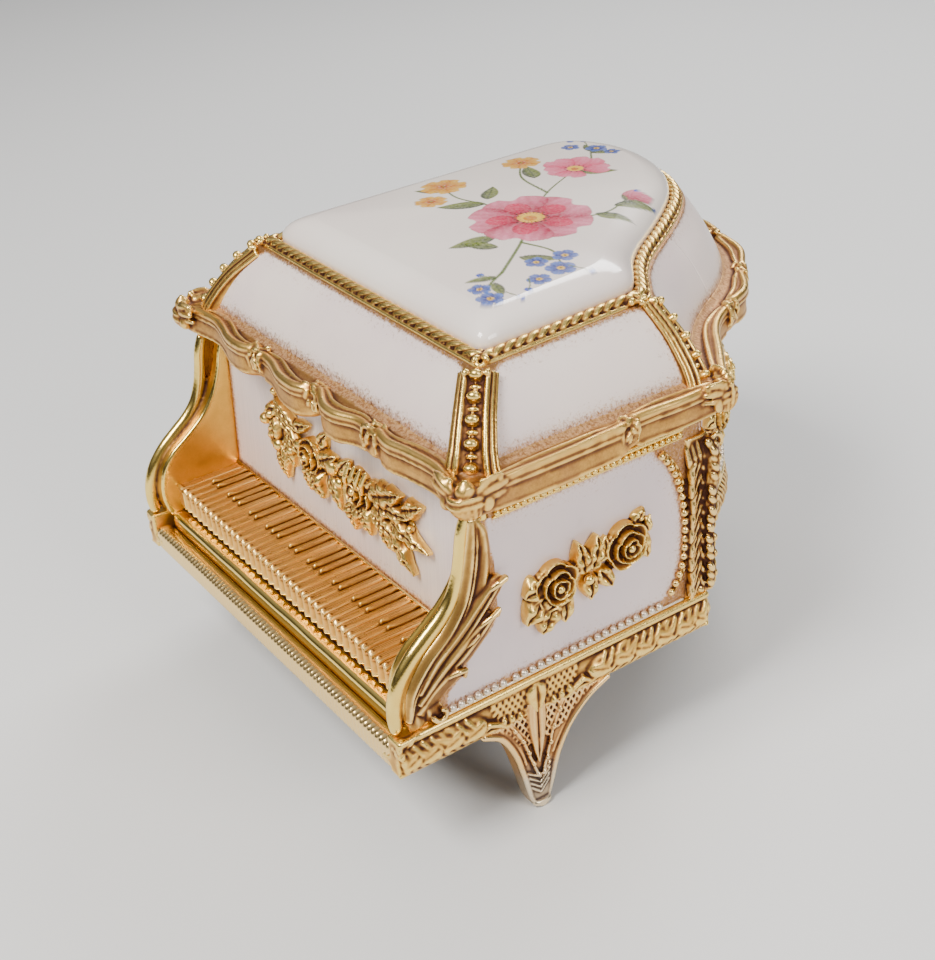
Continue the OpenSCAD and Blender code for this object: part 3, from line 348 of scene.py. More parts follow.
def cast(name, m, mat, voxel=0.3, soft=1, k=6.0, kb=1.6, keep=None, broad=22):
    """Fuses a builder's overlapping closed shapes into one cast surface."""
    o = to_object(name, m)
    mod = o.modifiers.new("fuse", "REMESH"); mod.mode = "VOXEL"; mod.voxel_size = voxel * MM; mod.adaptivity = 0
    dg = bpy.context.evaluated_depsgraph_get()
    me = bpy.data.meshes.new_from_object(o.evaluated_get(dg))
    old = o.data; o.modifiers.clear(); o.data = me; me.name = name; bpy.data.meshes.remove(old)
    if soft: set_coords(me, relax(coords(me), edges_of(me), soft, 0.5))
    cavity(me, k=k, kb=kb, broad=broad)
    smooth_shade(me)
    me.materials.clear(); me.materials.append(mat)
    return o

def face_out(me):
    """Turns every closed island's faces outward."""
    bm = bmesh.new(); bm.from_mesh(me)
    bmesh.ops.recalc_face_normals(bm, faces=bm.faces)
    bm.to_mesh(me); bm.free(); me.update()

def shell(name, m, mat, k=6.0, kb=1.6, flat=False, cav=True, broad=22):
    o = to_object(name, m, mat)
    face_out(o.data)
    if cav: cavity(o.data, k=k, kb=kb, broad=broad)
    if not flat: smooth_shade(o.data)
    return o

def place(o, body, nodes=()):
    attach(o, body)
    if nodes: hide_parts(*([nodes] if isinstance(nodes, str) else nodes))
    return o

# ---------------------------------------------------------------- camera, light, floor
def vec(*v):
    return np.array(v, float)

def camera():
    az, el, roll = math.radians(57.76), math.radians(29.63), math.radians(-4.92)
    pos = vec(258.36, -176.11, 218.17) * MM
    back = vec(math.sin(az) * math.cos(el), -math.cos(az) * math.cos(el), math.sin(el))
    right = np.cross(-back, vec(0, 0, 1)); right /= np.linalg.norm(right)
    up = np.cross(back, right)
    r = right * math.cos(roll) + up * math.sin(roll)
    u = -right * math.sin(roll) + up * math.cos(roll)
    cam = bpy.data.cameras.new("camera")
    cam.lens = 57.45
    cam.sensor_width = 36
    cam.sensor_fit = "AUTO"
    cam.clip_start = 0.01
    cam.clip_end = 80
    ob = bpy.data.objects.new("camera", cam)
    bpy.context.scene.collection.objects.link(ob)
    from mathutils import Matrix
    ob.matrix_world = Matrix(((r[0], u[0], back[0], pos[0]), (r[1], u[1], back[1], pos[1]), (r[2], u[2], back[2], pos[2]), (0, 0, 0, 1)))
    bpy.context.scene.camera = ob

camera()

def area(name, loc, target, size, power, color=(1, 1, 1)):
    from mathutils import Vector
    l = bpy.data.lights.new(name, "AREA")
    l.shape = "RECTANGLE"; l.size, l.size_y = size
    l.energy = power; l.color = color
    o = bpy.data.objects.new(name, l)
    bpy.context.scene.collection.objects.link(o)
    o.location = loc
    d = Vector(target) - Vector(loc)
    o.rotation_euler = d.to_track_quat("-Z", "Y").to_euler()
    return o

area("key_light", (0.1, -0.55, 0.75), (0, 0, 0.05), (0.36, 0.36), 10.5, (1.0, 0.97, 0.93))
area("fill_light", (0.75, 0.15, 0.45), (0, 0, 0.05), (0.4, 0.3), 3.6, (1.0, 0.98, 0.96))
area("back_light", (-0.35, 0.6, 0.6), (0, 0, 0.05), (0.5, 0.25), 4.5)

world = bpy.data.worlds.new("studio")
bpy.context.scene.world = world
world.use_nodes = True
def sky():
    """A soft room: bright overhead, dim at the horizon, so that polished metal has something to reflect."""
    t = world.node_tree; bg = t.nodes["Background"]
    tc = t.nodes.new("ShaderNodeTexCoord"); x = t.nodes.new("ShaderNodeSeparateXYZ"); r = t.nodes.new("ShaderNodeValToRGB")
    t.links.new(tc.outputs["Generated"], x.inputs[0]); t.links.new(x.outputs[2], r.inputs["Fac"]); t.links.new(r.outputs["Color"], bg.inputs[0])
    e = r.color_ramp.elements
    while len(e) < 5: e.new(0.5)
    for el, (p, c) in zip(e, ((0.0, (0.34, 0.34, 0.35)), (0.07, (0.12, 0.12, 0.14)), (0.22, (0.10, 0.10, 0.13)), (0.5, (0.42, 0.42, 0.44)), (0.85, (0.95, 0.95, 0.95)))):
        el.position = p; el.color = (*c, 1)
    bg.inputs[1].default_value = 0.60
sky()

def simple(name, color, rough=0.5, metal=0.0):
    m = bpy.data.materials.new(name)
    m.use_nodes = True
    b = m.node_tree.nodes["Principled BSDF"]
    b.inputs["Base Color"].default_value = (*color, 1)
    b.inputs["Roughness"].default_value = rough
    b.inputs["Metallic"].default_value = metal
    return m

def mesh_object(name, verts, faces, mat=None):
    me = bpy.data.meshes.new(name)
    me.from_pydata([tuple(v) for v in verts], [], faces)
    me.validate()
    o = bpy.data.objects.new(name, me)
    bpy.context.scene.collection.objects.link(o)
    if mat: me.materials.append(mat)
    return o

floor = mesh_object("studio_floor", [(-14, -14, 0), (14, -14, 0), (14, 14, 0), (-14, 14, 0)], [(0, 1, 2, 3)], simple("floor", (0.78, 0.78, 0.77), 0.6))


# ---------------------------------------------------------------- materials
class NT:
    """A short way to wire a node tree."""
    def __init__(s, name):
        s.m = bpy.data.materials.new(name); s.m.use_nodes = True
        s.t = s.m.node_tree; s.b = s.t.nodes["Principled BSDF"]; s.k = 0
    def node(s, kind, **props):
        n = s.t.nodes.new(kind); n.location = (-300 - 180 * (s.k // 6), 300 - 160 * (s.k % 6)); s.k += 1
        for a, v in props.items(): setattr(n, a, v)
        return n
    def link(s, a, b): s.t.links.new(a, b); return s
    def put(s, n, i, v):
        """Sets or links an input."""
        if isinstance(v, bpy.types.NodeSocket): s.t.links.new(v, n.inputs[i])
        elif v is not None:
            if isinstance(v, (tuple, list)) and len(v) == 3 and n.inputs[i].type == "RGBA": v = (*v, 1)
            n.inputs[i].default_value = v
    def coord(s): return s.once("coord", lambda: s.node("ShaderNodeTexCoord").outputs["Object"])
    def once(s, key, f):
        d = s.__dict__.setdefault("c", {})
        if key not in d: d[key] = f()
        return d[key]
    def attr(s, name): return s.once("a:" + name, lambda: s.node("ShaderNodeAttribute", attribute_name=name).outputs["Fac"])
    def acolor(s, name): return s.once("c:" + name, lambda: s.node("ShaderNodeAttribute", attribute_name=name).outputs["Color"])
    def noise(s, scale, detail=3.0, rough=0.55, stretch=None, dist=0.0):
        n = s.node("ShaderNodeTexNoise"); v = s.coord()
        if stretch is not None: v = s.mapping(stretch)
        s.link(v, n.inputs["Vector"]); n.inputs["Scale"].default_value = scale
        n.inputs["Detail"].default_value = detail; n.inputs["Roughness"].default_value = rough; n.inputs["Distortion"].default_value = dist
        return n.outputs["Fac"]
    def mapping(s, scale, rot=(0, 0, 0), loc=(0, 0, 0)):
        n = s.node("ShaderNodeMapping"); s.link(s.coord(), n.inputs["Vector"])
        n.inputs["Scale"].default_value = scale; n.inputs["Rotation"].default_value = rot; n.inputs["Location"].default_value = loc
        return n.outputs["Vector"]
    def voronoi(s, scale, feature="F1", out="Distance", vec=None, rand=1.0):
        n = s.node("ShaderNodeTexVoronoi", feature=feature)
        s.link(vec if vec is not None else s.coord(), n.inputs["Vector"]); n.inputs["Scale"].default_value = scale
        if "Randomness" in n.inputs: n.inputs["Randomness"].default_value = rand
        return n.outputs[out]
    def math(s, op, a, b=None, c=None, clamp=False):
        n = s.node("ShaderNodeMath", operation=op, use_clamp=clamp)
        s.put(n, 0, a)
        if b is not None: s.put(n, 1, b)
        if c is not None: s.put(n, 2, c)
        return n.outputs[0]
    def ramp(s, v, stops, interp="LINEAR"):
        n = s.node("ShaderNodeValToRGB"); n.color_ramp.interpolation = interp
        e = n.color_ramp.elements
        while len(e) < len(stops): e.new(0.5)
        for el, (p, c) in zip(e, stops):
            el.position = p; el.color = (*c, 1) if isinstance(c, (tuple, list)) else (c, c, c, 1)
        s.link(v, n.inputs["Fac"]); return n.outputs["Color"]
    def range(s, v, a, b, c=0.0, d=1.0):
        n = s.node("ShaderNodeMapRange"); n.clamp = True
        s.link(v, n.inputs[0])
        for i, x in zip((1, 2, 3, 4), (a, b, c, d)): n.inputs[i].default_value = x
        return n.outputs[0]
    def mix(s, f, a, b, blend="MIX"):
        n = s.node("ShaderNodeMix", data_type="RGBA", blend_type=blend)
        s.put(n, "Factor", f) if False else s.put(n, 0, f)
        for i, v in ((6, a), (7, b)):
            if isinstance(v, bpy.types.NodeSocket): s.t.links.new(v, n.inputs[i])
            else: n.inputs[i].default_value = (*v, 1)
        return n.outputs[2]
    def bump(s, h, strength=0.3, dist=0.0002, normal=None):
        n = s.node("ShaderNodeBump"); n.inputs["Strength"].default_value = strength; n.inputs["Distance"].default_value = dist
        s.link(h, n.inputs["Height"])
        if normal is not None: s.link(normal, n.inputs["Normal"])
        return n.outputs["Normal"]
    def set(s, **kw):
        for key, v in kw.items():
            n = {"color": "Base Color", "rough": "Roughness", "metal": "Metallic", "normal": "Normal", "coat": "Coat Weight",
                 "coat_rough": "Coat Roughness", "sheen": "Sheen Weight", "sheen_rough": "Sheen Roughness", "sheen_tint": "Sheen Tint", "ior": "IOR",
                 "spec": "Specular IOR Level", "alpha": "Alpha", "trans": "Transmission Weight", "sss": "Subsurface Weight",
                 "aniso": "Anisotropic"}[key]
            if isinstance(v, bpy.types.NodeSocket): s.t.links.new(v, s.b.inputs[n])
            else: s.b.inputs[n].default_value = (*v, 1) if isinstance(v, (tuple, list)) and len(v) == 3 else v
        return s

def srgb(r, g, b):
    f = lambda c: c / 12.92 if c <= 0.04045 else ((c + 0.055) / 1.055) ** 2.4
    return (f(r), f(g), f(b))

def gold(name, crest=(1.0, 0.71, 0.205), mid=(0.82, 0.475, 0.10), low=(0.28, 0.125, 0.038), pit=(0.07, 0.028, 0.018),
         rough=0.27, speck=0.5, tooth=0.35, tone=0.0, patina=0.0, pale_below=None, wash=False):
    """Antique gilt casting with a grainy cast skin. Its colour follows the cavity: lighter on crests, partly rubbed
    gilt and partly painted highlight, and browner down to near black in the hollows, partly patina and partly painted
    shade.
    """
    s = NT(name)
    cav = s.attr("cav")
    n1 = s.noise(420, 4, 0.6); n2 = s.noise(2600, 2, 0.6)
    k = s.math("MULTIPLY_ADD", n1, 0.22 * speck, cav)
    k = s.math("MULTIPLY_ADD", n2, 0.16 * speck, k)
    k = s.math("SUBTRACT", k, 0.19 * speck - tone)
    # the cavity ramp paints shade into the hollows (low, pit) and highlight onto the crests (crest), over the gilt's
    # own rubbed and patinated tone
    col = s.ramp(k, [(0.18, crest), (0.46, mid), (0.66, low), (0.90, pit)])
    if patina:
        blotch = s.range(s.noise(130, 5, 0.65), 0.48, 0.72, 0, patina)
        col = s.mix(blotch, col, srgb(0.62, 0.42, 0.33))
    # below the two given heights (in metres) the colour turns paler towards the floor
    if pale_below:
        x = s.node("ShaderNodeSeparateXYZ"); s.link(s.coord(), x.inputs[0])
        f = s.math("MULTIPLY_ADD", s.math("SUBTRACT", s.noise(260, 4, 0.6), 0.5), 0.011, x.outputs[2])
        col = s.mix(s.range(f, pale_below[0], pale_below[1], 0.85, 0.0), col, s.ramp(k, [(0.2, (0.86, 0.75, 0.56)), (0.55, (0.56, 0.45, 0.31)), (0.85, (0.14, 0.10, 0.08))]))
    r = s.range(k, 0.2, 0.85, rough, min(rough + 0.36, 0.9))
    r = s.math("MULTIPLY_ADD", n1, 0.12, s.math("SUBTRACT", r, 0.06))
    h = s.math("MULTIPLY_ADD", s.noise(1500, 3, 0.65), 0.6, s.math("MULTIPLY", n2, 0.4))
    mt = 1.0
    if wash:
        f = s.math("MULTIPLY_ADD", s.math("SUBTRACT", s.noise(900, 3, 0.7), 0.5), 0.9, s.attr("pan"))
        f = s.math("MULTIPLY_ADD", s.math("SUBTRACT", n2, 0.5), 1.0, f)
        f = s.math("MULTIPLY", s.range(f, 0.45, 0.85, 0.0, 0.75), s.math("GREATER_THAN", s.attr("pan"), 0.01))
        col = s.mix(f, col, s.mix(s.range(s.noise(1500, 2, 0.75), 0.40, 0.62), srgb(0.86, 0.69, 0.50), srgb(0.60, 0.40, 0.25))); mt = s.math("MULTIPLY_ADD", f, -0.4, 1.0); r = s.math("MULTIPLY_ADD", f, 0.2, r)
    s.set(color=col, metal=mt, rough=r, normal=s.bump(h, tooth, 0.00012))
    return s.m

def gilt_enamel(name, white=(0.955, 0.895, 0.86), shade=(0.92, 0.85, 0.835), spray=(0.72, 0.50, 0.37), lines=None):
    """Satin white enamel with gilding oversprayed in from its edges; the overspray attribute is 1 at the gilt edge, and
    near 1 it also turns the gilt dark brown as painted shade in the crease.
    """
    s = NT(name)
    o = s.attr("overspray_and_shade")
    n1 = s.noise(900, 3, 0.7); n2 = s.noise(2900, 2, 0.7); big = s.noise(35, 3, 0.5)
    n3 = s.noise(1500, 2, 0.75)
    f = s.math("MULTIPLY_ADD", s.math("SUBTRACT", n1, 0.5), 0.55, o)
    f = s.math("MULTIPLY_ADD", s.math("SUBTRACT", n2, 0.5), 1.3, f)
    f = s.math("MULTIPLY_ADD", s.math("SUBTRACT", n3, 0.5), 1.3, f)
    on = s.math("GREATER_THAN", o, 0.012)
    f = s.math("MULTIPLY", s.range(f, 0.20, 0.86), on)
    base = s.mix(s.range(big, 0.4, 0.65), srgb(*white), srgb(*shade))
    base = s.mix(s.range(s.noise(240, 5, 0.7), 0.60, 0.80, 0, 0.18), base, srgb(0.80, 0.72, 0.66))
    deep = s.mix(s.range(n2, 0.35, 0.65), srgb(*spray), srgb(0.86, 0.66, 0.38))
    deep = s.mix(s.range(n3, 0.50, 0.68, 0.0, 0.75), deep, srgb(0.50, 0.30, 0.19))
    # where the overspray attribute nears 1, at the joint with the mouldings, the colour turns dark brown: painted shade
    # in the crease
    deep = s.mix(s.range(o, 0.90, 1.0, 0.0, 0.8), deep, (0.30, 0.145, 0.045))
    col = s.mix(f, base, deep)
    r = s.math("MULTIPLY_ADD", f, 0.14, s.range(n1, 0.3, 0.7, 0.30, 0.38))
    h = s.math("MULTIPLY_ADD", f, 0.5, s.math("MULTIPLY", n2, 0.22))
    nm = s.bump(h, 0.35, 0.0001)
    if lines is not None:
        g = s.node("ShaderNodeTexNoise"); s.link(s.mapping(lines), g.inputs["Vector"])
        g.inputs["Scale"].default_value = 1.0; g.inputs["Detail"].default_value = 2.0
        nm = s.bump(g.outputs["Fac"], 0.55, 0.00022, nm)
        col = s.mix(s.range(g.outputs["Fac"], 0.42, 0.60, 0.0, 0.20), col, srgb(0.76, 0.70, 0.68))
    s.set(color=col, metal=s.math("MULTIPLY", f, 0.85), rough=r, normal=nm, coat=0.12, coat_rough=0.25)
    return s.m

def metal(name, color, rough=0.3, grain=(60, 60, 3000), tint=None, tooth=0.15, cav=False):
    """Machined or rolled metal with fine tool lines along one direction."""
    s = NT(name)
    g = s.node("ShaderNodeTexNoise"); s.link(s.mapping(grain), g.inputs["Vector"])
    g.inputs["Scale"].default_value = 1.0; g.inputs["Detail"].default_value = 3.0
    spots = s.noise(160, 5, 0.65)
    tint = tint or tuple(c * 0.62 for c in color)
    col = s.mix(s.range(spots, 0.42, 0.70, 0, 0.7), color, tint)
    # with cav, the hollows are darkened by cavity: painted shade
    if cav: col = s.mix(s.range(s.attr("cav"), 0.55, 0.85, 0, 0.8), col, tuple(c * 0.25 for c in color))
    r = s.math("MULTIPLY_ADD", g.outputs["Fac"], 0.22, s.range(spots, 0.3, 0.7, rough - 0.08, rough + 0.06))
    s.set(color=col, metal=1.0, rough=r, normal=s.bump(g.outputs["Fac"], tooth, 0.00006))
    return s.m

def velvet(name, deep=(0.15, 0.005, 0.013), lit=(0.33, 0.016, 0.032), nap=5200):
    s = NT(name)
    n1 = s.noise(nap, 2, 0.7); n2 = s.noise(190, 4, 0.6, dist=0.6)
    k = s.math("MULTIPLY_ADD", n1, 0.6, s.math("MULTIPLY", n2, 0.35))
    col = s.mix(s.range(k, 0.36, 0.60), deep, lit)
    r = s.range(n2, 0.3, 0.7, 0.82, 0.95)
    s.set(color=col, rough=r, normal=s.bump(k, 0.5, 0.00022), sheen=0.30, sheen_rough=0.35, sheen_tint=(1.0, 0.30, 0.32), spec=0.2)
    return s.m

GOLD = gold("antique_gilt", tone=0.03, speck=0.6, tooth=0.42)
# a darker copy of the gilt for the acanthus on the cheeks and rear corner: painted shade and painted dark reflections
# on these side-facing leaves
GOLD_SHADED = gold("deep_gilt_painted_shade", crest=(0.98, 0.68, 0.24), mid=(0.60, 0.34, 0.085), low=(0.20, 0.08, 0.028), rough=0.22, tone=0.11)
GOLD_SOFT = gold("rubbed_gilt", crest=(0.98, 0.69, 0.215), mid=(0.81, 0.46, 0.105), low=(0.33, 0.145, 0.045), pit=(0.10, 0.045, 0.03), rough=0.25, speck=0.75, tooth=0.5, tone=0.07, patina=0.3, wash=True)
GOLD_POLISHED = gold("polished_gilt", crest=(1.0, 0.73, 0.20), mid=(0.93, 0.60, 0.11), low=(0.46, 0.23, 0.05), rough=0.15, speck=0.35, tooth=0.22)
ENAMEL = gilt_enamel("white_enamel")
ENAMEL_SIDE = gilt_enamel("side_enamel", white=(0.93, 0.86, 0.845), shade=(0.89, 0.82, 0.825))
ENAMEL_BOARD = gilt_enamel("nameboard_enamel", white=(0.93, 0.875, 0.84), lines=(2600, 40, 40))
BRASS = metal("machined_brass", (0.80, 0.56, 0.24), 0.28, cav=False)
STEEL = metal("bright_steel", (0.62, 0.62, 0.63), 0.26, grain=(3000, 60, 60))
PLATE = metal("zinc_plate", (0.45, 0.45, 0.44), 0.4, grain=(80, 2400, 80))
VELVET = velvet("red_velvet")
VELVET_ROLL = velvet("red_velvet_roll", deep=(0.17, 0.006, 0.015), lit=(0.37, 0.020, 0.038), nap=4600)
BEAD_PALE = gold("enamel_washed_beads", crest=srgb(0.95, 0.89, 0.80), mid=srgb(0.84, 0.71, 0.57), low=(0.40, 0.24, 0.13), pit=(0.16, 0.08, 0.05), rough=0.34, speck=0.7, tooth=0.4)

# ---------------------------------------------------------------- lid
NP = (236, 130, 110, 190, 200)   # points along the front, right, bentside, tail and left runs

def top_shift():
    """How far the line under the rope lies from an even inset of the rim: the tail panel is steeper than the rest."""
    base = [resample(p, n=c) for p, c in zip(outline_parts(-16.4, -16.4, YL + 16.4, 0.25), NP)]
    a, b, c, d = np.array([-42.6, -34.9]), np.array([43.6, -36.1]), np.array([41.4, 6.3]), np.array([-43.4, 41.5])
    back = resample(catmull([c, (36.7, 9.9), (31.6, 13.8), (27.4, 18.0), (23.8, 22.4), (20.4, 27.4), (15.0, 34.9), (9.4, 42), (3.6, 48.2), (-4.6, 53.8), (-13.5, 56.8), (-23, 57.8), (-32, 56.4), (-39.0, 52.4), (-42.6, 47.0), d], 10), ds=0.1)
    i = int(np.argmin(np.hypot(*(back - np.array([17.4, 31.6])).T)))
    t = np.linspace(0, 1, 400)[:, None]
    goal = [a + (b - a) * t, b + (c - b) * t, back[:i + 1], back[i:], d + (a - d) * t]
    out = [resample(g, n=len(q)) - q for g, q in zip(goal, base)]
    for k in (2, 3): out[k] = np.stack([np.convolve(np.pad(out[k][:, j], 6, "edge"), np.ones(13) / 13, "valid") for j in (0, 1)], 1)
    out[2][0] = out[1][-1]; out[3][0] = out[2][-1]; out[4][0] = out[3][-1]
    return out
SHIFT = None

def run_points(d, e, y, counts=NP):
    p = [resample(p, n=c) for p, c in zip(outline_parts(d, e, y, 0.25), counts)]
    if SHIFT is not None and d == e and d < -4 and counts is NP:
        w = min(1.0, (-4 - d) / 11.2)
        p = [a + b * w for a, b in zip(p, SHIFT)]
    return p
SHIFT = top_shift()

def loop_at(o, counts=NP):
    """The whole plan line at outward offset o, as points that match from one offset to the next."""
    return np.concatenate(run_points(o, o, YL - o, counts))

def part_normals(parts):
    out = []
    for p in parts:
        t = unit(np.gradient(p, axis=0)); out.append(np.stack([t[:, 1], -t[:, 0]], 1))
    return out

RIM_PARTS = run_points(0, 0, YL)
RIM_N = part_normals(RIM_PARTS)
PART = np.concatenate([[k] * len(p) for k, p in enumerate(RIM_PARTS)])

def knots(x, xs, ws):
    """A smooth line through (xs, ws)."""
    c = catmull(np.stack([xs, ws], 1), 10)
    return np.interp(x, c[:, 0], c[:, 1])

# plan wave of the rim, outward positive, along each run
def wave():
    out = []
    x = RIM_PARTS[0][:, 0]
    out.append(knots(x, [-59, -54, -51.6, -44, -38, -32, -26.4, -21.4, -14.5, -7.2, -1.2, 2.5, 5.2, 11.2, 15.9, 21.4, 27, 29, 33.8, 39.2, 47, 54.2, 59],
                     [.5, .2, -.5, -1.5, -.5, 1.1, 1.3, -.2, -.1, 1.8, 2.2, .9, -.5, 1.9, 2.0, .1, .4, .1, .8, -.3, -1.0, .4, .5]))
    y = RIM_PARTS[1][:, 1]
    out.append(knots(y, [-51.3, -46, -40, -28, -21, -16, -12, -6, 1, 8, 12.6], [.5, .6, .9, 1.2, .9, .9, -.4, -.7, -.4, -.5, .3]))
    t = np.linspace(0, 1, len(RIM_PARTS[2]))
    out.append(0.3 + 0.8 * np.sin(2 * pi * t - 0.6) * np.sin(pi * t) ** 0.5)
    p = RIM_PARTS[3]; a = np.degrees(np.unwrap(np.arctan2(p[:, 1] - C1[1], p[:, 0] - C1[0])))
    out.append(0.3 + 0.7 * np.sin(2 * pi * (a - 28) / 24.0 - 0.6) * np.abs(np.sin(pi * (a - 28) / 24.0)) ** 0.5)
    y = RIM_PARTS[4][:, 1]
    out.append(0.35 + 0.45 * np.sin(2 * pi * (y + 51.3) / 26.0) * np.minimum(1, (y + 51.3) / 8))
    return out
WAVE = wave()

class Line:
    """The rim's line with its normals, for ornament placed by run and distance."""
    def __init__(s, parts, normals, wv):
        s.p, s.n, s.w = parts, normals, wv
        s.s = [np.concatenate([[0], np.cumsum(np.linalg.norm(np.diff(p, axis=0), axis=1))]) for p in parts]
        s.len = [q[-1] for q in s.s]
    def at(s, k, d, o=0.0, z=0.0, wave=1.0):
        d, o, z = np.broadcast_arrays(np.atleast_1d(np.asarray(d, float)), np.asarray(o, float), np.asarray(z, float))
        i = lambda a: np.interp(d, s.s[k], a)
        n = np.stack([i(s.n[k][:, 0]), i(s.n[k][:, 1])], 1)
        b = np.stack([i(s.p[k][:, 0]), i(s.p[k][:, 1])], 1) + n * (o + wave * i(s.w[k]))[:, None]
        return np.concatenate([b, z[:, None]], 1)
    def normal(s, k, d):
        n = np.array([np.interp(d, s.s[k], s.n[k][:, 0]), np.interp(d, s.s[k], s.n[k][:, 1]), 0.0])
        return unit(n)
RIM = Line(RIM_PARTS, RIM_N, WAVE)

# scroll segments: run, start, end (mm along the run), end with the hooked volute
def run_x(x): return x + HW
def run_y(y): return y - YL
def run_a(a):
    p = RIM_PARTS[3]; ang = np.degrees(np.unwrap(np.arctan2(p[:, 1] - C1[1], p[:, 0] - C1[0])))
    return float(np.interp(a, ang, RIM.s[3]))
LB, LL = RIM.len[2], RIM.len[4]
SEG = [(0, run_x(-53.5), run_x(-23.5), 1), (0, run_x(-19.5), run_x(1.5), 1), (0, run_x(5.5), run_x(25.0), 0), (0, run_x(29.5), run_x(54), 0),
       (1, run_y(-46), run_y(-15.5), 1), (1, run_y(-11.5), run_y(10), 0),
       (2, 3.0, LB - 2.2, 0)]
TA = [28, 49, 72, 96, 120, 144]
for a, b in zip(TA[:-1], TA[1:]): SEG.append((3, run_a(a) + 2.6, run_a(b) - 2.6, int(a) % 2))
SEG.append((3, run_a(144) + 2.6, RIM.len[3] - 1.0, 0))
SEG += [(4, 2.0, LL * 0.34 - 2.6, 1), (4, LL * 0.34 + 2.6, LL * 0.67 - 2.6, 0), (4, LL * 0.67 + 2.6, LL - 4.5, 1)]
KNUCKLE = [(0, run_x(-21.5), 1.0), (0, run_x(3.6), 1.1), (0, run_x(27.3), 1.0), (1, run_y(-13.4), 0.85), (2, 0.5, 1.0), (2, LB - 0.2, 0.9)]
KNUCKLE += [(3, run_a(a), 0.9) for a in TA[1:]] + [(4, 0.0, 0.9), (4, LL * 0.34, 0.9), (4, LL * 0.67, 0.9)]

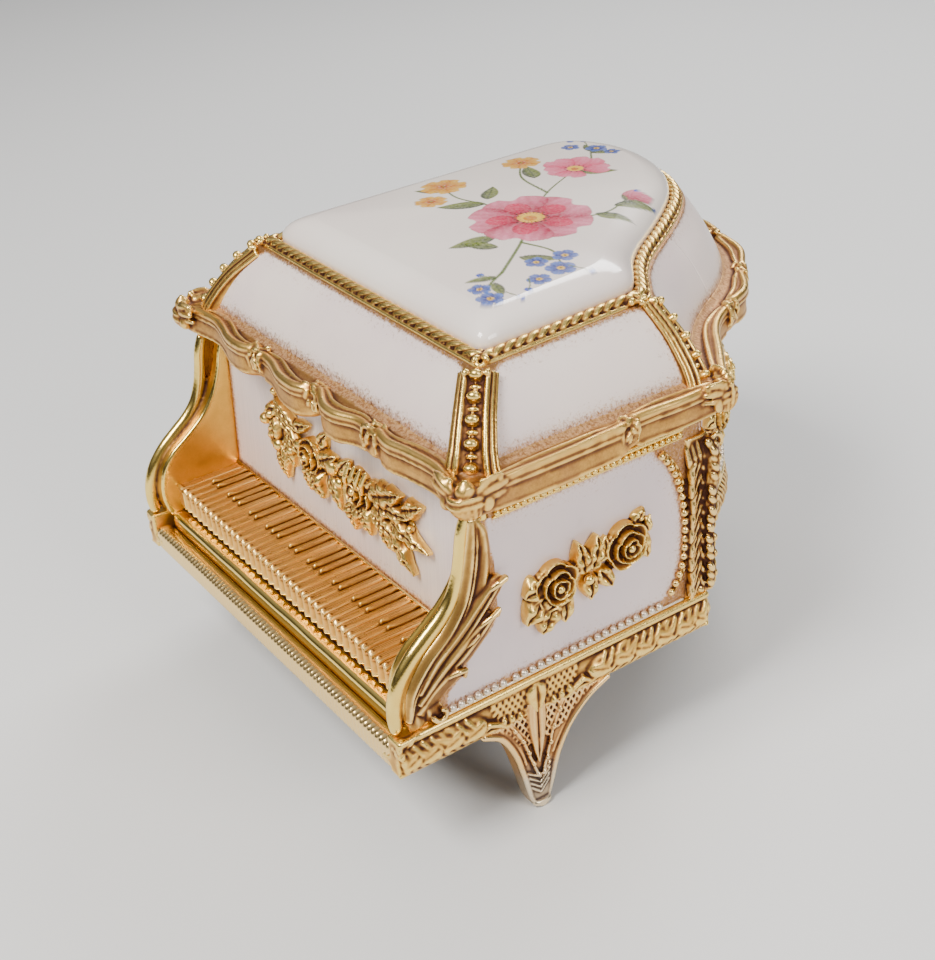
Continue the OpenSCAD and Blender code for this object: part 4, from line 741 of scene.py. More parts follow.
def build_rim():
    m = MB()
    zr = Z3 + 6.0
    # section of the frame, offset and height
    prof = [(-9, Z3 + 0.25), (-7.4, Z3 + 0.15), (-5.8, Z3 + 0.02), (-3.4, Z3 + 0.02), (-1.3, Z3 + 0.05), (-0.5, Z3 + 0.45), (-0.05, Z3 + 1.1), (0.0, Z3 + 2.0),
            (-0.05, Z3 + 3.2), (-0.15, Z3 + 4.4), (-0.1, Z3 + 5.3), (-0.6, Z3 + 6.0), (-1.6, Z3 + 6.2), (-2.6, Z3 + 6.1), (-3.6, Z3 + 6.3), (-4.6, Z3 + 6.7), (-5.3, Z3 + 7.2),
            (-6.4, Z3 + 7.0), (-6.6, Z3 + 5.0), (-6.6, Z3 + 3.2), (-6.7, Z3 + 1.5), (-7.4, Z3 + 1.35), (-9, Z3 + 1.3)]
    w = np.concatenate(WAVE)
    nn = np.concatenate(RIM_N)
    s_all = np.concatenate(RIM.s)
    low = np.zeros(len(w))
    G = np.zeros((len(w), len(prof), 3))
    for j, (o, z) in enumerate(prof):
        P = loop_at(o)
        k = smoothstep(-5.6, -1.2, o)
        P = P + nn * (w * k)[:, None]
        zz = z - (0.45 * np.maximum(w, -0.4) * (1 - smoothstep(Z3 + 0.5, Z3 + 3.4, z)) * k)
        G[:, j, :2] = P; G[:, j, 2] = zz
    m.grid(G, cu=True, cv=True)
    # hairpin scrolls: a bold outer roll and a thin inner ridge joined round the volute
    for k, a, b, hook in SEG:
        L = b - a
        d0, d1 = (b, a) if hook else (a, b)     # the U turn sits at d0
        t = np.linspace(0, 1, 44)
        sgn = 1 if d1 > d0 else -1
        width = 0.9 + 1.35 * np.sin(pi * np.clip(t * 0.93 + 0.05, 0, 1)) ** 0.9
        dd = d0 + (d1 - d0) * t
        o_out = -0.75 + 0.25 * np.sin(pi * t); o_in = o_out - width
        outer = RIM.at(k, dd, o_out, zr + 0.35 - 0.25 * t)
        inner = RIM.at(k, dd, o_in, zr + 0.28 + 0.16 * width)
        th = np.linspace(-pi / 2, pi / 2, 9)[1:-1]
        r0 = (o_out[0] - o_in[0]) / 2
        uturn = RIM.at(k, d0 - sgn * np.cos(th) * r0 * 1.4, (o_out[0] + o_in[0]) / 2 + np.sin(th) * r0, zr + 0.4)
        path = np.concatenate([inner[::-1], uturn, outer])
        rr = np.concatenate([0.42 + 0.22 * (1 - t[::-1]) ** 2, np.linspace(0.66, 1.0, 7), 1.08 - 0.15 * t])
        tube(m, path, rr, 10)
        tube(m, RIM.at(k, dd, (o_out + o_in) / 2 - 0.1, zr + 0.12), 0.5 + 0.12 * np.sin(pi * t), 8)
        # lower bead of the roll and the arris under it
        tube(m, RIM.at(k, dd, o_out + 0.62, zr - 1.1), 0.30 + 0.12 * np.sin(pi * t), 8)
        tube(m, RIM.at(k, np.linspace(a + 1, b - 1, 30), -0.25, Z3 + 0.75 - 0.3 * np.sin(pi * np.linspace(0, 1, 30))), 0.42, 8)
        # little curl where the roll starts
        ellipsoid(m, RIM.at(k, d0 + sgn * 0.4, -1.5, zr + 0.45)[0], (1.0, 0.9, 0.75), n=12)
    # crumpled leaf knuckles
    for q, (k, d, g) in enumerate(KNUCKLE):
        n = RIM.normal(k, d); tdir = np.array([-n[1], n[0], 0.0])
        c = RIM.at(k, d, 0.0, zr)[0]
        for i in range(11):
            h1, h2, h3 = hashn(q, i), hashn(q + 40, i), hashn(q + 90, i)
            p = c + tdir * (h1 * 2.1 * g) + n * (0.1 - abs(h2) * 2.9 * g) + np.array([0, 0, 0.75 + 0.45 * h3])
            A = basis(np.array([0, 0, 1.0]) + n * 0.6 * h3, tdir + n * h2 * 0.9)
            ellipsoid(m, p, (1.15 * g, 0.55 * g, 0.5 * g + 0.15), A, n=9)
        for i in range(8):
            h1, h2 = hashn(q + 7, i), hashn(q + 11, i)
            p = c + tdir * (h1 * 1.9 * g) + n * (0.28 + 0.22 * abs(h2)) + np.array([0, 0, -0.3 - 2.9 * g * (i / 7)])
            ellipsoid(m, p, (0.5 * g, 0.95 * g, 0.6 * g), basis(n + tdir * h2 * 0.4, tdir + np.array([0, 0, h1])), n=9)
        for sd in (-1, 1):
            tube(m, [c + tdir * sd * 2.3 * g + n * 0.2 + np.array([0, 0, 0.7]), c + tdir * sd * 2.5 * g + n * 0.6 + np.array([0, 0, -1.4]), c + tdir * sd * 2.2 * g + n * 0.35 + np.array([0, 0, -3.6])], [0.45, 0.5, 0.4], 8)
    # shells on the corners
    yr = ycor(0, 0)
    for cx, cy, n, g in ((HW, YL, (1, -1), 1.0), (-HW, YL, (-1, -1), 0.95), (HW, yr, (1, 0.85), 0.8)):
        n = unit(np.array([n[0], n[1], 0.0])); tdir = np.array([-n[1], n[0], 0.0]); up = np.array([0, 0, 1.0])
        c = np.array([cx, cy, Z3 + 3.4]) - n * 2.6 * g
        # domed boss standing in a cuff, over a tapering bracket
        ellipsoid(m, c + n * 1.7 * g + up * 2.5, (1.95 * g, 1.95 * g, 2.1), n=18)
        ellipsoid(m, c + n * 1.7 * g + up * 4.5, (0.7 * g, 0.7 * g, 0.55), n=10)
        ta = np.linspace(-1.9, 1.9, 30)
        for rr_, zz_, tk in ((2.75, 1.5, 0.62), (3.05, 0.2, 0.5)):
            tube(m, c[None] + n[None] * (1.1 + rr_ * np.cos(ta))[:, None] * g + tdir[None] * (rr_ * np.sin(ta) * 1.15)[:, None] * g + up[None] * (zz_ - 0.35 * np.abs(ta))[:, None], tk, 8)
        ellipsoid(m, c + n * 1.3 * g - up * 0.6, (3.1 * g, 3.3 * g, 2.2), n=18)
        for q in range(-3, 4):
            an = q * 0.42; o = n * math.cos(an) + tdir * math.sin(an)
            tube(m, [c + n * 0.9 * g + o * 2.5 * g + up * 1.2, c + n * 0.9 * g + o * 3.1 * g - up * 0.6, c + n * 0.6 * g + o * 2.3 * g - up * 2.5], [0.5, 0.62, 0.4], 8)
        for sd in (-1, 1):
            # fluted wing: three fingers sweeping back from the boss along the rim
            r0 = c + n * 1.6 * g + tdir * sd * 1.9 * g + up * 1.4
            for q, (dz, ln, wd, lf) in enumerate(((2.6, 5.0, 1.05, 0.7), (0.9, 5.9, 1.0, 0.2), (-1.0, 5.2, 0.85, -0.3))):
                end = c + tdir * sd * (1.9 + ln) * g * 0.88 - n * (2.5 + 0.25 * q) * g + up * (1.5 + dz)
                mid_ = (r0 + end) / 2 + n * (0.7 + lf * 0.3) + up * (0.35 * dz)
                cc = catmull([r0, mid_, end], 7); tube(m, cc, wd * g * np.interp(np.linspace(0, 1, len(cc)), [0, 0.4, 0.75, 1], [0.7, 1.0, 0.95, 0.55]), 10)
            ellipsoid(m, c + tdir * sd * 5.6 * g - n * 1.9 + up * 3.3, (1.2 * g, 1.0 * g, 1.1), n=12)
            ellipsoid(m, c + tdir * sd * 3.2 * g + n * 0.5 + up * 3.9, (1.0 * g, 0.9 * g, 0.9), n=11)
            ellipsoid(m, c + tdir * sd * 3.8 * g + n * 0.2 - up * 0.6, (1.6 * g, 1.4 * g, 1.6), n=12)
    o = cast("lid_rim_casting", m, GOLD_SOFT, voxel=0.30, soft=1, k=4.2, kb=0.7)
    # the proudest ornament is rubbed flat where it would stand outside the overall size
    V = coords(o.data); X = np.abs(V[:, 0]); mx, my = max(X.max(), 60.2), max(V[:, 1].max(), 68.9)
    V[:, 0] = np.where(X > 59.8, np.sign(V[:, 0]) * (59.8 + (X - 59.8) * (60.17 - 59.8) / (mx - 59.8)), V[:, 0])
    V[:, 1] = np.where(V[:, 1] > 68.3, 68.3 + (V[:, 1] - 68.3) * (68.95 - 68.3) / (my - 68.3), V[:, 1])
    V[:, 1] = np.maximum(V[:, 1], -69.95); set_coords(o.data, V)
    # where the spray gun's edge fell, between the scrolls and the panels
    from mathutils import kdtree
    L = resample(loop_at(-4.9), ds=0.5, closed=True); kd = kdtree.KDTree(len(L))
    for i, q in enumerate(L): kd.insert((q[0], q[1], 0), i)
    kd.balance(); V = coords(o.data); up_ = np.where(V[:, 2] > Z3 + 5.3)[0]; pan = np.zeros(len(V))
    pan[up_] = [kd.find((V[i, 0], V[i, 1], 0))[2] for i in up_]
    pan[up_] = 1 - smoothstep(0.9, 2.5, pan[up_])
    set_attr(o.data, "pan", pan)
    return o

def slope(v):
    """Offset and height on the outer face of the sloping panels, v from 0 at the rim to 1 at the rope."""
    c = catmull([(-4.6, ZP - 0.3), (-5.0, ZP + 1.6), (-6.4, ZP + 4.9), (-10, ZP + 10.5), (-15.2, ZT + 0.1)], 12)
    s = np.concatenate([[0], np.cumsum(np.linalg.norm(np.diff(c, axis=0), axis=1))]); s /= s[-1]
    return np.interp(v, s, c[:, 0]), np.interp(v, s, c[:, 1])
SLOPE_LEN = 23.0

def build_panel(name, k, node, gaps, mat):
    """One sloping panel; gaps are the gilt widths at the start and end of its run, at the rim and at the rope."""
    nv = 44
    v = np.linspace(0, 1, nv); o, z = slope(v)
    n = NP[k]
    G = np.zeros((n, nv + 6, 3)); L = np.zeros((n, nv))
    runs = []
    for j in range(nv):
        p = run_points(o[j], o[j], YL - o[j])[k]; runs.append(p)
        G[:, j, :2] = p; G[:, j, 2] = z[j]
        L[:, j] = np.concatenate([[0], np.cumsum(np.linalg.norm(np.diff(p, axis=0), axis=1))])
    inner = [(-16.3, ZT - 0.1), (-11.4, ZP + 9.6), (-8.0, ZP + 4.9), (-6.9, ZP + 0.6), (-6.7, ZP - 0.3), (-5.4, ZP - 0.35)]
    for j, (oo, zz) in enumerate(inner):
        p = run_points(oo, oo, YL - oo)[k]; G[:, nv + j, :2] = p; G[:, nv + j, 2] = zz
    # distance to the gilt edge, with rounded corners
    V = np.broadcast_to(v[None], L.shape)
    tot = L[-1:]
    g0 = gaps[0] * (1 - V) + gaps[1] * V; g1 = gaps[2] * (1 - V) + gaps[3] * V
    a = L - g0; b = (tot - L) - g1
    c = V * SLOPE_LEN - 2.7; d = (1 - V) * SLOPE_LEN - 0.25
    x = np.minimum(a, b) if gaps[0] >= 0 and gaps[2] >= 0 else (a if gaps[2] < 0 and gaps[0] >= 0 else (b if gaps[0] < 0 and gaps[2] >= 0 else np.full(L.shape, 99.0)))
    x = x + 0.6; R = 3.4
    sd = np.where((x < R) & (d < R), R - np.hypot(R - x, R - d), np.minimum(x, d))
    overspray_and_shade = 1 - smoothstep(-0.2, 1.5, sd)
    # next to the rim the overspray value climbs to 0.98, which also darkens this band as painted shade where the panel
    # meets the rim
    overspray_and_shade = np.maximum(overspray_and_shade, 0.98 * (1 - smoothstep(-2.2, 4.6, c)) ** 1.1)
    overspray_and_shade = np.maximum(overspray_and_shade, 0.12 * (1 - smoothstep(1.0, 4.5, np.minimum(sd, c))))
    G[:, :nv] = G[:, :nv]
    m = MB(); m.grid(G, cv=True, cap=True)
    ob = shell(name, m, mat, k=3)
    full = np.ones((n, nv + 6)); full[:, :nv] = overspray_and_shade
    vals = np.concatenate([full.ravel(), [1, 1]])
    set_attr(ob.data, "overspray_and_shade", vals)
    place(ob, "lid", node)
    return ob

def rib(m, k, at_end, g=1.0, sides=(-1, 1), beads=5):
    """A beaded corner rib on the mitre at the start or end of a run."""
    v = np.linspace(0.0, 1.0, 30); o, z = slope(v)
    P = np.zeros((30, 3))
    for j in range(30):
        p = run_points(o[j], o[j], YL - o[j])[k][-1 if at_end else 0]; P[j] = (*p, z[j])
    out = RIM.normal(k, RIM.len[k] if at_end else 0)
    k2 = (k + 1) % 5 if at_end else (k - 1) % 5
    out2 = RIM.normal(k2, 0 if at_end else RIM.len[k2])
    n = unit(out + out2); T = unit(np.gradient(P, axis=0))
    side = unit(np.cross(T, np.broadcast_to(n, T.shape))); nor = unit(np.cross(side, T))
    wide = np.interp(v, [0, 0.12, 0.3, 0.6, 1], [5.6, 4.9, 4.3, 3.9, 3.6]) * g
    # bed of the rib
    prof = [(-1, -3.6), (-1, -1.5), (-0.86, -0.75), (-0.68, -0.1), (-0.56, 0.2), (-0.40, -0.15), (0, -0.35), (0.40, -0.15), (0.56, 0.2), (0.68, -0.1), (0.86, -0.75), (1, -1.5), (1, -3.6)]
    G = np.stack([P + side * (a * wide)[:, None] + nor * b for a, b in prof], 1)
    m.grid(G, cv=True, cap=True)
    for sd in sides:
        tube(m, P + side * (sd * wide * 0.60)[:, None] + nor * 0.0, np.interp(v, [0, 0.8, 1], [0.58, 0.48, 0.58]) * (0.9 + 0.1 * g), 9)
        tube(m, P + side * (sd * wide * 0.86)[:, None] - nor * 0.72, np.interp(v, [0, 0.5, 1], [0.5, 0.34, 0.3]), 8)
        tube(m, P + side * (sd * wide * 1.0)[:, None] - nor * 1.45, 0.40, 7)
        ellipsoid(m, P[-2] + side[-2] * sd * wide[-1] * 0.56 + nor[-2] * 0.5, (0.8, 0.8, 0.7), n=10)
    s = np.concatenate([[0], np.cumsum(np.linalg.norm(np.diff(P, axis=0), axis=1))])
    for i in range(beads):
        d = s[-1] * (0.12 + 0.82 * i / (beads - 1))
        c = np.array([np.interp(d, s, P[:, q]) for q in range(3)]); nn = unit(np.array([np.interp(d, s, nor[:, q]) for q in range(3)]))
        tt = unit(np.array([np.interp(d, s, T[:, q]) for q in range(3)]))
        ellipsoid(m, c + nn * 0.75, (1.05 * g, 1.35 * g, 1.15), basis(nn, tt), n=13)
        ellipsoid(m, c + nn * 0.05, (1.3 * g, 1.55 * g, 0.4), basis(nn, tt), n=12)
        if i + 1 < beads:
            d2 = s[-1] * (0.12 + 0.82 * (i + 0.5) / (beads - 1)); c2 = np.array([np.interp(d2, s, P[:, q]) for q in range(3)])
            ellipsoid(m, c2 + nn * 0.0, (0.55 * g, 1.05 * g, 0.45), basis(nn, tt), n=10)

def build_ribs():
    m = MB()
    rib(m, 0, True); rib(m, 0, False); rib(m, 1, True, 0.86)
    return cast("lid_rib_castings", m, GOLD, voxel=0.24, soft=1)

def border_loop(o, n):
    """The closed line at offset o, as n even points with rounded corners."""
    P = loop_at(o)
    P = resample(P, ds=0.5, closed=True)
    E = np.stack([np.arange(len(P)), (np.arange(len(P)) + 1) % len(P)], 1)
    for _ in range(4): P = 0.5 * P + 0.25 * (np.roll(P, 1, 0) + np.roll(P, -1, 0))
    return resample(P, n=n, closed=True)

def build_rope():
    m = MB()
    n = 1500
    C = border_loop(-17.35, n)
    s = np.linspace(0, np.linalg.norm(np.roll(C, -1, 0) - C, axis=1).sum(), n, endpoint=False)
    L = s[-1] + s[1]
    strands = int(round(L / 2.8))
    P = np.concatenate([C, np.full((n, 1), ZT + 0.95)], 1)
    T, S, U = frames(P, (0, 0, 1), True)
    nt = 26; th = np.linspace(0, 2 * pi, nt, endpoint=False)
    ph = 3 * th[None] / 1.0 * (1 / 3) * 1.0
    arg = (th[None] * 1.0 - 2 * pi * strands / L * s[:, None] / 1.0)
    # three strands to a turn: the visible spacing is one strand
    arg = 1.5 * th[None] - pi * strands / L * s[:, None]
    r = 0.74 + 0.40 * np.abs(np.cos(arg)) ** 0.8
    G = P[:, None] + (r * np.cos(th) * 1.18)[..., None] * S[:, None] + (r * np.sin(th) * 1.0)[..., None] * U[:, None]
    m.grid(G, cu=True, cv=True)
    # seat with thin ridges on each side
    prof = [(-15.4, ZT - 0.6), (-15.4, ZT + 0.25), (-15.8, ZT + 0.4), (-16.4, ZT + 0.3), (-18.2, ZT + 0.4), (-18.9, ZT + 0.75), (-19.2, ZT - 0.0), (-21.4, ZT - 0.05), (-21.4, ZT - 1.2), (-16.5, ZT - 1.2)]
    loops = [np.concatenate([border_loop(o, 900), np.full((900, 1), z)], 1) for o, z in prof]
    m.grid(np.stack(loops, 1), cu=True, cv=True)
    for o, z, r in ((-15.75, ZT + 0.4, 0.36), (-18.85, ZT + 0.5, 0.32)):
        C2_ = border_loop(o, 900)
        tube(m, np.concatenate([C2_, np.full((900, 1), z)], 1), r, 8, closed=True)
    # small leaves where the ribs meet the rope
    for q in ((HW - 16.6, YL + 16.6), (-HW + 16.6, YL + 16.6), (HW - 16.6, ycor(-16.6, -16.6))):
        for a in range(5):
            ang = a * 2 * pi / 5
            ellipsoid(m, np.array([q[0] + 1.5 * math.cos(ang), q[1] + 1.5 * math.sin(ang), ZT + 1.2]), (1.1, 0.75, 0.8), basis((0, 0, 1), (math.cos(ang), math.sin(ang), 0)), n=9)
    return cast("rope_border_casting", m, GOLD, voxel=0.24, soft=1, k=7, kb=2.4)

o = build_rim(); place(o, "lid", "lid_rim")
build_panel("lid_front_enamel", 0, "lid_front_panel", (6.0, 3.9, 6.0, 3.9), ENAMEL)
build_panel("lid_right_enamel", 1, "lid_right_panel", (6.0, 3.9, 5.1, 3.4), ENAMEL)
build_panel("lid_bentside_enamel", 2, "lid_bentside_panel", (5.1, 3.4, -1, -1), ENAMEL)
build_panel("lid_tail_enamel", 3, "lid_tail_panel", (-1, -1, -1, -1), ENAMEL)
build_panel("lid_left_enamel", 4, "lid_left_panel", (-1, -1, 6.0, 3.9), ENAMEL)
o = build_ribs(); place(o, "lid", "lid_corner_ribs")
o = build_rope(); place(o, "lid", "rope_border")

# ---------------------------------------------------------------- case
X3 = lambda y, z, x: np.array([x, y, z], float)
YC = ycor(-3, -5.5)
WALL = run_points(-3, -5.5, -44.6, NP)
WALL_N = part_normals(WALL)

def wall_runs(extra=0.0):
    """Right, bentside, tail and left wall lines with their normals, from the cheek round to the other cheek."""
    return [(WALL[k], WALL_N[k]) for k in (1, 2, 3, 4)]

def wall_panel(name, node, line, nrm, z0, z1, t, ends=(0, 0), mat=None, curve=None, crown=0.0):
    """A wall along a plan line with gilding creeping in from its edges. curve gives the gilt boundary at the end of the run."""
    s = np.concatenate([[0], np.cumsum(np.linalg.norm(np.diff(line, axis=0), axis=1))])
    zz = np.linspace(z0, z1, 54)
    S, Z = np.meshgrid(s, zz, indexing="ij")
    d = np.minimum(Z - z0 - 1.6, z1 - Z - 2.6)
    if ends[0] is not None: d = np.minimum(d, S - ends[0])
    if ends[1] is not None: d = np.minimum(d, (curve(Z) - S) if curve is not None else (s[-1] - S - ends[1]))
    # its top values, near 0.95 beside the mouldings, also darken the edge a little as painted shade
    overspray_and_shade = 0.85 * (1 - smoothstep(-0.3, 1.9, d)) + 0.10 * (1 - smoothstep(1.0, 5.0, d))
    P = np.zeros((len(s), len(zz) + 2, 3))
    bulge = crown * np.sin(pi * np.clip((Z - z0) / (z1 - z0), 0, 1))
    P[:, :len(zz), :2] = line[:, None] + nrm[:, None] * bulge[..., None]
    P[:, :len(zz), 2] = Z
    for j, z in ((len(zz), z1), (len(zz) + 1, z0)): P[:, j, :2] = line - nrm * t; P[:, j, 2] = z
    m = MB(); m.grid(P, cv=True, cap=True)
    o = shell(name, m, mat or ENAMEL_SIDE, k=2)
    full = np.zeros((len(s), len(zz) + 2)); full[:, :len(zz)] = overspray_and_shade
    set_attr(o.data, "overspray_and_shade", np.concatenate([full.ravel(), [0, 0]]))
    return place(o, "case", node)

BEADLINE = np.array([(-4.6, 72.2), (-3.9, 70.9), (-1.3, 67.6), (0.5, 64), (2.2, 57.8), (2.8, 50.5), (2.3, 44.2), (0.8, 39.8), (-1.8, 36.2), (-4.2, 34.9)])

def build_walls():
    right = WALL[1]; keep = right[:, 1] <= YC - 0.9
    c = catmull(BEADLINE, 8)
    o_ = np.argsort(c[:, 1])
    curve = lambda Z: np.interp(Z, c[o_, 1], c[o_, 0]) + 44.6 - 0.2
    r = resample(np.concatenate([right[keep], [[56.0, YC - 0.9]]]), ds=0.8); r = np.concatenate([r[:1], r[:1] + [0, 0.02], r[1:]])
    wall_panel("right_side_enamel", "right_side_panel", r, np.tile([1.0, 0.0], (len(r), 1)), Z1, Z2, 1.6, (None, 0), curve=curve)
    b = resample(WALL[2], ds=0.8); nb = part_normals([b])[0]
    wall_panel("bentside_enamel", "bentside_panel", b[1:], nb[1:], Z1, Z2, 1.6, (7.5, None))
    t = resample(WALL[3], ds=0.9); nt = part_normals([t])[0]
    wall_panel("tail_enamel", "tail_panel", t, nt, Z1, Z2, 1.6, (None, None))
    l = resample(WALL[4], ds=0.9); nl = part_normals([l])[0]
    wall_panel("left_side_enamel", "left_side_panel", l, nl, Z1, Z2, 1.6, (None, None))
    # nameboard, leaning back
    n, k = 126, 46
    X, Z = np.meshgrid(np.linspace(-50.4, 50.4, n), np.linspace(Z0 + 15, Z2, k), indexing="ij")
    Y = YF + 23.4 + 1.9 * np.clip(Z - Z0 - 16.8, 0, None) / (50.5 - 16.8)
    d = np.minimum(np.minimum(X + 50.4, 50.4 - X) - 0.3, Z - Z0 - 17.1)
    overspray_and_shade = 0.8 * (1 - smoothstep(-0.3, 1.7, d)) + 0.12 * (1 - smoothstep(1.0, 4.0, d))
    P = np.zeros((n, k + 2, 3)); P[:, :k] = np.stack([X, Y, Z], -1)
    P[:, k] = np.stack([X[:, -1], Y[:, -1] + 1.9, Z[:, -1]], -1); P[:, k + 1] = np.stack([X[:, 0], Y[:, 0] + 1.8, Z[:, 0]], -1)
    m = MB(); m.grid(P, cv=True, cap=True, flip=True)
    o = shell("nameboard_enamel_face", m, ENAMEL_BOARD, k=2)
    full = np.zeros((n, k + 2)); full[:, :k] = overspray_and_shade
    set_attr(o.data, "overspray_and_shade", np.concatenate([full.ravel(), [0, 0]]))
    place(o, "case", "nameboard")

def beads_on(m, P, N, r, step=None, flat=0.8, n=9, sink=0.25, jitter=0.0):
    """Round beads along a path P whose outward directions are N."""
    s = np.concatenate([[0], np.cumsum(np.linalg.norm(np.diff(P, axis=0), axis=1))])
    k = int(s[-1] // (step or 2.15 * r))
    for i in range(k + 1):
        d = s[-1] * (i + 0.5) / (k + 1)
        c = np.array([np.interp(d, s, P[:, q]) for q in range(3)]); nn = unit(np.array([np.interp(d, s, N[:, q]) for q in range(3)]))
        g = 1 + jitter * hashn(i, r)
        ellipsoid(m, c + nn * (r * (flat - sink)), (r * g, r * g, r * flat * g), basis(nn, (0.02, 0.03, 1)), n=n)

def build_moulding():
    """Bead row under the lid rim, and the pale bead row and fillet at the foot of the walls."""
    top, foot, side = MB(), MB(), MB()
    for k in (1, 2, 3, 4):
        line, nr = WALL[k], WALL_N[k]
        lo, hi = (0, len(line) - 1)
        if k == 1: lo, hi = 2, int(np.searchsorted(line[:, 1], YC - 5.4))
        if k == 2: lo = 12
        if k == 4: hi = len(line) - 4
        L, N = line[lo:hi], nr[lo:hi]
        N3 = np.concatenate([N, np.zeros((len(N), 1))], 1)
        up = lambda o, z: np.concatenate([L + N * o, np.full((len(L), 1), z)], 1)
        tube(top, up(0.25, Z2 - 0.65), 0.62, 8)
        tube(top, up(0.15, Z2 - 2.75), 0.30, 7)
        if k == 4:   # leave the hinges clear
            for y0, y1 in ((46, 32), (12, -10), (-30, -43)):
                q = (L[:, 1] < y0) & (L[:, 1] > y1)
                if q.sum() > 4: beads_on(top, up(0.1, Z2 - 1.75)[q], N3[q], 0.72, 1.55)
        else: beads_on(top, up(0.1, Z2 - 1.75), N3, 0.74, 1.55)
        fb = YC - 2.0
        a, b = (0, len(L)) if k != 1 else (3, int(np.searchsorted(L[:, 1], -3.2)))
        beads_on(foot, up(0.05, Z1 + 1.55)[a:b], N3[a:b], 0.92, 2.12, jitter=0.05)
        tube(foot, up(0.15, Z1 + 0.45), 0.42, 7)
        if k in (1, 4):   # on forward over the cheek to the leaf's foot
            sx = 1 if k == 1 else -1
            F = np.array([[sx * 56.05, y, Z1 + 1.55] for y in np.linspace(-43.6, -57.6, 12)])
            beads_on(foot, F, np.tile([sx * 1.0, 0, 0], (12, 1)), 0.92, 2.12, jitter=0.05)
            tube(foot, F + np.array([sx * 0.1, 0, -1.1]), 0.42, 7)
    c = catmull(BEADLINE[1:-1], 10)
    P = np.stack([np.full(len(c), 56.0), c[:, 0], c[:, 1]], 1)
    beads_on(side, P, np.tile([1.0, 0, 0], (len(P), 1)), 0.92, 2.1)
    tube(side, P + np.array([0.15, 1.25, 0]), 0.4, 8)
    return top, foot, side

def rosehead(m, c, nrm, up, R, H, turn=0.0, nr=64, na=132):
    """A full-blown rose cast as one boss with a steep wall: four rings of cupped petals, each lapping the next."""
    B = basis(nrm, up)
    r = np.linspace(0, 1, nr); a = np.linspace(0, 2 * pi, na, endpoint=False)
    Rr, A = np.meshgrid(r, a, indexing="ij")
    z = np.full(Rr.shape, 0.30 * H)
    for k, (ro_, n_, off, lo, hi, wd) in enumerate(((1.0, 5, 0.0, 0.28, 0.62, 0.30), (0.69, 4, 0.5, 0.42, 0.88, 0.26), (0.40, 3, 0.2, 0.62, 1.02, 0.22))):
        ph = ((A + turn) * n_ / (2 * pi) + off) % 1.0
        e = ro_ * (0.86 + 0.14 * np.sin(pi * ph) ** 0.55 + 0.03 * (ph - 0.5))
        t = np.clip((Rr - e + wd) / wd, 0, 1)
        q = lo + (hi - lo) * t ** 1.7 + 0.13 * (ph - 0.5) * (0.4 + 0.6 * t) - 0.05 * np.exp(-((t - 1) / 0.10) ** 2)
        q = q - 0.16 * np.exp(-(ph / 0.035) ** 2) * t
        z = np.where(Rr <= e, np.maximum(z, q * H), z)
    sp = (Rr * 11.0 - (A + turn) / (2 * pi)) % 1.0
    z = np.where(Rr < 0.17, H * (1.0 - 0.8 * Rr) - 0.10 * H * np.exp(-((sp - 0.5) / 0.2) ** 2), z)
    edge = 0.90 + 0.10 * np.sin(pi * (((A[-1] + turn) * 5 / (2 * pi)) % 1.0)) ** 0.5
    top = np.asarray(c, float) + (R * Rr * np.where(Rr > 0.8, 1 + (edge[None] - 1) * (Rr - 0.8) / 0.2, 1))[..., None] * (np.cos(A)[..., None] * B[0] + np.sin(A)[..., None] * B[1]) + z[..., None] * B[2]
    rim = np.asarray(c, float) + (R * 1.0 * edge)[:, None] * (np.cos(A[-1])[:, None] * B[0] + np.sin(A[-1])[:, None] * B[1]) - 0.8 * B[2]
    return m.grid(np.concatenate([top[1:], rim[None]], 0), cv=True, cap=True)

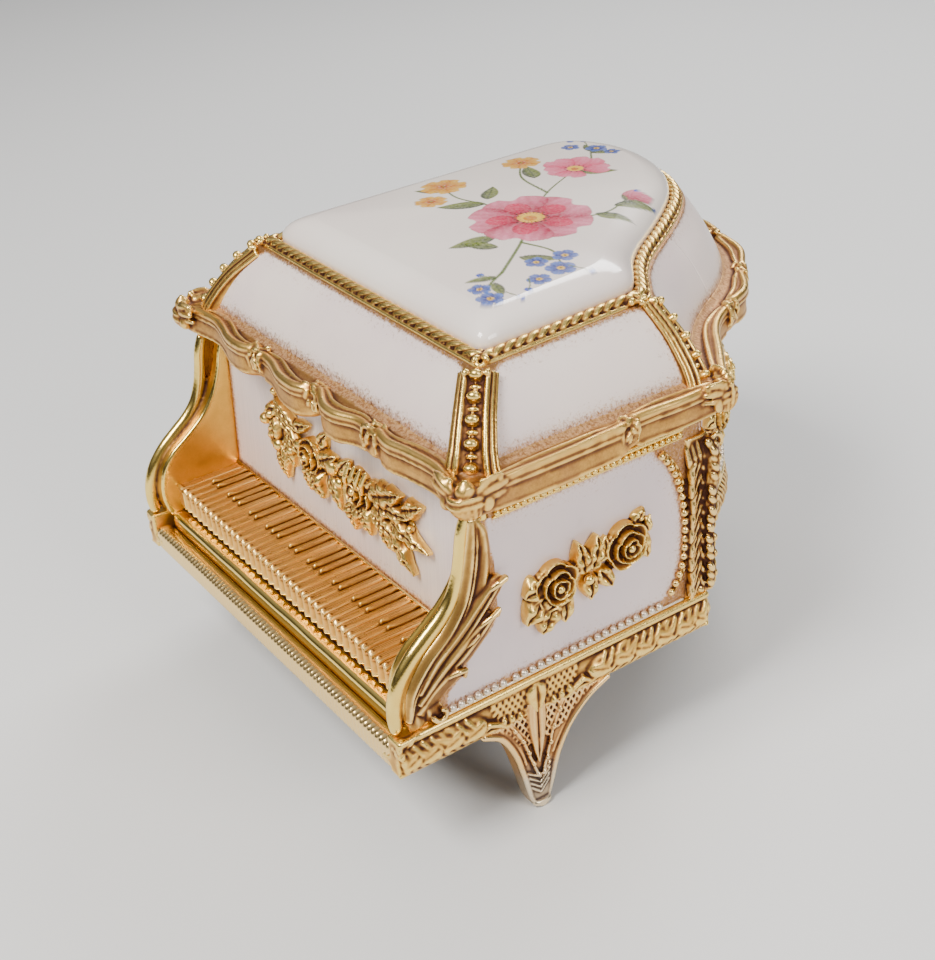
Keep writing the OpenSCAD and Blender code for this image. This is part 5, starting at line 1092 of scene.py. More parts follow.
def spray(m, F, back=0.0, n3=None):
    """Two roses with leaves and a bud. F(a, b, h) maps along, up and outward to space."""
    def ax(a, b):
        c = F(a, b, 0); u = unit(F(a + 0.5, b, 0) - c); w = unit(F(a, b + 0.5, 0) - c); return c, unit(np.cross(u, w)), u, w
    def lf(a0, b0, a1, b1, width, **kw):
        c, n, u, w = ax((a0 + a1) / 2, (b0 + b1) / 2)
        leaf(m, F(a0, b0, 0.5), F(a1, b1, 0.3), n, width, **kw)
    for a, b, R, tn in ((-8.8, 0.4, 5.35, 0.3), (9.0, 2.2, 5.35, 1.4)):
        c, n, u, w = ax(a, b)
        rosehead(m, c, n, u, R, 4.05, tn)
    lf(-12.0, 2.0, -16.2, 0.4, 6.4, h=1.9, veins=2, curl=0.6)
    lf(-11.5, -1.0, -16.4, -5.6, 7.0, h=2.2, veins=2, curl=0.8)
    lf(-9.5, -3.0, -12.8, -9.2, 7.2, h=2.3, veins=3, curl=0.9)
    lf(-6.5, -3.0, -7.6, -9.0, 5.4, h=1.8, veins=2, side=0.1, curl=0.6)
    lf(-1.6, 0.0, -3.2, 8.2, 4.4, h=2.4, veins=3, curl=1.0)
    lf(0.2, 0.2, 1.6, 8.0, 4.8, h=2.6, veins=3, curl=1.1)
    lf(2.4, 1.0, 4.4, 6.2, 3.4, h=1.8, veins=2)
    lf(-0.6, -0.6, -0.4, -6.6, 4.6, h=2.2, veins=2, curl=0.7)
    lf(2.2, -0.8, 4.6, -6.0, 4.6, h=2.1, veins=2, side=0.1, curl=0.7)
    lf(13.0, 3.0, 15.2, -3.6, 4.4, h=1.2, veins=3)
    lf(11.5, 6.0, 14.4, 8.6, 3.4, h=1.2, veins=3)
    c, n, u, w = ax(-1.0, -1.4)
    ellipsoid(m, c + n * 1.9, (1.15, 1.15, 1.0), basis(n, u), n=12)
    c, n, u, w = ax(14.8, 4.8)
    ellipsoid(m, c + n * 1.0, (1.0, 1.9, 1.2), basis(n, u * 0.9 + w * 0.1), n=14)
    tube(m, [F(14.6, 3.2, 0.8), F(14.9, 5.0, 2.1), F(15.3, 6.8, 1.2)], [0.3, 0.45, 0.3], 7)

def sprays():
    m = MB(); spray(m, lambda a, b, h: np.array([56.0 + h, -22.5 + a, 52.0 + b]))
    o = cast("right_rose_spray_casting", m, GOLD, voxel=0.21, soft=1, k=7, kb=2.2); place(o, "case", "right_rose_spray")
    m = MB(); spray(m, lambda a, b, h: np.array([-56.0 - h, -12.0 - a, 52.0 + b]))
    o = cast("left_rose_spray_casting", m, GOLD, voxel=0.24, soft=1, k=7, kb=2.2); place(o, "case", "left_rose_spray")
    def F(a, b, h):
        t = rad(42) + a / (R1 - 5.5); r = R1 - 5.5 + h
        return np.array([C1[0] + r * math.cos(t), C1[1] + r * math.sin(t), 52.0 + b])
    m = MB(); spray(m, F)
    o = cast("tail_rose_spray_casting", m, GOLD, voxel=0.24, soft=1, k=7, kb=2.2); place(o, "case", "tail_rose_spray")

def board(x, z, h=0.0):
    lean = math.atan(1.9 / (50.5 - 16.8))
    return np.array([x, YF + 23.4 + 1.9 * (z - Z0 - 16.8) / 33.7 - h * math.cos(lean), z + h * math.sin(lean)])

def build_garland():
    """Swag of leaves, roses and ribbon on the nameboard."""
    m = MB(); n = np.array([0, -1.0, 0.056])
    def lf(x0, z0, x1, z1, width, h0=0.7, h1=0.5, **kw): leaf(m, board(x0, z0, h0), board(x1, z1, h1), n, width, **kw)
    def ro(x, z, R, tn, cup=True):
        c = board(x, z, 0.6); u = np.array([1.0, 0, 0])
        rosehead(m, c - n * 0.3, n, u, R, 3.7, tn, nr=54, na=120)
    # left bow of leaves hanging from its stem
    tube(m, [board(-25.6, 69.4, 0.6), board(-24.4, 66.5, 1.0), board(-23.4, 63.5, 1.2)], [0.7, 0.8, 0.9], 8)
    ellipsoid(m, board(-25.6, 69.2, 0.9), (1.1, 1.1, 0.9), n=10)
    lf(-24.6, 67.6, -12.6, 64.6, 3.6, h=1.7, veins=6, side=-0.06, curl=0.5, h0=1.2)
    lf(-24.2, 66.0, -15.2, 61.6, 3.4, h=1.7, veins=5, h0=1.4)
    lf(-25.6, 65.2, -31.2, 61.0, 4.4, h=1.5, veins=3)
    ellipsoid(m, board(-30.4, 60.8, 1.3), (1.7, 1.5, 1.4), n=12)
    lf(-28.0, 60.0, -27.2, 54.2, 4.2, h=1.5, veins=3)
    lf(-26.0, 62.4, -24.8, 56.0, 4.6, h=1.6, veins=4, h0=1.2)
    ellipsoid(m, board(-24.6, 56.4, 1.5), (1.8, 1.4, 1.6), n=12)
    lf(-23.6, 56.6, -21.4, 49.0, 6.2, h=1.7, veins=7, h0=1.0)
    lf(-20.6, 60.0, -17.0, 53.6, 5.0, h=1.6, veins=5, h0=1.2)
    lf(-19.0, 62.0, -12.6, 58.0, 4.4, h=1.5, veins=4, h0=1.4)
    lf(-16.8, 63.8, -9.6, 66.6, 3.6, h=1.4, veins=4, h0=1.0)
    # first rose with its cup of leaves
    ro(-9.6, 59.4, 4.5, 0.5)
    lf(-9.0, 56.4, -4.2, 51.2, 6.2, h=2.0, veins=5, h0=1.2, lobes=2)
    lf(-12.2, 56.8, -11.6, 50.4, 4.6, h=1.6, veins=4)
    lf(-6.0, 63.0, -2.4, 67.4, 4.4, h=1.4, veins=3)
    lf(-4.8, 60.4, 2.2, 63.8, 4.6, h=1.8, veins=4, h0=1.4)
    ellipsoid(m, board(0.6, 61.0, 1.7), (2.0, 1.5, 2.0), n=12)
    ellipsoid(m, board(3.0, 58.0, 1.5), (1.4, 1.2, 1.4), n=12)
    lf(-1.6, 57.6, 2.4, 50.6, 4.4, h=1.5, veins=4)
    lf(3.2, 60.8, 7.4, 65.2, 3.8, h=1.5, veins=3, h0=1.2)
    # second, larger rose
    ro(10.6, 59.6, 5.0, 1.2)
    lf(8.8, 57.2, 9.4, 49.6, 6.8, h=2.1, veins=6, h0=1.3, lobes=2)
    lf(12.6, 56.8, 15.6, 50.8, 5.2, h=1.8, veins=5, h0=1.2)
    for i in range(4):
        a = board(7.4 + 2.2 * i, 58.8 + 0.5 * i, 2.4); b = board(8.6 + 2.3 * i, 65.2 + 0.2 * i, 2.0)
        tube(m, [a, (a + b) / 2 + n * 0.7, b], [0.5, 0.72, 0.45], 8)
    lf(14.8, 60.6, 18.6, 65.0, 4.2, h=1.5, veins=3, h0=1.2)
    ellipsoid(m, board(17.0, 61.0, 1.5), (1.4, 1.2, 1.5), n=12)
    # right: frilled leaf and two hanging leaves
    lf(16.8, 61.0, 29.0, 66.2, 6.2, h=2.0, veins=8, lobes=4, h0=1.4, curl=0.6)
    lf(18.4, 60.0, 31.0, 61.6, 4.8, h=1.8, veins=7, lobes=3, h0=1.4)
    lf(16.8, 58.0, 25.0, 54.8, 5.2, h=1.9, veins=6, h0=1.4)
    lf(23.8, 58.2, 37.6, 56.4, 4.4, h=1.8, veins=7, lobes=3, h0=1.2)
    lf(22.6, 56.2, 31.8, 48.8, 4.6, h=1.8, veins=7, lobes=3, h0=1.2)
    lf(19.4, 55.6, 22.2, 50.2, 4.2, h=1.6, veins=4)
    lf(28.2, 62.4, 35.0, 65.6, 4.4, h=1.7, veins=5, lobes=2)
    for x, z, r in ((21.4, 58.0, 1.3), (27.2, 59.8, 1.2), (25.8, 56.2, 1.2), (31.2, 59.6, 1.0), (-18.0, 57.6, 1.3), (-14.2, 60.6, 1.2), (-27.0, 63.2, 1.2)):
        ellipsoid(m, board(x, z, 1.7), (r, r, r * 0.9), n=10)
    # cast web behind the swag
    web = catmull([board(-29, 60, 0.2), board(-22, 59, 0.2), board(-10, 58.4, 0.2), board(0, 59.4, 0.2), (board(11, 58.8, 0.2)), board(22, 58.4, 0.2), board(31, 58.4, 0.2)], 6)
    tube(m, web, [1.6] + [2.6] * (len(web) - 2) + [1.4], 10, up=(0, 1, 0), flat=0.28)
    o = cast("nameboard_garland_casting", m, GOLD, voxel=0.21, soft=1, k=7, kb=2.4); place(o, "case", "nameboard_garland")

build_walls()
top, foot, side = build_moulding()
side_beads = side
o = shell("upper_bead_moulding", top, GOLD, k=8); place(o, "case", "upper_moulding")
o = shell("foot_bead_row", foot, BEAD_PALE, k=8); place(o, "case")
sprays()
build_garland()

# ---------------------------------------------------------------- cheeks, base frame, legs
CHEEK = [(24.3, 50.5), (22.8, 46), (21.8, 42), (19.6, 36.5), (16.2, 31.8), (11.6, 28), (7.4, 25), (4.4, 21.4), (3, 17), (3, 12.6), (4.2, 8.8)]

def mirror_x(m):
    o = MB(); o.merge(m, np.diag([-1.0, 1, 1])); return o

def strand(m, pts, r, flat=0.5, ribs=3, x=56.6, n=14, rise=0.0, depth=0.55):
    """A flattened leaf strand lying on the cheek's outer face, with fine ribs along it. pts are (y, z)."""
    c = catmull(pts, 7); s = np.linspace(0, 1, len(c))
    P = np.stack([np.full(len(c), x) + rise * np.sin(pi * s), c[:, 0], c[:, 1]], 1)
    rr = np.interp(s, np.linspace(0, 1, len(r)), r)
    tube(m, P, rr, n, up=(1, 0, 0), flat=flat)
    T = unit(np.gradient(P, axis=0)); S = np.cross(T, (1, 0, 0))
    for i in range(ribs):
        q = (i + 0.5) / ribs * 2 - 1
        h = flat * np.sqrt(np.maximum(1 - q * q * 0.9, 0.05))
        tube(m, P[2:-1] + S[2:-1] * (q * rr * 0.82)[2:-1, None] + np.array([1, 0, 0]) * (rr * h)[2:-1, None], np.clip(rr[2:-1] * 0.20, 0.16, 0.42), 7, up=(1, 0, 0))

def cheek_plate():
    m = MB()
    fr = catmull([(YF + a, Z0 + b) for a, b in CHEEK], 6)
    pl = resample(fr, n=74)
    # the plate, as one grid from its front edge to its back edge, in rounded section
    prof = [(0.0, 50.7), (0.55, 50.55), (1.2, 50.5), (1.0, 50.5)]
    back = np.stack([np.full(len(pl), YF + 25.2), pl[:, 1]], 1)
    rows = []
    for x, t in ((50.6, 0.04), (50.5, 0.3), (50.5, 1.0)): rows.append((x, t))
    def row(x, dy, use_back):
        q = back if use_back else pl + np.array([dy, 0])
        return np.stack([np.full(len(q), x), q[:, 0], q[:, 1]], 1)
    G = np.stack([row(55.9, 0.4, 0), row(55.2, 0.0, 0), row(53.2, -0.25, 0), row(51.3, 0.0, 0), row(50.6, 0.5, 0), row(50.5, 1.3, 0), row(50.5, 2.2, 0), row(50.5, 0, 1), row(55.9, 0, 1)], 1)
    m.grid(G, cv=True, cap=True)
    # inner cheek has a raised bright rail along its front edge
    T = unit(np.gradient(pl, axis=0)); N = np.stack([-T[:, 1], T[:, 0]], 1)
    N = N * np.sign((N[:, 0] > 0) - 0.5)[:, None]
    rail = np.stack([np.full(len(pl), 51.1), pl[:, 0] + N[:, 0] * 0.45, pl[:, 1] + N[:, 1] * 0.45], 1)
    tube(m, rail, 0.62, 10, up=(1, 0, 0))
    c = catmull(CHEEK_RAIL, 8); k = np.linspace(0, 1, len(c))
    tube(m, np.stack([np.full(len(c), 54.75), c[:, 0], c[:, 1]], 1), np.interp(k, [0, .3, .6, .85, 1], [1.2, 1.5, 1.75, 1.6, 1.3]), 14, up=(1, 0, 0), flat=0.86)
    return m

def blade(m, pts, w, x0=56.0, h=1.5, curl=0.0, crest=-0.4, n=13, folds=1, back=0.9, twist=0.0):
    """One broad lobe of cast leaf on the cheek's outer face. pts are (y, z) from root to tip, w its half widths; the
    crest runs nearer its upper edge and falls away to the lower one, and the tip curls outward."""
    c = catmull(pts, 8); s = np.linspace(0, 1, len(c)); ww = np.interp(s, np.linspace(0, 1, len(w)), w) * 1.28
    T = unit(np.gradient(c, axis=0)); N = np.stack([-T[:, 1], T[:, 0]], 1)
    v = np.linspace(-1, 1, n)
    ridge = np.where(v < crest, (v + 1) / (crest + 1), (1 - v) / (1 - crest)) ** 0.8
    if folds > 1: ridge = ridge + 0.30 * np.exp(-((v - 0.25) / 0.12) ** 2) - 0.22 * np.exp(-((v + 0.02) / 0.10) ** 2)
    H = h * np.sin(pi * np.clip(s * 0.92 + 0.08, 0, 1) ** 0.7)[:, None] ** 0.5 * ridge[None] + (curl * s ** 3)[:, None] + twist * s[:, None] ** 2 * v[None]
    Y = c[:, 0, None] - N[:, 0, None] * v * ww[:, None]; Z = c[:, 1, None] - N[:, 1, None] * v * ww[:, None]
    top = np.stack([x0 + H, Y, Z], -1)
    bot = np.stack([np.full(H.shape, x0 - back) + (curl * s ** 3)[:, None] * 0.55, Y, Z], -1)
    m.grid(np.concatenate([top, bot[:, ::-1]], 1), cv=True, cap=True)

CHEEK_RAIL = [(-49.0, 74.0), (-50.2, 70.5), (-50.9, 66), (-51.8, 62), (-53.5, 58), (-56.2, 54.8), (-59.8, 51.9), (-63.4, 48.9), (-66.4, 45.3), (-68.1, 41.2), (-68.6, 37.2), (-68.3, 34.2)]

def cheek_leaf():
    """The acanthus on the cheek's outer face: three long lobes whose tips roll outward behind it, and a flared foot."""
    m = MB()
    # long front fold from the foot up under the rim, and the folds between it and the lobes
    blade(m, [(-66.2, 36.0), (-64.6, 42.0), (-60.4, 47.4), (-55.4, 51.6), (-51.6, 56.6), (-49.6, 62.2), (-48.4, 68.0), (-47.8, 73.6)], [0.6, 1.3, 1.6, 1.6, 1.5, 1.6, 1.5, 1.1], 56.0, 1.5, crest=-0.25, folds=2)
    blade(m, [(-55.6, 50.0), (-50.6, 54.6), (-48.0, 59.6), (-47.0, 64.8), (-46.9, 70.0), (-47.8, 73.2)], [0.7, 1.7, 1.9, 1.7, 1.4, 0.6], 56.0, 1.25, crest=0.3)
    # upper lobe, its tip rolled out
    blade(m, [(-63.0, 41.0), (-58.6, 46.0), (-53.0, 50.4), (-48.6, 54.6), (-45.4, 58.0), (-43.3, 59.7)], [1.6, 2.5, 2.7, 2.4, 1.8, 0.8], 56.0, 1.9, curl=1.5, crest=-0.55, folds=2)
    tube(m, [(57.4, -46.9, 58.0), (58.2, -44.9, 59.3), (58.1, -43.3, 59.9), (57.2, -42.9, 58.6)], [0.5, 0.75, 0.8, 0.5], 9, up=(1, 0, 0))
    # middle lobe
    blade(m, [(-63.4, 38.6), (-58.6, 43.0), (-53.4, 46.6), (-49.0, 50.0), (-45.9, 52.3)], [1.6, 2.4, 2.8, 2.3, 0.9], 56.0, 1.8, curl=1.2, crest=-0.45, folds=2)
    tube(m, [(57.4, -49.6, 51.0), (58.0, -47.0, 52.4), (57.9, -45.2, 53.4), (57.0, -44.9, 51.4)], [0.4, 0.62, 0.7, 0.45], 9, up=(1, 0, 0))
    tube(m, [(56.9, -53.6, 47.3), (57.6, -51.4, 48.6), (57.5, -49.9, 49.4)], [0.35, 0.5, 0.4], 8, up=(1, 0, 0))
    # lower lobe with a cut end
    blade(m, [(-63.8, 36.8), (-60.6, 40.0), (-57.0, 42.2), (-53.9, 43.2)], [1.5, 2.2, 2.0, 1.1], 56.0, 1.6, curl=1.2, crest=-0.4)
    tube(m, [(57.2, -57.4, 42.9), (58.0, -55.2, 43.6), (57.9, -53.7, 43.4), (57.2, -53.6, 41.3)], [0.45, 0.65, 0.65, 0.45], 9, up=(1, 0, 0))
    # foot: the leaf flares down to the ledge and ends in a small scroll
    blade(m, [(-62.6, 41.4), (-61.6, 38.4), (-60.6, 35.6), (-59.4, 33.6)], [1.4, 1.6, 1.8, 1.5], 56.0, 1.0, crest=0.5)
    blade(m, [(-64.6, 40.6), (-64.6, 37.6), (-64.2, 34.8), (-63.8, 33.5)], [1.3, 1.5, 1.7, 1.7], 56.0, 0.8, crest=0.1)
    t = np.linspace(0.0, 4.4, 20)
    tube(m, np.stack([np.full(20, 57.0), -59.4 + (1.9 - 0.28 * t) * np.cos(t + 3.3), 35.3 + (1.9 - 0.28 * t) * np.sin(t + 3.3)], 1), np.linspace(0.62, 0.42, 20), 9, up=(1, 0, 0))
    # thin bed under it all
    tube(m, np.array([[55.5, -65, 36], [55.5, -61, 42], [55.5, -56, 47.5], [55.5, -51, 53], [55.5, -48.8, 60], [55.6, -47.8, 71]]), [2.6, 4.4, 4.4, 3.6, 2.6, 1.6], 14, up=(1, 0, 0), flat=0.22)
    return m

def build_cheek_enamel():
    """White enamel running forward from the side wall to the acanthus."""
    mid = catmull([(-62.0, 33.9), (-60.6, 38.0), (-56.4, 43.0), (-52.0, 47.6), (-48.6, 53.0), (-47.4, 60.0), (-47.2, 66.0), (-47.2, 72.4)], 8)
    zz = np.concatenate([[Z1 + 0.5, Z1 + 0.52], np.linspace(Z1 + 0.9, 72.0, 60), [72.38, 72.4]]); yf = np.interp(zz, mid[:, 1], mid[:, 0])
    t = np.concatenate([[0, 0.004], np.linspace(0.03, 0.97, 26), [0.996, 1]]); n = len(t)
    Y = yf[:, None] * (1 - t) + (-44.2) * t; Z = np.repeat(zz[:, None], n, 1)
    edge = catmull([(-57.4, 33), (-57.2, 38), (-53.4, 41.0), (-51.4, 44.6), (-46.0, 48.4), (-44.6, 52), (-42.6, 57), (-43.4, 61), (-45.2, 66), (-45.6, 73)], 8)
    d = Y - np.interp(zz, edge[:, 1], edge[:, 0])[:, None]
    overspray_and_shade = np.maximum(0.95 * (1 - smoothstep(-0.2, 0.9, d)), 0.6 * (1 - smoothstep(0.2, 1.6, Z - Z1 - 1.9)))
    for sgn, side in ((1, "right"), (-1, "left")):
        F = np.stack([np.full(Y.shape, 56.02 * sgn), Y, Z], -1); B = np.stack([np.full(Y.shape, 55.4 * sgn), Y, Z], -1)[:, ::-1]
        m = MB(); m.grid(np.concatenate([F, B], 1), cv=True, cap=True)
        o = shell(side + "_cheek_enamel", m, ENAMEL_SIDE, k=2)
        set_attr(o.data, "overspray_and_shade", np.concatenate([np.concatenate([overspray_and_shade, overspray_and_shade[:, ::-1] * 0], 1).ravel(), [0, 0]]))
        place(o, "case")

def build_cheeks():
    for sgn, side in ((1, "right"), (-1, "left")):
        a, b = cheek_plate(), cheek_leaf()
        if sgn < 0: a, b = mirror_x(a), mirror_x(b)
        o = cast(side + "_cheek_plate", a, GOLD_POLISHED, voxel=0.34, soft=2, k=3, kb=1.2)
        V = coords(o.data); V[:, 1] = np.minimum(V[:, 1], YF + 25.3); V[:, 2] = np.clip(V[:, 2], Z1, Z2); set_coords(o.data, V)
        place(o, "case", side + "_cheek")
        o = cast(side + "_cheek_acanthus", b, GOLD_SHADED, voxel=0.22, soft=1, k=7, kb=2.4)
        V = coords(o.data); V[:, 2] = np.clip(V[:, 2], Z1 + 0.02, Z2 - 0.02); set_coords(o.data, V)
        place(o, "case")

FRAME = outline_parts(-1.5, -4, YF, 0.5)[1:]
LEG_Y = YF + 32.7

def frame_line():
    """Outer line of the base frame: right, bentside, tail and left runs as even points with normals."""
    out = []
    for p in FRAME:
        q = resample(p, ds=0.6); t = unit(np.gradient(q, axis=0))
        out.append((q, np.stack([t[:, 1], -t[:, 0]], 1), np.concatenate([[0], np.cumsum(np.linalg.norm(np.diff(q, axis=0), axis=1))])))
    return out
FL = frame_line()

def fpt(k, d, o, z):
    q, n, s = FL[k]
    i = lambda a: np.interp(d, s, a)
    return np.array([i(q[:, 0]) + o * i(n[:, 0]), i(q[:, 1]) + o * i(n[:, 1]), z])
def fnr(k, d):
    q, n, s = FL[k]
    return unit(np.array([np.interp(d, s, n[:, 0]), np.interp(d, s, n[:, 1]), 0.0]))

def leafy_run(m, k, a, b, step=5.6):
    """Long overlapping laurel leaves along the top of the band, and bold slanting reeds under them."""
    sg = 1 if b > a else -1
    L = abs(b - a); n = max(1, int(round(L / step))); hi = FL[k][2][-1] - 0.8
    cl = lambda d: min(max(d, 0.8), hi)
    r = max(1, int(round(L / 2.05)))
    for i in range(r + 1):
        d = cl(a + sg * L * i / r); e = cl(d + sg * 4.4); j = 0.3 * hashn(i, k + 3)
        if abs(e - d) < 1.0: continue
        tube(m, [fpt(k, d, -0.85, 24.9), fpt(k, (2 * d + e) / 3, -0.35, 26.4 + j), fpt(k, (d + 2 * e) / 3, -0.30, 28.3 + j), fpt(k, e, -0.75, 30.6)], [0.6, 0.88 + 0.1 * j, 0.8, 0.4], 8, up=tuple(fnr(k, d)))
    for i in range(n + 1):
        d = cl(a + sg * L * i / max(n, 1)); e = cl(d + sg * 9.2); j = 0.3 * hashn(i, k)
        if abs(e - d) < 3.0: continue
        nr = fnr(k, (d + e) / 2)
        leaf(m, fpt(k, d, -0.70, 27.9 + j), fpt(k, e, -0.25, 30.9 + j * 0.4), unit(nr + np.array([0, 0, 0.45])), 5.6, h=1.35, veins=0, curl=0.35, depth=0.9, fold=0.28, nu=22, nv=11, side=0.05 * sg)
        leaf(m, fpt(k, d, -0.70, 28.6 + j), fpt(k, cl(d + sg * 5.4), -0.25, 26.4 + j * 0.4), unit(nr + np.array([0, 0, 0.25])), 4.0, h=1.2, veins=0, curl=0.3, depth=0.9, fold=0.28, nu=16, nv=9)

def build_frame():
    m = MB()
    prof = [(-4.1, Z0 + 0.05), (-2.0, Z0), (-0.9, Z0 + 0.15), (-0.6, Z0 + 1.2), (-0.8, Z0 + 3), (-0.75, Z0 + 5), (-1.0, Z1 - 1.9), (-0.35, Z1 - 1.6), (-0.1, Z1 - 0.9), (-0.5, Z1 - 0.15), (-1.6, Z1), (-4.1, Z1), (-4.1, Z0 + 3.4), (-7, Z0 + 3.3), (-7, Z0 + 1.8), (-4.1, Z0 + 1.7)]
    C = [4, 90, 90, 190, 150]
    loops = [np.concatenate([resample(p, n=c) for p, c in zip(outline_parts(-1.5 + o, -4 + o, YF, 0.4)[1:], C[1:])]) for o, z in prof]
    G = np.stack([np.concatenate([L, np.full((len(L), 1), prof[j][1])], 1) for j, L in enumerate(loops)], 1)
    m.grid(G, cv=True, cap=True)
    # leaf relief running both ways from each leg
    lr = LEG_Y - YF
    leafy_run(m, 0, lr + 13.5, FL[0][2][-1] + 1); leafy_run(m, 0, lr - 12.5, 0)
    leafy_run(m, 1, 1, FL[1][2][-1])
    q, n_, s = FL[2]; ang = np.degrees(np.unwrap(np.arctan2(q[:, 1] - C1[1], q[:, 0] - C1[0])))
    dt = float(np.interp(80, ang, s))
    leafy_run(m, 2, dt + 10, s[-1]); leafy_run(m, 2, dt - 10, 0)
    Ll = FL[3][2][-1]; ll = Ll - lr
    leafy_run(m, 3, ll + 12.5, Ll); leafy_run(m, 3, ll - 13.5, 0)
    # above each leg the band is cut with lattice, beside the head of the leg's lance leaf
    for k, dm in ((0, lr), (2, dt), (3, ll)):
        for d_ in (-1, 1):
            for i in range(-13, 14):
                t = np.linspace(0, 1, 26); z = Z0 + 0.2 + t * 6.9; u = i * 1.45 + d_ * (z - 21.2) * 0.62
                ok = (np.abs(u) < 10.6 + 0 * z) & (np.abs(u) > 1.5) & (z < Z1 - 1.9) & (z > Z0 + 0.3 + np.maximum(0, np.abs(u) - 8.0) * 1.6)
                if ok.sum() > 3: tube(m, np.array([fpt(k, dm + a_, -0.72, b_) for a_, b_ in zip(u[ok], z[ok])]), 0.27, 6, up=tuple(fnr(k, dm)))
        leaf(m, fpt(k, dm, -0.35, Z1 - 1.7), fpt(k, dm, -0.6, Z0 - 0.5), fnr(k, dm), 5.0, h=0.95, veins=0, fold=0.5, depth=0.8, nu=18, nv=11)
        for sg in (-1, 1):
            tube(m, [fpt(k, dm + sg * 13.6, -0.5, Z0 + 1.2), fpt(k, dm + sg * 11.8, -0.35, Z0 + 2.6), fpt(k, dm + sg * 9.4, -0.4, Z0 + 1.5), fpt(k, dm + sg * 7.2, -0.5, Z0 - 0.3)], [0.5, 0.75, 0.7, 0.6], 8, up=tuple(fnr(k, dm)))
            for q in range(3): ellipsoid(m, fpt(k, dm + sg * (4.2 + q * 2.0), -0.25, Z0 + 0.9 + q * 0.4), (0.9, 0.6, 0.6), basis(fnr(k, dm), (0.2, 0.1, 1)), n=8)
    # lip under the band
    for k in range(4):
        q, n_, s = FL[k]
        P = np.concatenate([q - n_ * 0.8, np.full((len(q), 1), Z0 + 0.5)], 1)
        keep = np.ones(len(q), bool)
        tube(m, P, 0.48, 8)
    # crumpled corners
    for sx in (1, -1):
        for i in range(26):
            h = [hashn(i, sx + q * 7) for q in range(5)]
            c = np.array([sx * (56.2 + 0.9 * h[0] * 0.9), YF + 1.6 + 1.3 * h[1], 29.2 + 3.6 * h[2]])
            ellipsoid(m, c, (1.3, 0.8, 0.7), basis((h[3] + sx, h[4] - 1, h[0]), (h[1], h[2], 1)), n=8)
        tube(m, [(sx * 54.6, YF + 0.9, Z1 - 1.0), (sx * 57.2, YF + 0.8, Z1 - 0.6), (sx * 57.0, YF + 4.5, Z1 - 0.4)], [0.6, 0.8, 0.6], 8)
    # bosses inside that take the plate screws
    for x, y in ((50, -52), (-50, -52), (48, -4), (-51.3, 24)):
        t = np.linspace(0, 2 * pi, 20, endpoint=False)
        P = np.stack([np.stack([x + r_ * np.cos(t), y + r_ * np.sin(t), np.full(20, z)], 1) for r_, z in ((3.1, Z0 + 2.0), (3.1, Z0 + 5.8), (2.8, Z0 + 6.1))])
        m.grid(P, cv=True, cap=True, flip=True)
    o = cast("base_frame_casting", m, GOLD, voxel=0.31, soft=1, k=5.2, kb=1.3)
    V = coords(o.data)
    # the front stays open between the cheeks for the rail and the key bed
    V[:, 2] = np.clip(V[:, 2], Z0, Z1); V[:, 1] = np.clip(V[:, 1], YF, None)
    V[:, 0] = np.clip(V[:, 0], -57.9, 57.9); set_coords(o.data, V)
    return place(o, "case", "base_frame")

LEG = [(19, 0), (23.2, -2.6), (26.2, -8), (28.2, -15), (29.6, -21), (31, -24.5), (34.4, -24.5), (35.8, -20.5), (37.8, -13.2), (41, -7.2), (46, -2.6), (51.5, 0)]

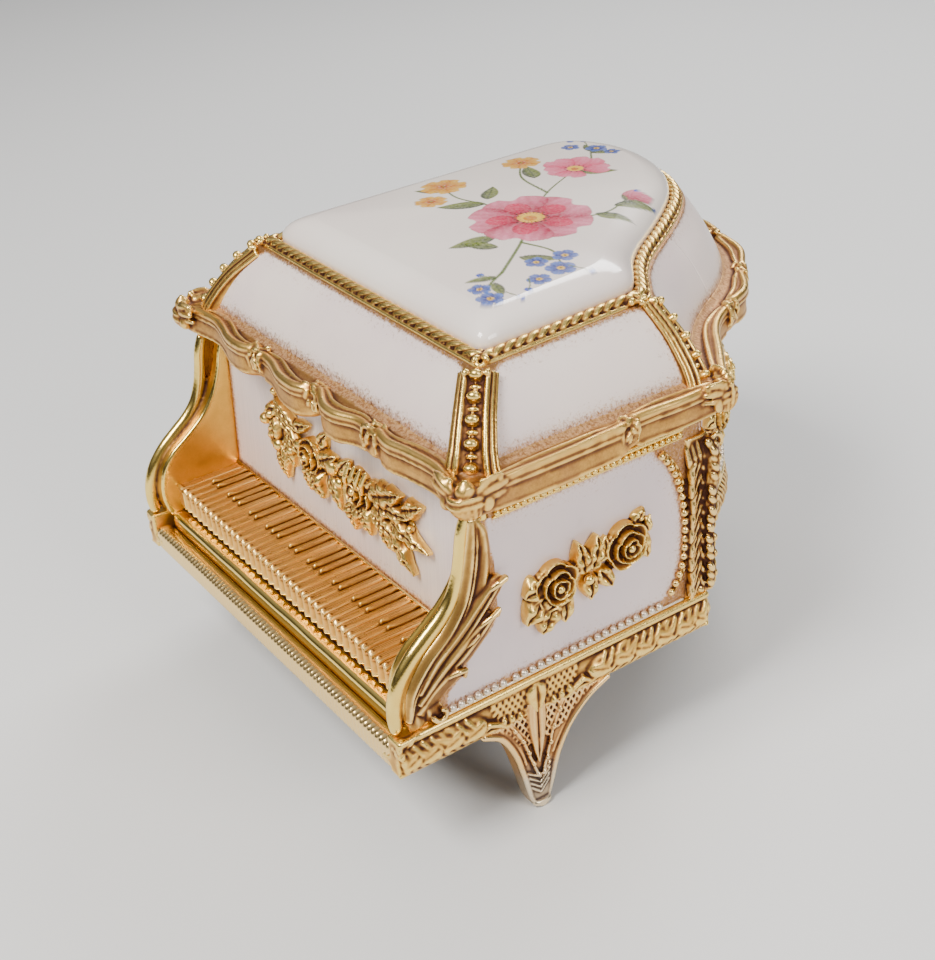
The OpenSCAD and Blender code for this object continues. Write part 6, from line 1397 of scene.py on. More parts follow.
def leg_builder(cut=None):
    """A leg in its own place: u across, outward x from 0 (back) to 4.4, z from the floor. Returned as a builder in (x, u, z)."""
    m = MB()
    half = LEG[:6]; other = LEG[:5:-1]
    A = catmull([(a - 32.7, Z0 + b) for a, b in half], 7); B = catmull([(a - 32.7, Z0 + b) for a, b in other], 7)
    zz = np.concatenate([np.linspace(0.0, 23.2, 60), np.linspace(23.3, Z0, 10)])
    def edge(C, z):
        o = np.argsort(C[:, 1]); return np.interp(z, C[o, 1], C[o, 0])
    ea, eb = edge(A, zz), edge(B, zz)
    if cut is not None: ea, eb = np.maximum(ea, -cut), np.minimum(eb, cut)
    n = 17; v = np.linspace(-1, 1, n)
    mid, hw = (ea + eb) / 2, (eb - ea) / 2
    xo = 4.05 + 0.35 * np.clip((zz - 3) / 12, 0, 1)
    dish = 0.75 * np.clip((zz - 2) / 8, 0, 1)
    Y = mid[:, None] + hw[:, None] * v[None]
    X = xo[:, None] - dish[:, None] * (1 - np.abs(v[None]) ** 2.4) * 0.9 - 0.8 * (np.abs(v[None]) > 0.96)
    front = np.stack([X, Y, np.broadcast_to(zz[:, None], Y.shape)], -1)
    backp = np.stack([np.full((len(zz), 2), 0.1), np.stack([eb, ea], 1), np.stack([zz, zz], 1)], -1)
    G = np.concatenate([front, backp], 1)
    m.grid(G, cv=True, cap=True)
    # rolled edges
    k = zz > 1.0
    for e, sg in ((ea, 1), (eb, -1)):
        P = np.stack([xo[k] - 0.35, e[k] + sg * 0.5, zz[k]], 1)
        tube(m, P, np.interp(zz[k], [0, 6, 24], [0.45, 0.62, 0.75]), 9, up=(1, 0, 0))
        P2 = np.stack([xo[k] - 0.55, e[k] + sg * 1.9, zz[k]], 1)[zz[k] > 12]
        tube(m, P2, 0.3, 7, up=(1, 0, 0))
    # lattice: crossing lines over the upper part
    for d in (-1, 1):
        for i in range(-12, 13):
            s0 = i * 1.45
            t = np.linspace(0, 1, 30); z = 15.5 + t * 11.5; u = s0 + d * (z - 21.2) * 0.62
            a_, b_ = np.interp(z, zz, ea), np.interp(z, zz, eb)
            ok = (u > a_ + 2.3) & (u < b_ - 2.3) & (np.abs(u) > 2.0 * np.clip((31 - z) / 12, 0.2, 1)) & (z < 26.5) & (z > 16.4 + np.abs(u) * 0.25)
            if ok.sum() > 3: tube(m, np.stack([np.full(ok.sum(), 3.95), u[ok], z[ok]], 1), 0.26, 6, up=(1, 0, 0))
    # lance leaf down the middle
    leaf(m, (4.25, -0.2, 30.4), (3.9, -0.4, 11.6), (1, 0, 0), 4.6, h=1.0, veins=0, fold=0.6, depth=0.8, nu=24, nv=11)
    # ridges with nodules beside it
    for sg in (1, -1):
        c = catmull([(3.9, sg * 6.6, 24.0), (4.1, sg * 3.9, 18.8), (4.1, sg * 2.3, 13.6), (4.1, sg * 0.7, 8.6)], 6)
        tube(m, c, 0.38, 7, up=(1, 0, 0))
        for i in range(5):
            q = c[min(len(c) - 1, 2 + i * 4)]
            ellipsoid(m, q + np.array([0.25, 0, 0]), (0.75, 0.55, 0.6), basis((1, 0, 0), (0, 0.3 * sg, 1)), n=8)
    # chevrons on the toe
    for i in range(4):
        z = 8.2 - 1.35 * i; w = np.interp(z, zz, hw) * 0.72
        tube(m, [(3.95, -w - 0.4, z + 1.7), (4.2, -0.3, z - 0.6), (3.95, w - 0.4, z + 1.7)], 0.27, 6, up=(1, 0, 0))
    tube(m, [(4.0, -1.9, 1.2), (4.5, -0.1, 0.8), (4.0, 1.7, 1.2)], [0.7, 0.9, 0.7], 8, up=(1, 0, 0))
    return m

def build_legs():
    for name, sx in (("right_leg", 1), ("left_leg", -1)):
        m = leg_builder(); o = MB(); o.merge(m, off=(52.8, LEG_Y, 0))
        if sx < 0: o = mirror_x(o)
        ob = cast(name + "_casting", o, GOLD_LEG, voxel=0.2, soft=1, k=7, kb=2.2)
        V = coords(ob.data); V[:, 0] = np.clip(V[:, 0], -57.6, 57.6); V[:, 2] = np.clip(V[:, 2], 0, Z1 - 1.7); set_coords(ob.data, V)
        place(ob, "case", name)
    a = rad(80); R = R1 - 4 - 0.3
    m = leg_builder(10.5); o = MB()
    M = np.array([[math.cos(a), -math.sin(a), 0], [math.sin(a), math.cos(a), 0], [0, 0, 1]])
    o.merge(m, M, off=(C1[0] + (R - 4.2) * math.cos(a), C1[1] + (R - 4.2) * math.sin(a), 0))
    ob = cast("tail_leg_casting", o, GOLD_LEG, voxel=0.22, soft=1, k=7, kb=2.2)
    V = coords(ob.data); V[:, 2] = np.clip(V[:, 2], 0, Z1 - 1.7); V[:, 1] = np.minimum(V[:, 1], 68.5); set_coords(ob.data, V)
    place(ob, "case", "tail_leg")

# ---------------------------------------------------------------- keyboard
KEY_END = 2.7; KP = (100.6 - KEY_END) / 36
KX0 = -50.3 + KEY_END

def build_keyboard():
    # front rail: polished top, reeded front
    n = 840; X = np.linspace(-53.4, 53.4, n)
    ph = (X + 53.4) / 1.42
    reed = np.abs(np.sin(pi * ph)) ** 0.7
    sec = [(4.0, 0.6, 0), (3.0, -0.2, 0), (0.75, -0.15, 0), (0.45, 0.6, .6), (0.42, 1.6, 1), (0.36, 2.6, 1), (0.34, 3.6, 1), (0.32, 4.5, 1), (0.42, 5.0, .9), (0.78, 5.55, .45), (1.25, 5.9, 0), (2.1, 6.0, 0), (3.1, 5.95, 0), (3.7, 5.8, 0), (4.0, 5.4, 0), (4.0, 3.0, 0)]
    G = np.zeros((n, len(sec), 3))
    tip = np.exp(-(np.mod(ph, 1) - 0.5) ** 2 / 0.02)
    endr = np.clip(1 - np.clip((np.abs(X) - 51.9) / 1.5, 0, 1) ** 2, 0, 1) ** 0.5
    for j, (y, z, k) in enumerate(sec):
        yy = YF + y - 0.32 * k * reed + 0.0 * X
        zz = Z0 + z + (0.28 * tip if 5.3 < z < 5.8 and y < 1.2 else 0)
        cy_, cz_ = YF + 2.1, Z0 + 2.9
        G[:, j] = np.stack([X, cy_ + (yy - cy_) * (0.35 + 0.65 * endr), cz_ + (zz - cz_) * (0.45 + 0.55 * endr)], 1)
    m = MB(); m.grid(G, cv=True, cap=True, flip=True)
    o = shell("front_rail_fluted", m, GOLD_RAIL, k=6, kb=2); place(o, "case", "front_rail")
    # key bed: dark groove, polished bar with a bead on its edge, rounded slip, and the bed under the keys
    n = 300; X = np.linspace(-50.4, 50.4, n)
    sec = [(4.1, 1.8), (4.15, 5.6), (4.15, 7.9), (4.35, 8.75), (4.8, 9.15), (5.3, 9.3), (6.0, 9.22), (6.7, 9.28), (7.1, 9.3), (7.45, 9.0), (7.62, 8.8), (7.9, 9.2), (7.7, 9.9), (7.86, 10.4), (7.9, 14.7), (8.4, 14.9), (26.8, 14.9), (26.8, 13.4), (9.4, 13.4), (9.4, 7.8), (5.8, 7.8), (5.8, 1.8)]
    G = np.stack([np.stack([X, np.full(n, YF + y), np.full(n, Z0 + z)], 1) for y, z in sec], 1)
    e = 0.12 * (vnoise(np.stack([X, X * 0, X * 0], 1), 9.0))
    G[:, 3:14, 2] += e[:, None]
    m = MB(); m.grid(G, cv=True, cap=True, flip=True)
    for y, z, r in ((5.9, 8.62, 0.92), ):
        pass
    o = shell("key_slip_bars", m, GOLD_POLISHED, k=4, kb=2); place(o, "case", "key_bed")
    # keys
    n = 1330; X = np.linspace(-50.3, 50.3, n)
    t = (X - KX0) / KP; f = np.mod(t, 1.0); on = X > KX0 - 0.2
    gap = np.where(on, np.exp(-(np.minimum(f, 1 - f) / 0.10) ** 2), 0)
    ridge = np.where(on, np.exp(-(np.minimum(f, 1 - f) / 0.22) ** 2), 0) * 0.25
    nub = np.where(on, np.exp(-((f - 0.5) / 0.17) ** 2), 0.5)
    ys = np.concatenate([np.linspace(23.3, 7.6, 70), np.linspace(7.4, 6.4, 10)])
    rows = []
    for i, y in enumerate(ys):
        ly = 7.6 - y
        scr = 0.035 * hashn(np.floor(X / 0.16), np.full(n, 3.0)) + 0.03 * hashn(np.floor(X / 0.09), np.floor(np.full(n, y / 3.1)))
        crown = 0.10 * np.cos((f - 0.5) * pi)
        z = 16.45 + crown - 0.62 * gap + scr
        if ly > 0: z = z + 0.42 * nub * math.exp(-((y - 6.9) / 0.35) ** 2) - 0.30 * (1 - nub) * (ly / 1.2) ** 1.5
        rows.append(np.stack([X, np.full(n, YF + y), Z0 + z], 1))
    zf = np.linspace(15.9, 10.7, 26)
    for z in zf:
        low = np.clip((15.6 - z) / 1.2, 0, 1)
        notch = np.where(on, np.clip(np.cos(2 * pi * f) * 0.5 + 0.5, 0, 1) ** 1.3, 0.0)
        y = 6.42 + 0.85 * notch * low + 0.25 * (1 - nub) + 0.10 * low
        rows.append(np.stack([X, YF + y, np.full(n, Z0 + z)], 1))
    for y, z in ((7.7, 10.6), (7.8, 14.9), (23.3, 15.0)):
        rows.append(np.stack([X, np.full(n, YF + y), np.full(n, Z0 + z)], 1))
    G = np.stack(rows, 1)
    m = MB(); m.grid(G, cv=True, cap=True, flip=True)
    tube(m, [(-50.2, YF + 23.0, Z0 + 16.95), (50.2, YF + 23.0, Z0 + 16.95)], 0.36, 8)
    o = shell("white_keys", m, GOLD_KEYS, k=9, kb=2.5); place(o, "case", "keyboard")
    # black keys: low strips with a pointed nub at each end
    m = MB()
    for i in range(35):
        if i % 7 in (2, 6): continue
        x = KX0 + (i + 1) * KP; y0 = YF + 13.2; L = 9.7; j = hashn(i, 5)
        S = [(0, 0.05, 0.35), (0.25, 0.75, 0.5), (0.7, 1.0 + 0.0 * j, 0.3), (1.5, 0.62, 0.5), (2.3, 0.42, 0.52), (4.8, 0.38, 0.5), (7.2, 0.42, 0.5), (8.2, 0.55, 0.45), (8.9, 0.8 + 0.08 * j, 0.28), (9.5, 0.5, 0.4), (9.7, 0.05, 0.3)]
        P = []
        for y, h, w in S:
            a = np.array([(-w, -0.2), (-w, h * 0.45), (-w * 0.45, h * 0.9), (0, h), (w * 0.45, h * 0.9), (w, h * 0.45), (w, -0.2)])
            P.append(np.stack([x + a[:, 0], np.full(7, y0 + y), Z0 + 16.62 + a[:, 1] * 0.98], 1))
        m.grid(np.array(P), cv=True, cap=True)
    o = shell("black_key_strips", m, GOLD, cav=False)
    # the strips' cavity value rises towards their foot, so the gilt ramp darkens them low down: painted shade between
    # the keys
    set_attr(o.data, "cav", np.clip(0.75 - (coords(o.data)[:, 2] - Z0 - 16.6) * 0.62, 0.05, 1)); place(o, "case", "black_keys")

def build_corner():
    """Acanthus on the rear corner between the side and the bentside."""
    m = MB(); y = YC
    cols = [((54.6, y - 3.7), (56.1, y - 3.6)), ((55.6, y - 1.4), (57.0, y - 1.2)), ((55.4, y + 0.6), (56.8, y + 1.0)), ((52.8, y + 1.4), (54.6, y + 2.2))]
    # core
    hull = np.array([(49.8, y + 0.8), (50.4, y + 1.9), (54.6, y + 1.6), (56.4, y + 0.7), (56.8, y - 0.8), (56.6, y - 4.4), (55.4, y - 5.0), (54.4, y - 4.2), (53.0, y - 0.4)])
    H = resample(hull, n=40, closed=True)
    z = np.linspace(Z1 + 0.05, Z2 - 3.6, 50)
    G = np.stack([np.concatenate([H, np.full((len(H), 1), q)], 1) for q in z])
    m.grid(G, cv=True, cap=True, flip=True)
    # stem of overlapping leaflets down the corner, a fan at the top
    path = catmull([(56.4, y + 0.6, Z2 - 5), (57.6, y + 1.2, 66), (57.7, y + 0.6, 58), (57.2, y + 0.6, 50), (57.0, y + 0.8, 42), (57.0, y + 1.0, Z1 + 1)], 8)
    tube(m, path, np.interp(np.linspace(0, 1, len(path)), [0, .2, .5, 1], [1.3, 1.7, 1.2, 1.0]), 10)
    nd = unit(np.array([1.0, 0.75, 0]))
    for i in range(17):
        c = path[int((i + 0.5) / 17 * (len(path) - 1))]
        for sg in (-1, 1):
            sd = np.cross(nd, (0, 0, 1)) * sg
            ellipsoid(m, c + sd * (1.05 + 0.25 * hashn(i, sg)) + nd * (0.75 + 0.3 * hashn(i, 4)), (1.45, 0.85, 0.75), basis(nd + sd * 0.7, np.array([0, 0, 1.0]) + sd * 0.8), n=10)
        if i % 2: ellipsoid(m, c + nd * 1.3, (1.1, 0.8, 0.75), basis(nd, (0, 0, 1)), n=9)
    for i in range(6):
        a = -0.9 + i * 0.36
        top = np.array([56.1 + 0.1 * i, y - 4.4 + i * 1.15, Z2 - 4.6 - 0.5 * abs(i - 2)])
        tube(m, [top, top + np.array([0.7, 0.25, -3.0]), top + np.array([0.5, 0.9 + 0.1 * i, -7.6])], [0.55, 0.75, 0.35], 8, up=(1, 0, 0))
    for i in range(9):
        q = Z2 - 10 - i * 3.5
        leaf(m, (56.4, y - 1.6 + 0.3 * hashn(i, 2), q + 3.0), (56.9, y - 4.0 + 0.3 * hashn(i, 3), q - 3.6), (1, 0.15, 0.1), 2.9, h=0.9, veins=3, curl=0.4, depth=0.8, side=-0.08)
        leaf(m, (56.7, y - 1.4, q + 1.6), (57.3, y + 0.2, q - 3.9), (1, 0.5, 0.1), 2.4, h=0.9, veins=3, curl=0.35, depth=0.8, side=0.08)
    # scroll at the top of the corner, under the rim
    for sg, cc in ((1, (57.4, y + 2.0, 68.5)), (-1, (57.6, y + 1.6, 61.5))):
        t = np.linspace(0, 4.6, 18)
        tube(m, np.stack([np.full(18, cc[0]), cc[1] + (1.9 - 0.3 * t) * np.cos(t), cc[2] + 1.5 * (1.9 - 0.3 * t) * np.sin(t) * sg], 1), 0.55, 8, up=(1, 0, 0))
    # foot block
    for i in range(9):
        h = [hashn(i, q) for q in range(4)]
        ellipsoid(m, (56.6 + 0.5 * h[0], y - 0.8 + 2.0 * h[1], Z1 + 2.6 + 2.0 * h[2]), (1.2, 0.8, 0.8), basis((1, h[3], h[0]), (0, h[1], 1)), n=8)
    m.merge(side_beads)
    o = cast("rear_corner_acanthus", m, GOLD_SHADED, voxel=0.24, soft=1, k=7, kb=2.4)
    V = coords(o.data); V[:, 2] = np.clip(V[:, 2], Z1 + 0.02, Z2 - 0.02); V[:, 0] = np.minimum(V[:, 0], 59.8); set_coords(o.data, V)
    place(o, "case", "rear_corner_bracket")

GOLD_KEYS = gold("keyboard_gilt", crest=(1.0, 0.70, 0.24), mid=(0.90, 0.50, 0.12), low=(0.34, 0.15, 0.045), pit=(0.10, 0.04, 0.02), rough=0.27, speck=0.5, tooth=0.3)
GOLD_RAIL = gold("rail_gilt", crest=(1.0, 0.72, 0.30), mid=(0.84, 0.46, 0.13), low=(0.30, 0.14, 0.06), pit=(0.08, 0.035, 0.02), rough=0.22, speck=0.3, tooth=0.2)
GOLD_LEG = gold("leg_gilt", crest=(1.0, 0.68, 0.28), mid=(0.76, 0.40, 0.12), low=(0.30, 0.13, 0.05), rough=0.25, pale_below=(0.0075, 0.0125))
build_cheeks()
build_cheek_enamel()
build_frame()
build_legs()
build_keyboard()
build_corner()

# ---------------------------------------------------------------- porcelain plaque with a painted spray
def round_loop(o, n, times=60):
    P = resample(loop_at(o), ds=0.5, closed=True)
    for _ in range(times): P = 0.5 * P + 0.25 * (np.roll(P, 1, 0) + np.roll(P, -1, 0))
    return resample(P, n=n, closed=True)

class Paint:
    """Overglaze colours laid on points in plan, in mm. Each stroke is a soft-edged shape with its own brush streaks."""
    def __init__(s, P): s.P = P; s.C = np.zeros((len(P), 3)); s.A = np.zeros(len(P))
    def lay(s, mask, col, a=1.0):
        m = np.clip(mask, 0, 1) * a; t = s.A + m * (1 - s.A)
        k = np.where(t > 1e-6, m / np.maximum(t, 1e-6), 0)[:, None]
        on = m > 0
        s.C[on] = (s.C * (1 - k) + np.asarray(col) * k)[on]; s.A = t
    def local(s, c, a):
        d = s.P - np.asarray(c, float); ca, sa = math.cos(a), math.sin(a)
        return d[:, 0] * ca + d[:, 1] * sa, -d[:, 0] * sa + d[:, 1] * ca
    def petal(s, c, a, L, W, edge, heart, notch=0.0, seed=0.0, belly=0.62, tone=0.0, ink=None):
        """A petal from c along a; edge is its rim colour and heart the colour at its root."""
        u, v = s.local(c, a); t = u / L
        near = (t > -0.1) & (t < 1.15) & (np.abs(v) < W)
        if not near.any(): return
        w = W / 2 * np.sin(pi * np.clip(t, 0, 1) ** (math.log(0.5) / math.log(belly))) ** 0.62
        top = 1.0 - notch * np.exp(-(v / (W * 0.13)) ** 2) + 0.02 * np.sin(v * 5 / W * 2 + seed * 9)
        m = smoothstep(0, 0.28, w - np.abs(v)) * (t > 0) * smoothstep(0, 0.03, top - t)
        streak = 0.5 + 0.5 * np.sin(v / W * 30 + 3 * np.sin(t * 4 + seed) + seed * 5) * np.sin(v / W * 13 + seed * 3)
        k = np.clip(0.12 + 0.95 * np.clip(1 - t, 0, 1) ** 1.3 + 0.30 * (streak - 0.5) + tone + 0.55 * (np.abs(v) / np.maximum(w, 0.1)) ** 4 * 0.6, 0, 1)
        col = np.asarray(edge)[None] * (1 - k[:, None]) + np.asarray(heart)[None] * k[:, None]
        if ink is not None:
            o = np.exp(-((w - np.abs(v)) / 0.22) ** 2) * (t > 0.03) * (t < top)
            col = col * (1 - 0.5 * o[:, None]) + np.asarray(ink) * 0.5 * o[:, None]
        s.lay(m, col, 0.96)
    def leafshape(s, c, a, L, W, light, dark, bend=0.0):
        u, v = s.local(c, a); t = u / L; v = v - bend * L * np.sin(pi * np.clip(t, 0, 1) * 0.5) ** 2
        w = W / 2 * np.sin(pi * np.clip(t, 0, 1) ** 0.75) ** 0.9
        m = smoothstep(0, 0.3, w - np.abs(v)) * (t > 0) * (t < 1)
        vein = np.exp(-(v / 0.20) ** 2) + 0.5 * (np.sin((u - np.abs(v) * 1.1) * 3.4) > 0.72) * (np.abs(v) > 0.15)
        k = np.clip(0.2 + 0.6 * (v > 0) * smoothstep(0, 1, v / np.maximum(w, .1)) + 0.5 * vein + 0.25 * (1 - t), 0, 1)
        s.lay(m, np.asarray(light)[None] * (1 - k[:, None]) + np.asarray(dark)[None] * k[:, None], 0.93)
    def line(s, pts, w0, w1, col, a=0.95):
        c = catmull(pts, 40)
        lo, hi = c.min(0) - 1.5, c.max(0) + 1.5
        near = np.where(((s.P > lo) & (s.P < hi)).all(1))[0]
        if not len(near): return
        D = np.hypot(s.P[near, 0][:, None] - c[None, :, 0], s.P[near, 1][:, None] - c[None, :, 1]); i = D.argmin(1)
        w = (w0 + (w1 - w0) * i / (len(c) - 1)) / 2
        m = np.zeros(len(s.P)); m[near] = smoothstep(0.12, -0.08, D.min(1) - w)
        s.lay(m, np.asarray(col), a)
    def dot(s, c, r, col, a=1.0):
        d = np.hypot(*(s.P - np.asarray(c)).T)
        s.lay(smoothstep(0.12, -0.12, d - r), np.asarray(col), a)

def paint_spray(P):
    """A loose garden spray: wild roses, primroses and forget-me-nots with ovate leaves."""
    s = Paint(P)
    rose_l, rose_m, rose_d = srgb(0.96, 0.66, 0.74), srgb(0.90, 0.36, 0.50), srgb(0.72, 0.10, 0.30)
    g_l, g_m, g_d = srgb(0.66, 0.70, 0.28), srgb(0.46, 0.54, 0.20), srgb(0.25, 0.34, 0.14)
    b_l, b_m, b_d = srgb(0.55, 0.66, 0.90), srgb(0.25, 0.40, 0.80), srgb(0.12, 0.20, 0.58)
    y_l, y_d, br = srgb(0.97, 0.83, 0.38), srgb(0.85, 0.56, 0.14), srgb(0.45, 0.22, 0.12)
    # stems
    for pts in ([(24, -16), (14, -4), (4, 6), (-6, 18), (-13, 30)], [(4, 4), (-8, 4), (-18, 2), (-27, 4)], [(-6, 18), (-18, 20), (-27, 26)], [(-13, 30), (-16, 38), (-23, 44)], [(10, 10), (12, 20), (9, 28)], [(14, -4), (22, -2), (29, -5)], [(24, -16), (27, -21), (31, -25)]):
        s.line(pts, 0.75, 0.4, g_m)
    # leaves
    for c, a, L, W, b in (((8, -6), -1.9, 11, 5.0, .1), ((13, -9), -2.5, 9, 4.0, -.1), ((-10, 4), -2.3, 11, 4.8, .12), ((-12, 6), 2.5, 9, 4.2, -.1), ((-16, 22), 2.6, 10, 4.4, .1), ((-12, 30), 2.2, 9, 4.2, -.1), ((-12, 32), 0.9, 9, 4.0, .1),
                          ((11, 18), 0.4, 9, 4.0, .1), ((10, 24), 1.3, 10, 4.2, -.1), ((20, -9), 0.6, 9, 3.8, .1), ((-22, 44), 2.7, 7, 3.0, .1), ((-22, 43), 1.2, 8, 3.2, -.1), ((-24, 3), -2.6, 8, 3.6, .1), ((27, -20), -0.5, 7, 2.8, .1), ((25, -18), -1.8, 7, 2.8, -.1)):
        s.leafshape(c, a, L, W, g_l, g_d, b)
    # large wild rose
    for i in range(5):
        a = 0.35 + i * 2 * pi / 5
        s.petal((4, 6), a, 14.0, 15.5, rose_l, rose_d, notch=0.13, seed=i * 1.3, belly=0.68, ink=srgb(0.62, 0.08, 0.24))
        u = (4 + 1.5 * math.cos(a), 6 + 1.5 * math.sin(a))
        s.petal(u, a + 0.12, 8.5, 6.0, rose_m, rose_d, seed=i * 2.1, belly=0.6, tone=-0.15)
    s.dot((4, 6), 3.0, y_l); s.dot((4.3, 5.6), 1.5, y_d, 0.8)
    for i in range(22):
        t = i * 2 * pi / 22; r = 3.5 + 0.5 * math.sin(i * 2.3)
        s.line([(4 + 2.3 * math.cos(t), 6 + 2.3 * math.sin(t)), (4 + r * math.cos(t), 6 + r * math.sin(t))], 0.22, 0.22, y_d); s.dot((4 + r * math.cos(t), 6 + r * math.sin(t)), 0.30, br)
    # smaller rose turned aside, and a bud
    for i, (a, L, W) in enumerate(((0.9, 8.5, 8), (2.0, 9.5, 9), (3.2, 9.0, 8.6), (4.3, 7.5, 8), (5.4, 7.0, 7.6))):
        s.petal((-15, 33), a, L, W, rose_l, rose_m, notch=0.12, seed=5 + i, belly=0.66, ink=srgb(0.75, 0.2, 0.36))
    s.dot((-15, 33), 1.9, y_l); s.dot((-14.8, 32.7), 0.9, y_d)
    for i in range(12):
        t = i * 2 * pi / 12; s.dot((-15 + 2.4 * math.cos(t), 33 + 2.4 * math.sin(t)), 0.26, br)
    for a in (1.9, 1.55, 2.25): s.petal((9.5, 28.5), a, 7, 4.6, rose_l, rose_d, seed=a, belly=0.5)
    s.leafshape((9.5, 28), 1.1, 4.5, 1.6, g_l, g_d); s.leafshape((9.5, 28), 2.7, 4.5, 1.6, g_l, g_d)
    # primroses
    for c, r in (((-27.5, 4.5), 5.6), ((-28, 27), 4.8), ((-20.5, -3.5), 3.9)):
        for i in range(5): s.petal(c, 0.2 + i * 2 * pi / 5 + c[0], r, r * 1.12, y_l, y_d, notch=0.22, seed=i + c[1], belly=0.7, ink=srgb(0.74, 0.45, 0.12))
        s.dot(c, 0.9, srgb(0.80, 0.42, 0.10)); s.dot(c, 0.4, g_l)
    # forget-me-nots
    for c, r in (((30, -6), 3.4), ((25.5, -1.5), 2.9), ((31.5, -12.5), 2.7), ((32.5, -25), 3.0), ((27.5, -24), 2.5), ((24.5, -8), 2.6), ((-24, 46.5), 2.8), ((-29, 42.5), 2.4), ((-19.5, 47.5), 2.1)):
        for i in range(5):
            a = 0.5 + c[0] + i * 2 * pi / 5
            s.petal(c, a, r, r * 0.95, b_l, b_d, seed=i + c[0], belly=0.66, tone=0.05, ink=b_d)
        s.dot(c, r * 0.24, y_l); s.dot(c, r * 0.10, br)
    for c in ((34, -17), (35.5, -20), (22, -20), (34.5, -2), (-31, 48), (-33, 45.5), (13.5, 33), (6, 34)): s.dot(c, 0.85, b_m); s.dot((c[0] + 0.3, c[1] + 0.3), 0.35, b_l)
    for c, d in (((30, -14), (34, -17)), ((32, -21), (35.5, -20)), ((26, -19), (22, -20)), ((30, -4), (34.5, -2)), ((-27, 46), (-31, 48)), ((9.4, 29), (13.5, 33)), ((9.2, 30), (6, 34))): s.line([c, ((c[0] + d[0]) / 2 + .5, (c[1] + d[1]) / 2), d], 0.35, 0.25, g_m)
    return s.C, s.A

def build_plaque():
    n = 900
    prof = [(-18.62, 0.02), (-18.5, 1.0), (-18.5, 2.2), (-18.72, 3.1), (-19.2, 3.95), (-19.9, 4.7), (-20.8, 5.35), (-21.9, 5.85), (-23.2, 6.25), (-24.6, 6.55)]
    rows = [np.concatenate([round_loop(o, n), np.full((n, 1), ZS + z)], 1) for o, z in prof]
    L = rows[-1][:, :2]; c = np.array([-8.0, 8.0]); k = 120
    for i in range(1, k):
        t = i / k
        P = c + (L - c) * (1 - t)
        if i % 4 == 0 and i < 100: L0 = P
        z = 6.55 + 0.80 * (1 - (1 - t) ** 2.0) + 0.10 * math.sin(0)
        rows.append(np.concatenate([P, np.full((n, 1), ZS + z)], 1))
    G = np.stack(rows, 0)
    m = MB(); m.grid(G, cv=True, cap=True, flip=True)
    me = to_mesh("porcelain_plaque_painted", m)
    o = to_object("porcelain_plaque_painted", me, PORCELAIN)
    face_out(me)
    V = coords(me)
    C, A = paint_spray(V[:, :2]); C = np.clip(C, 0, 1); C[:, :3] = C[:, :3] ** 1.42
    A = A * (V[:, 2] > ZS + 3.5)
    at = me.color_attributes.new("paint", "FLOAT_COLOR", "POINT")
    at.data.foreach_set("color", np.concatenate([C, A[:, None]], 1).astype(np.float32).ravel())
    set_attr(me, "foot", 1 - smoothstep(ZS + 0.2, ZS + 2.0, V[:, 2]))
    smooth_shade(me)
    return place(o, "lid", "porcelain_plaque")

def porcelain():
    s = NT("painted_porcelain")
    col = s.mix(s.range(s.noise(26, 3, 0.5), 0.38, 0.66), srgb(0.975, 0.935, 0.895), srgb(0.95, 0.895, 0.865))
    speck = s.range(s.voronoi(310), 0.030, 0.018, 0.0, 0.5)
    col = s.mix(speck, col, srgb(0.55, 0.50, 0.46))
    a = s.node("ShaderNodeAttribute", attribute_name="paint")
    thin = s.math("MULTIPLY", a.outputs["Alpha"], s.range(s.noise(1500, 2, 0.6), 0.25, 0.6, 0.84, 1.0))
    col = s.mix(thin, col, a.outputs["Color"])
    foot = s.math("MULTIPLY", s.attr("foot"), s.range(s.noise(210, 4, 0.6), 0.3, 0.7, 0.35, 0.95))
    col = s.mix(foot, col, srgb(0.70, 0.42, 0.20))
    h = s.math("MULTIPLY_ADD", s.noise(55, 2, 0.5), 1.0, s.math("MULTIPLY", thin, 0.10))
    s.set(color=col, rough=s.range(s.noise(90, 3, 0.5), 0.3, 0.7, 0.13, 0.19), normal=s.bump(h, 0.16, 0.0006), coat=0.7, coat_rough=0.05, ior=1.52, spec=0.5)
    return s.m
PORCELAIN = porcelain()

build_plaque()

# ---------------------------------------------------------------- more materials
def skin():
    s = NT("doll_skin")
    col = s.mix(s.range(s.noise(420, 3, 0.5), 0.35, 0.65), srgb(0.96, 0.80, 0.70), srgb(0.93, 0.74, 0.64))
    col = s.mix(s.math("MULTIPLY", s.attr("blush"), 0.55), col, srgb(0.90, 0.45, 0.42))
    col = s.mix(s.attr("lips"), col, srgb(0.74, 0.16, 0.20))
    col = s.mix(s.math("MULTIPLY", s.attr("brow"), 0.8), col, srgb(0.35, 0.20, 0.12))
    col = s.mix(s.attr("eye"), col, srgb(0.10, 0.07, 0.07))
    s.set(color=col, rough=s.range(s.noise(900, 2, 0.5), 0.3, 0.7, 0.36, 0.46), normal=s.bump(s.noise(2200, 2, 0.5), 0.06, 0.00005), sss=0.12)
    s.b.inputs["Subsurface Scale"].default_value = 0.0006
    return s.m

def sewn(name, a, b, nap=3000, sheen=0.3, rough=0.4, stretch=None):
    s = NT(name)
    n1 = s.noise(nap, 2, 0.6, stretch=stretch); n2 = s.noise(300, 3, 0.5)
    col = s.mix(s.range(s.math("MULTIPLY_ADD", n1, 0.6, s.math("MULTIPLY", n2, 0.4)), 0.38, 0.62), a, b)
    s.set(color=col, rough=s.range(n2, 0.3, 0.7, rough - 0.05, rough + 0.08), normal=s.bump(n1, 0.25, 0.00005), sheen=sheen, sheen_rough=0.4)
    return s.m

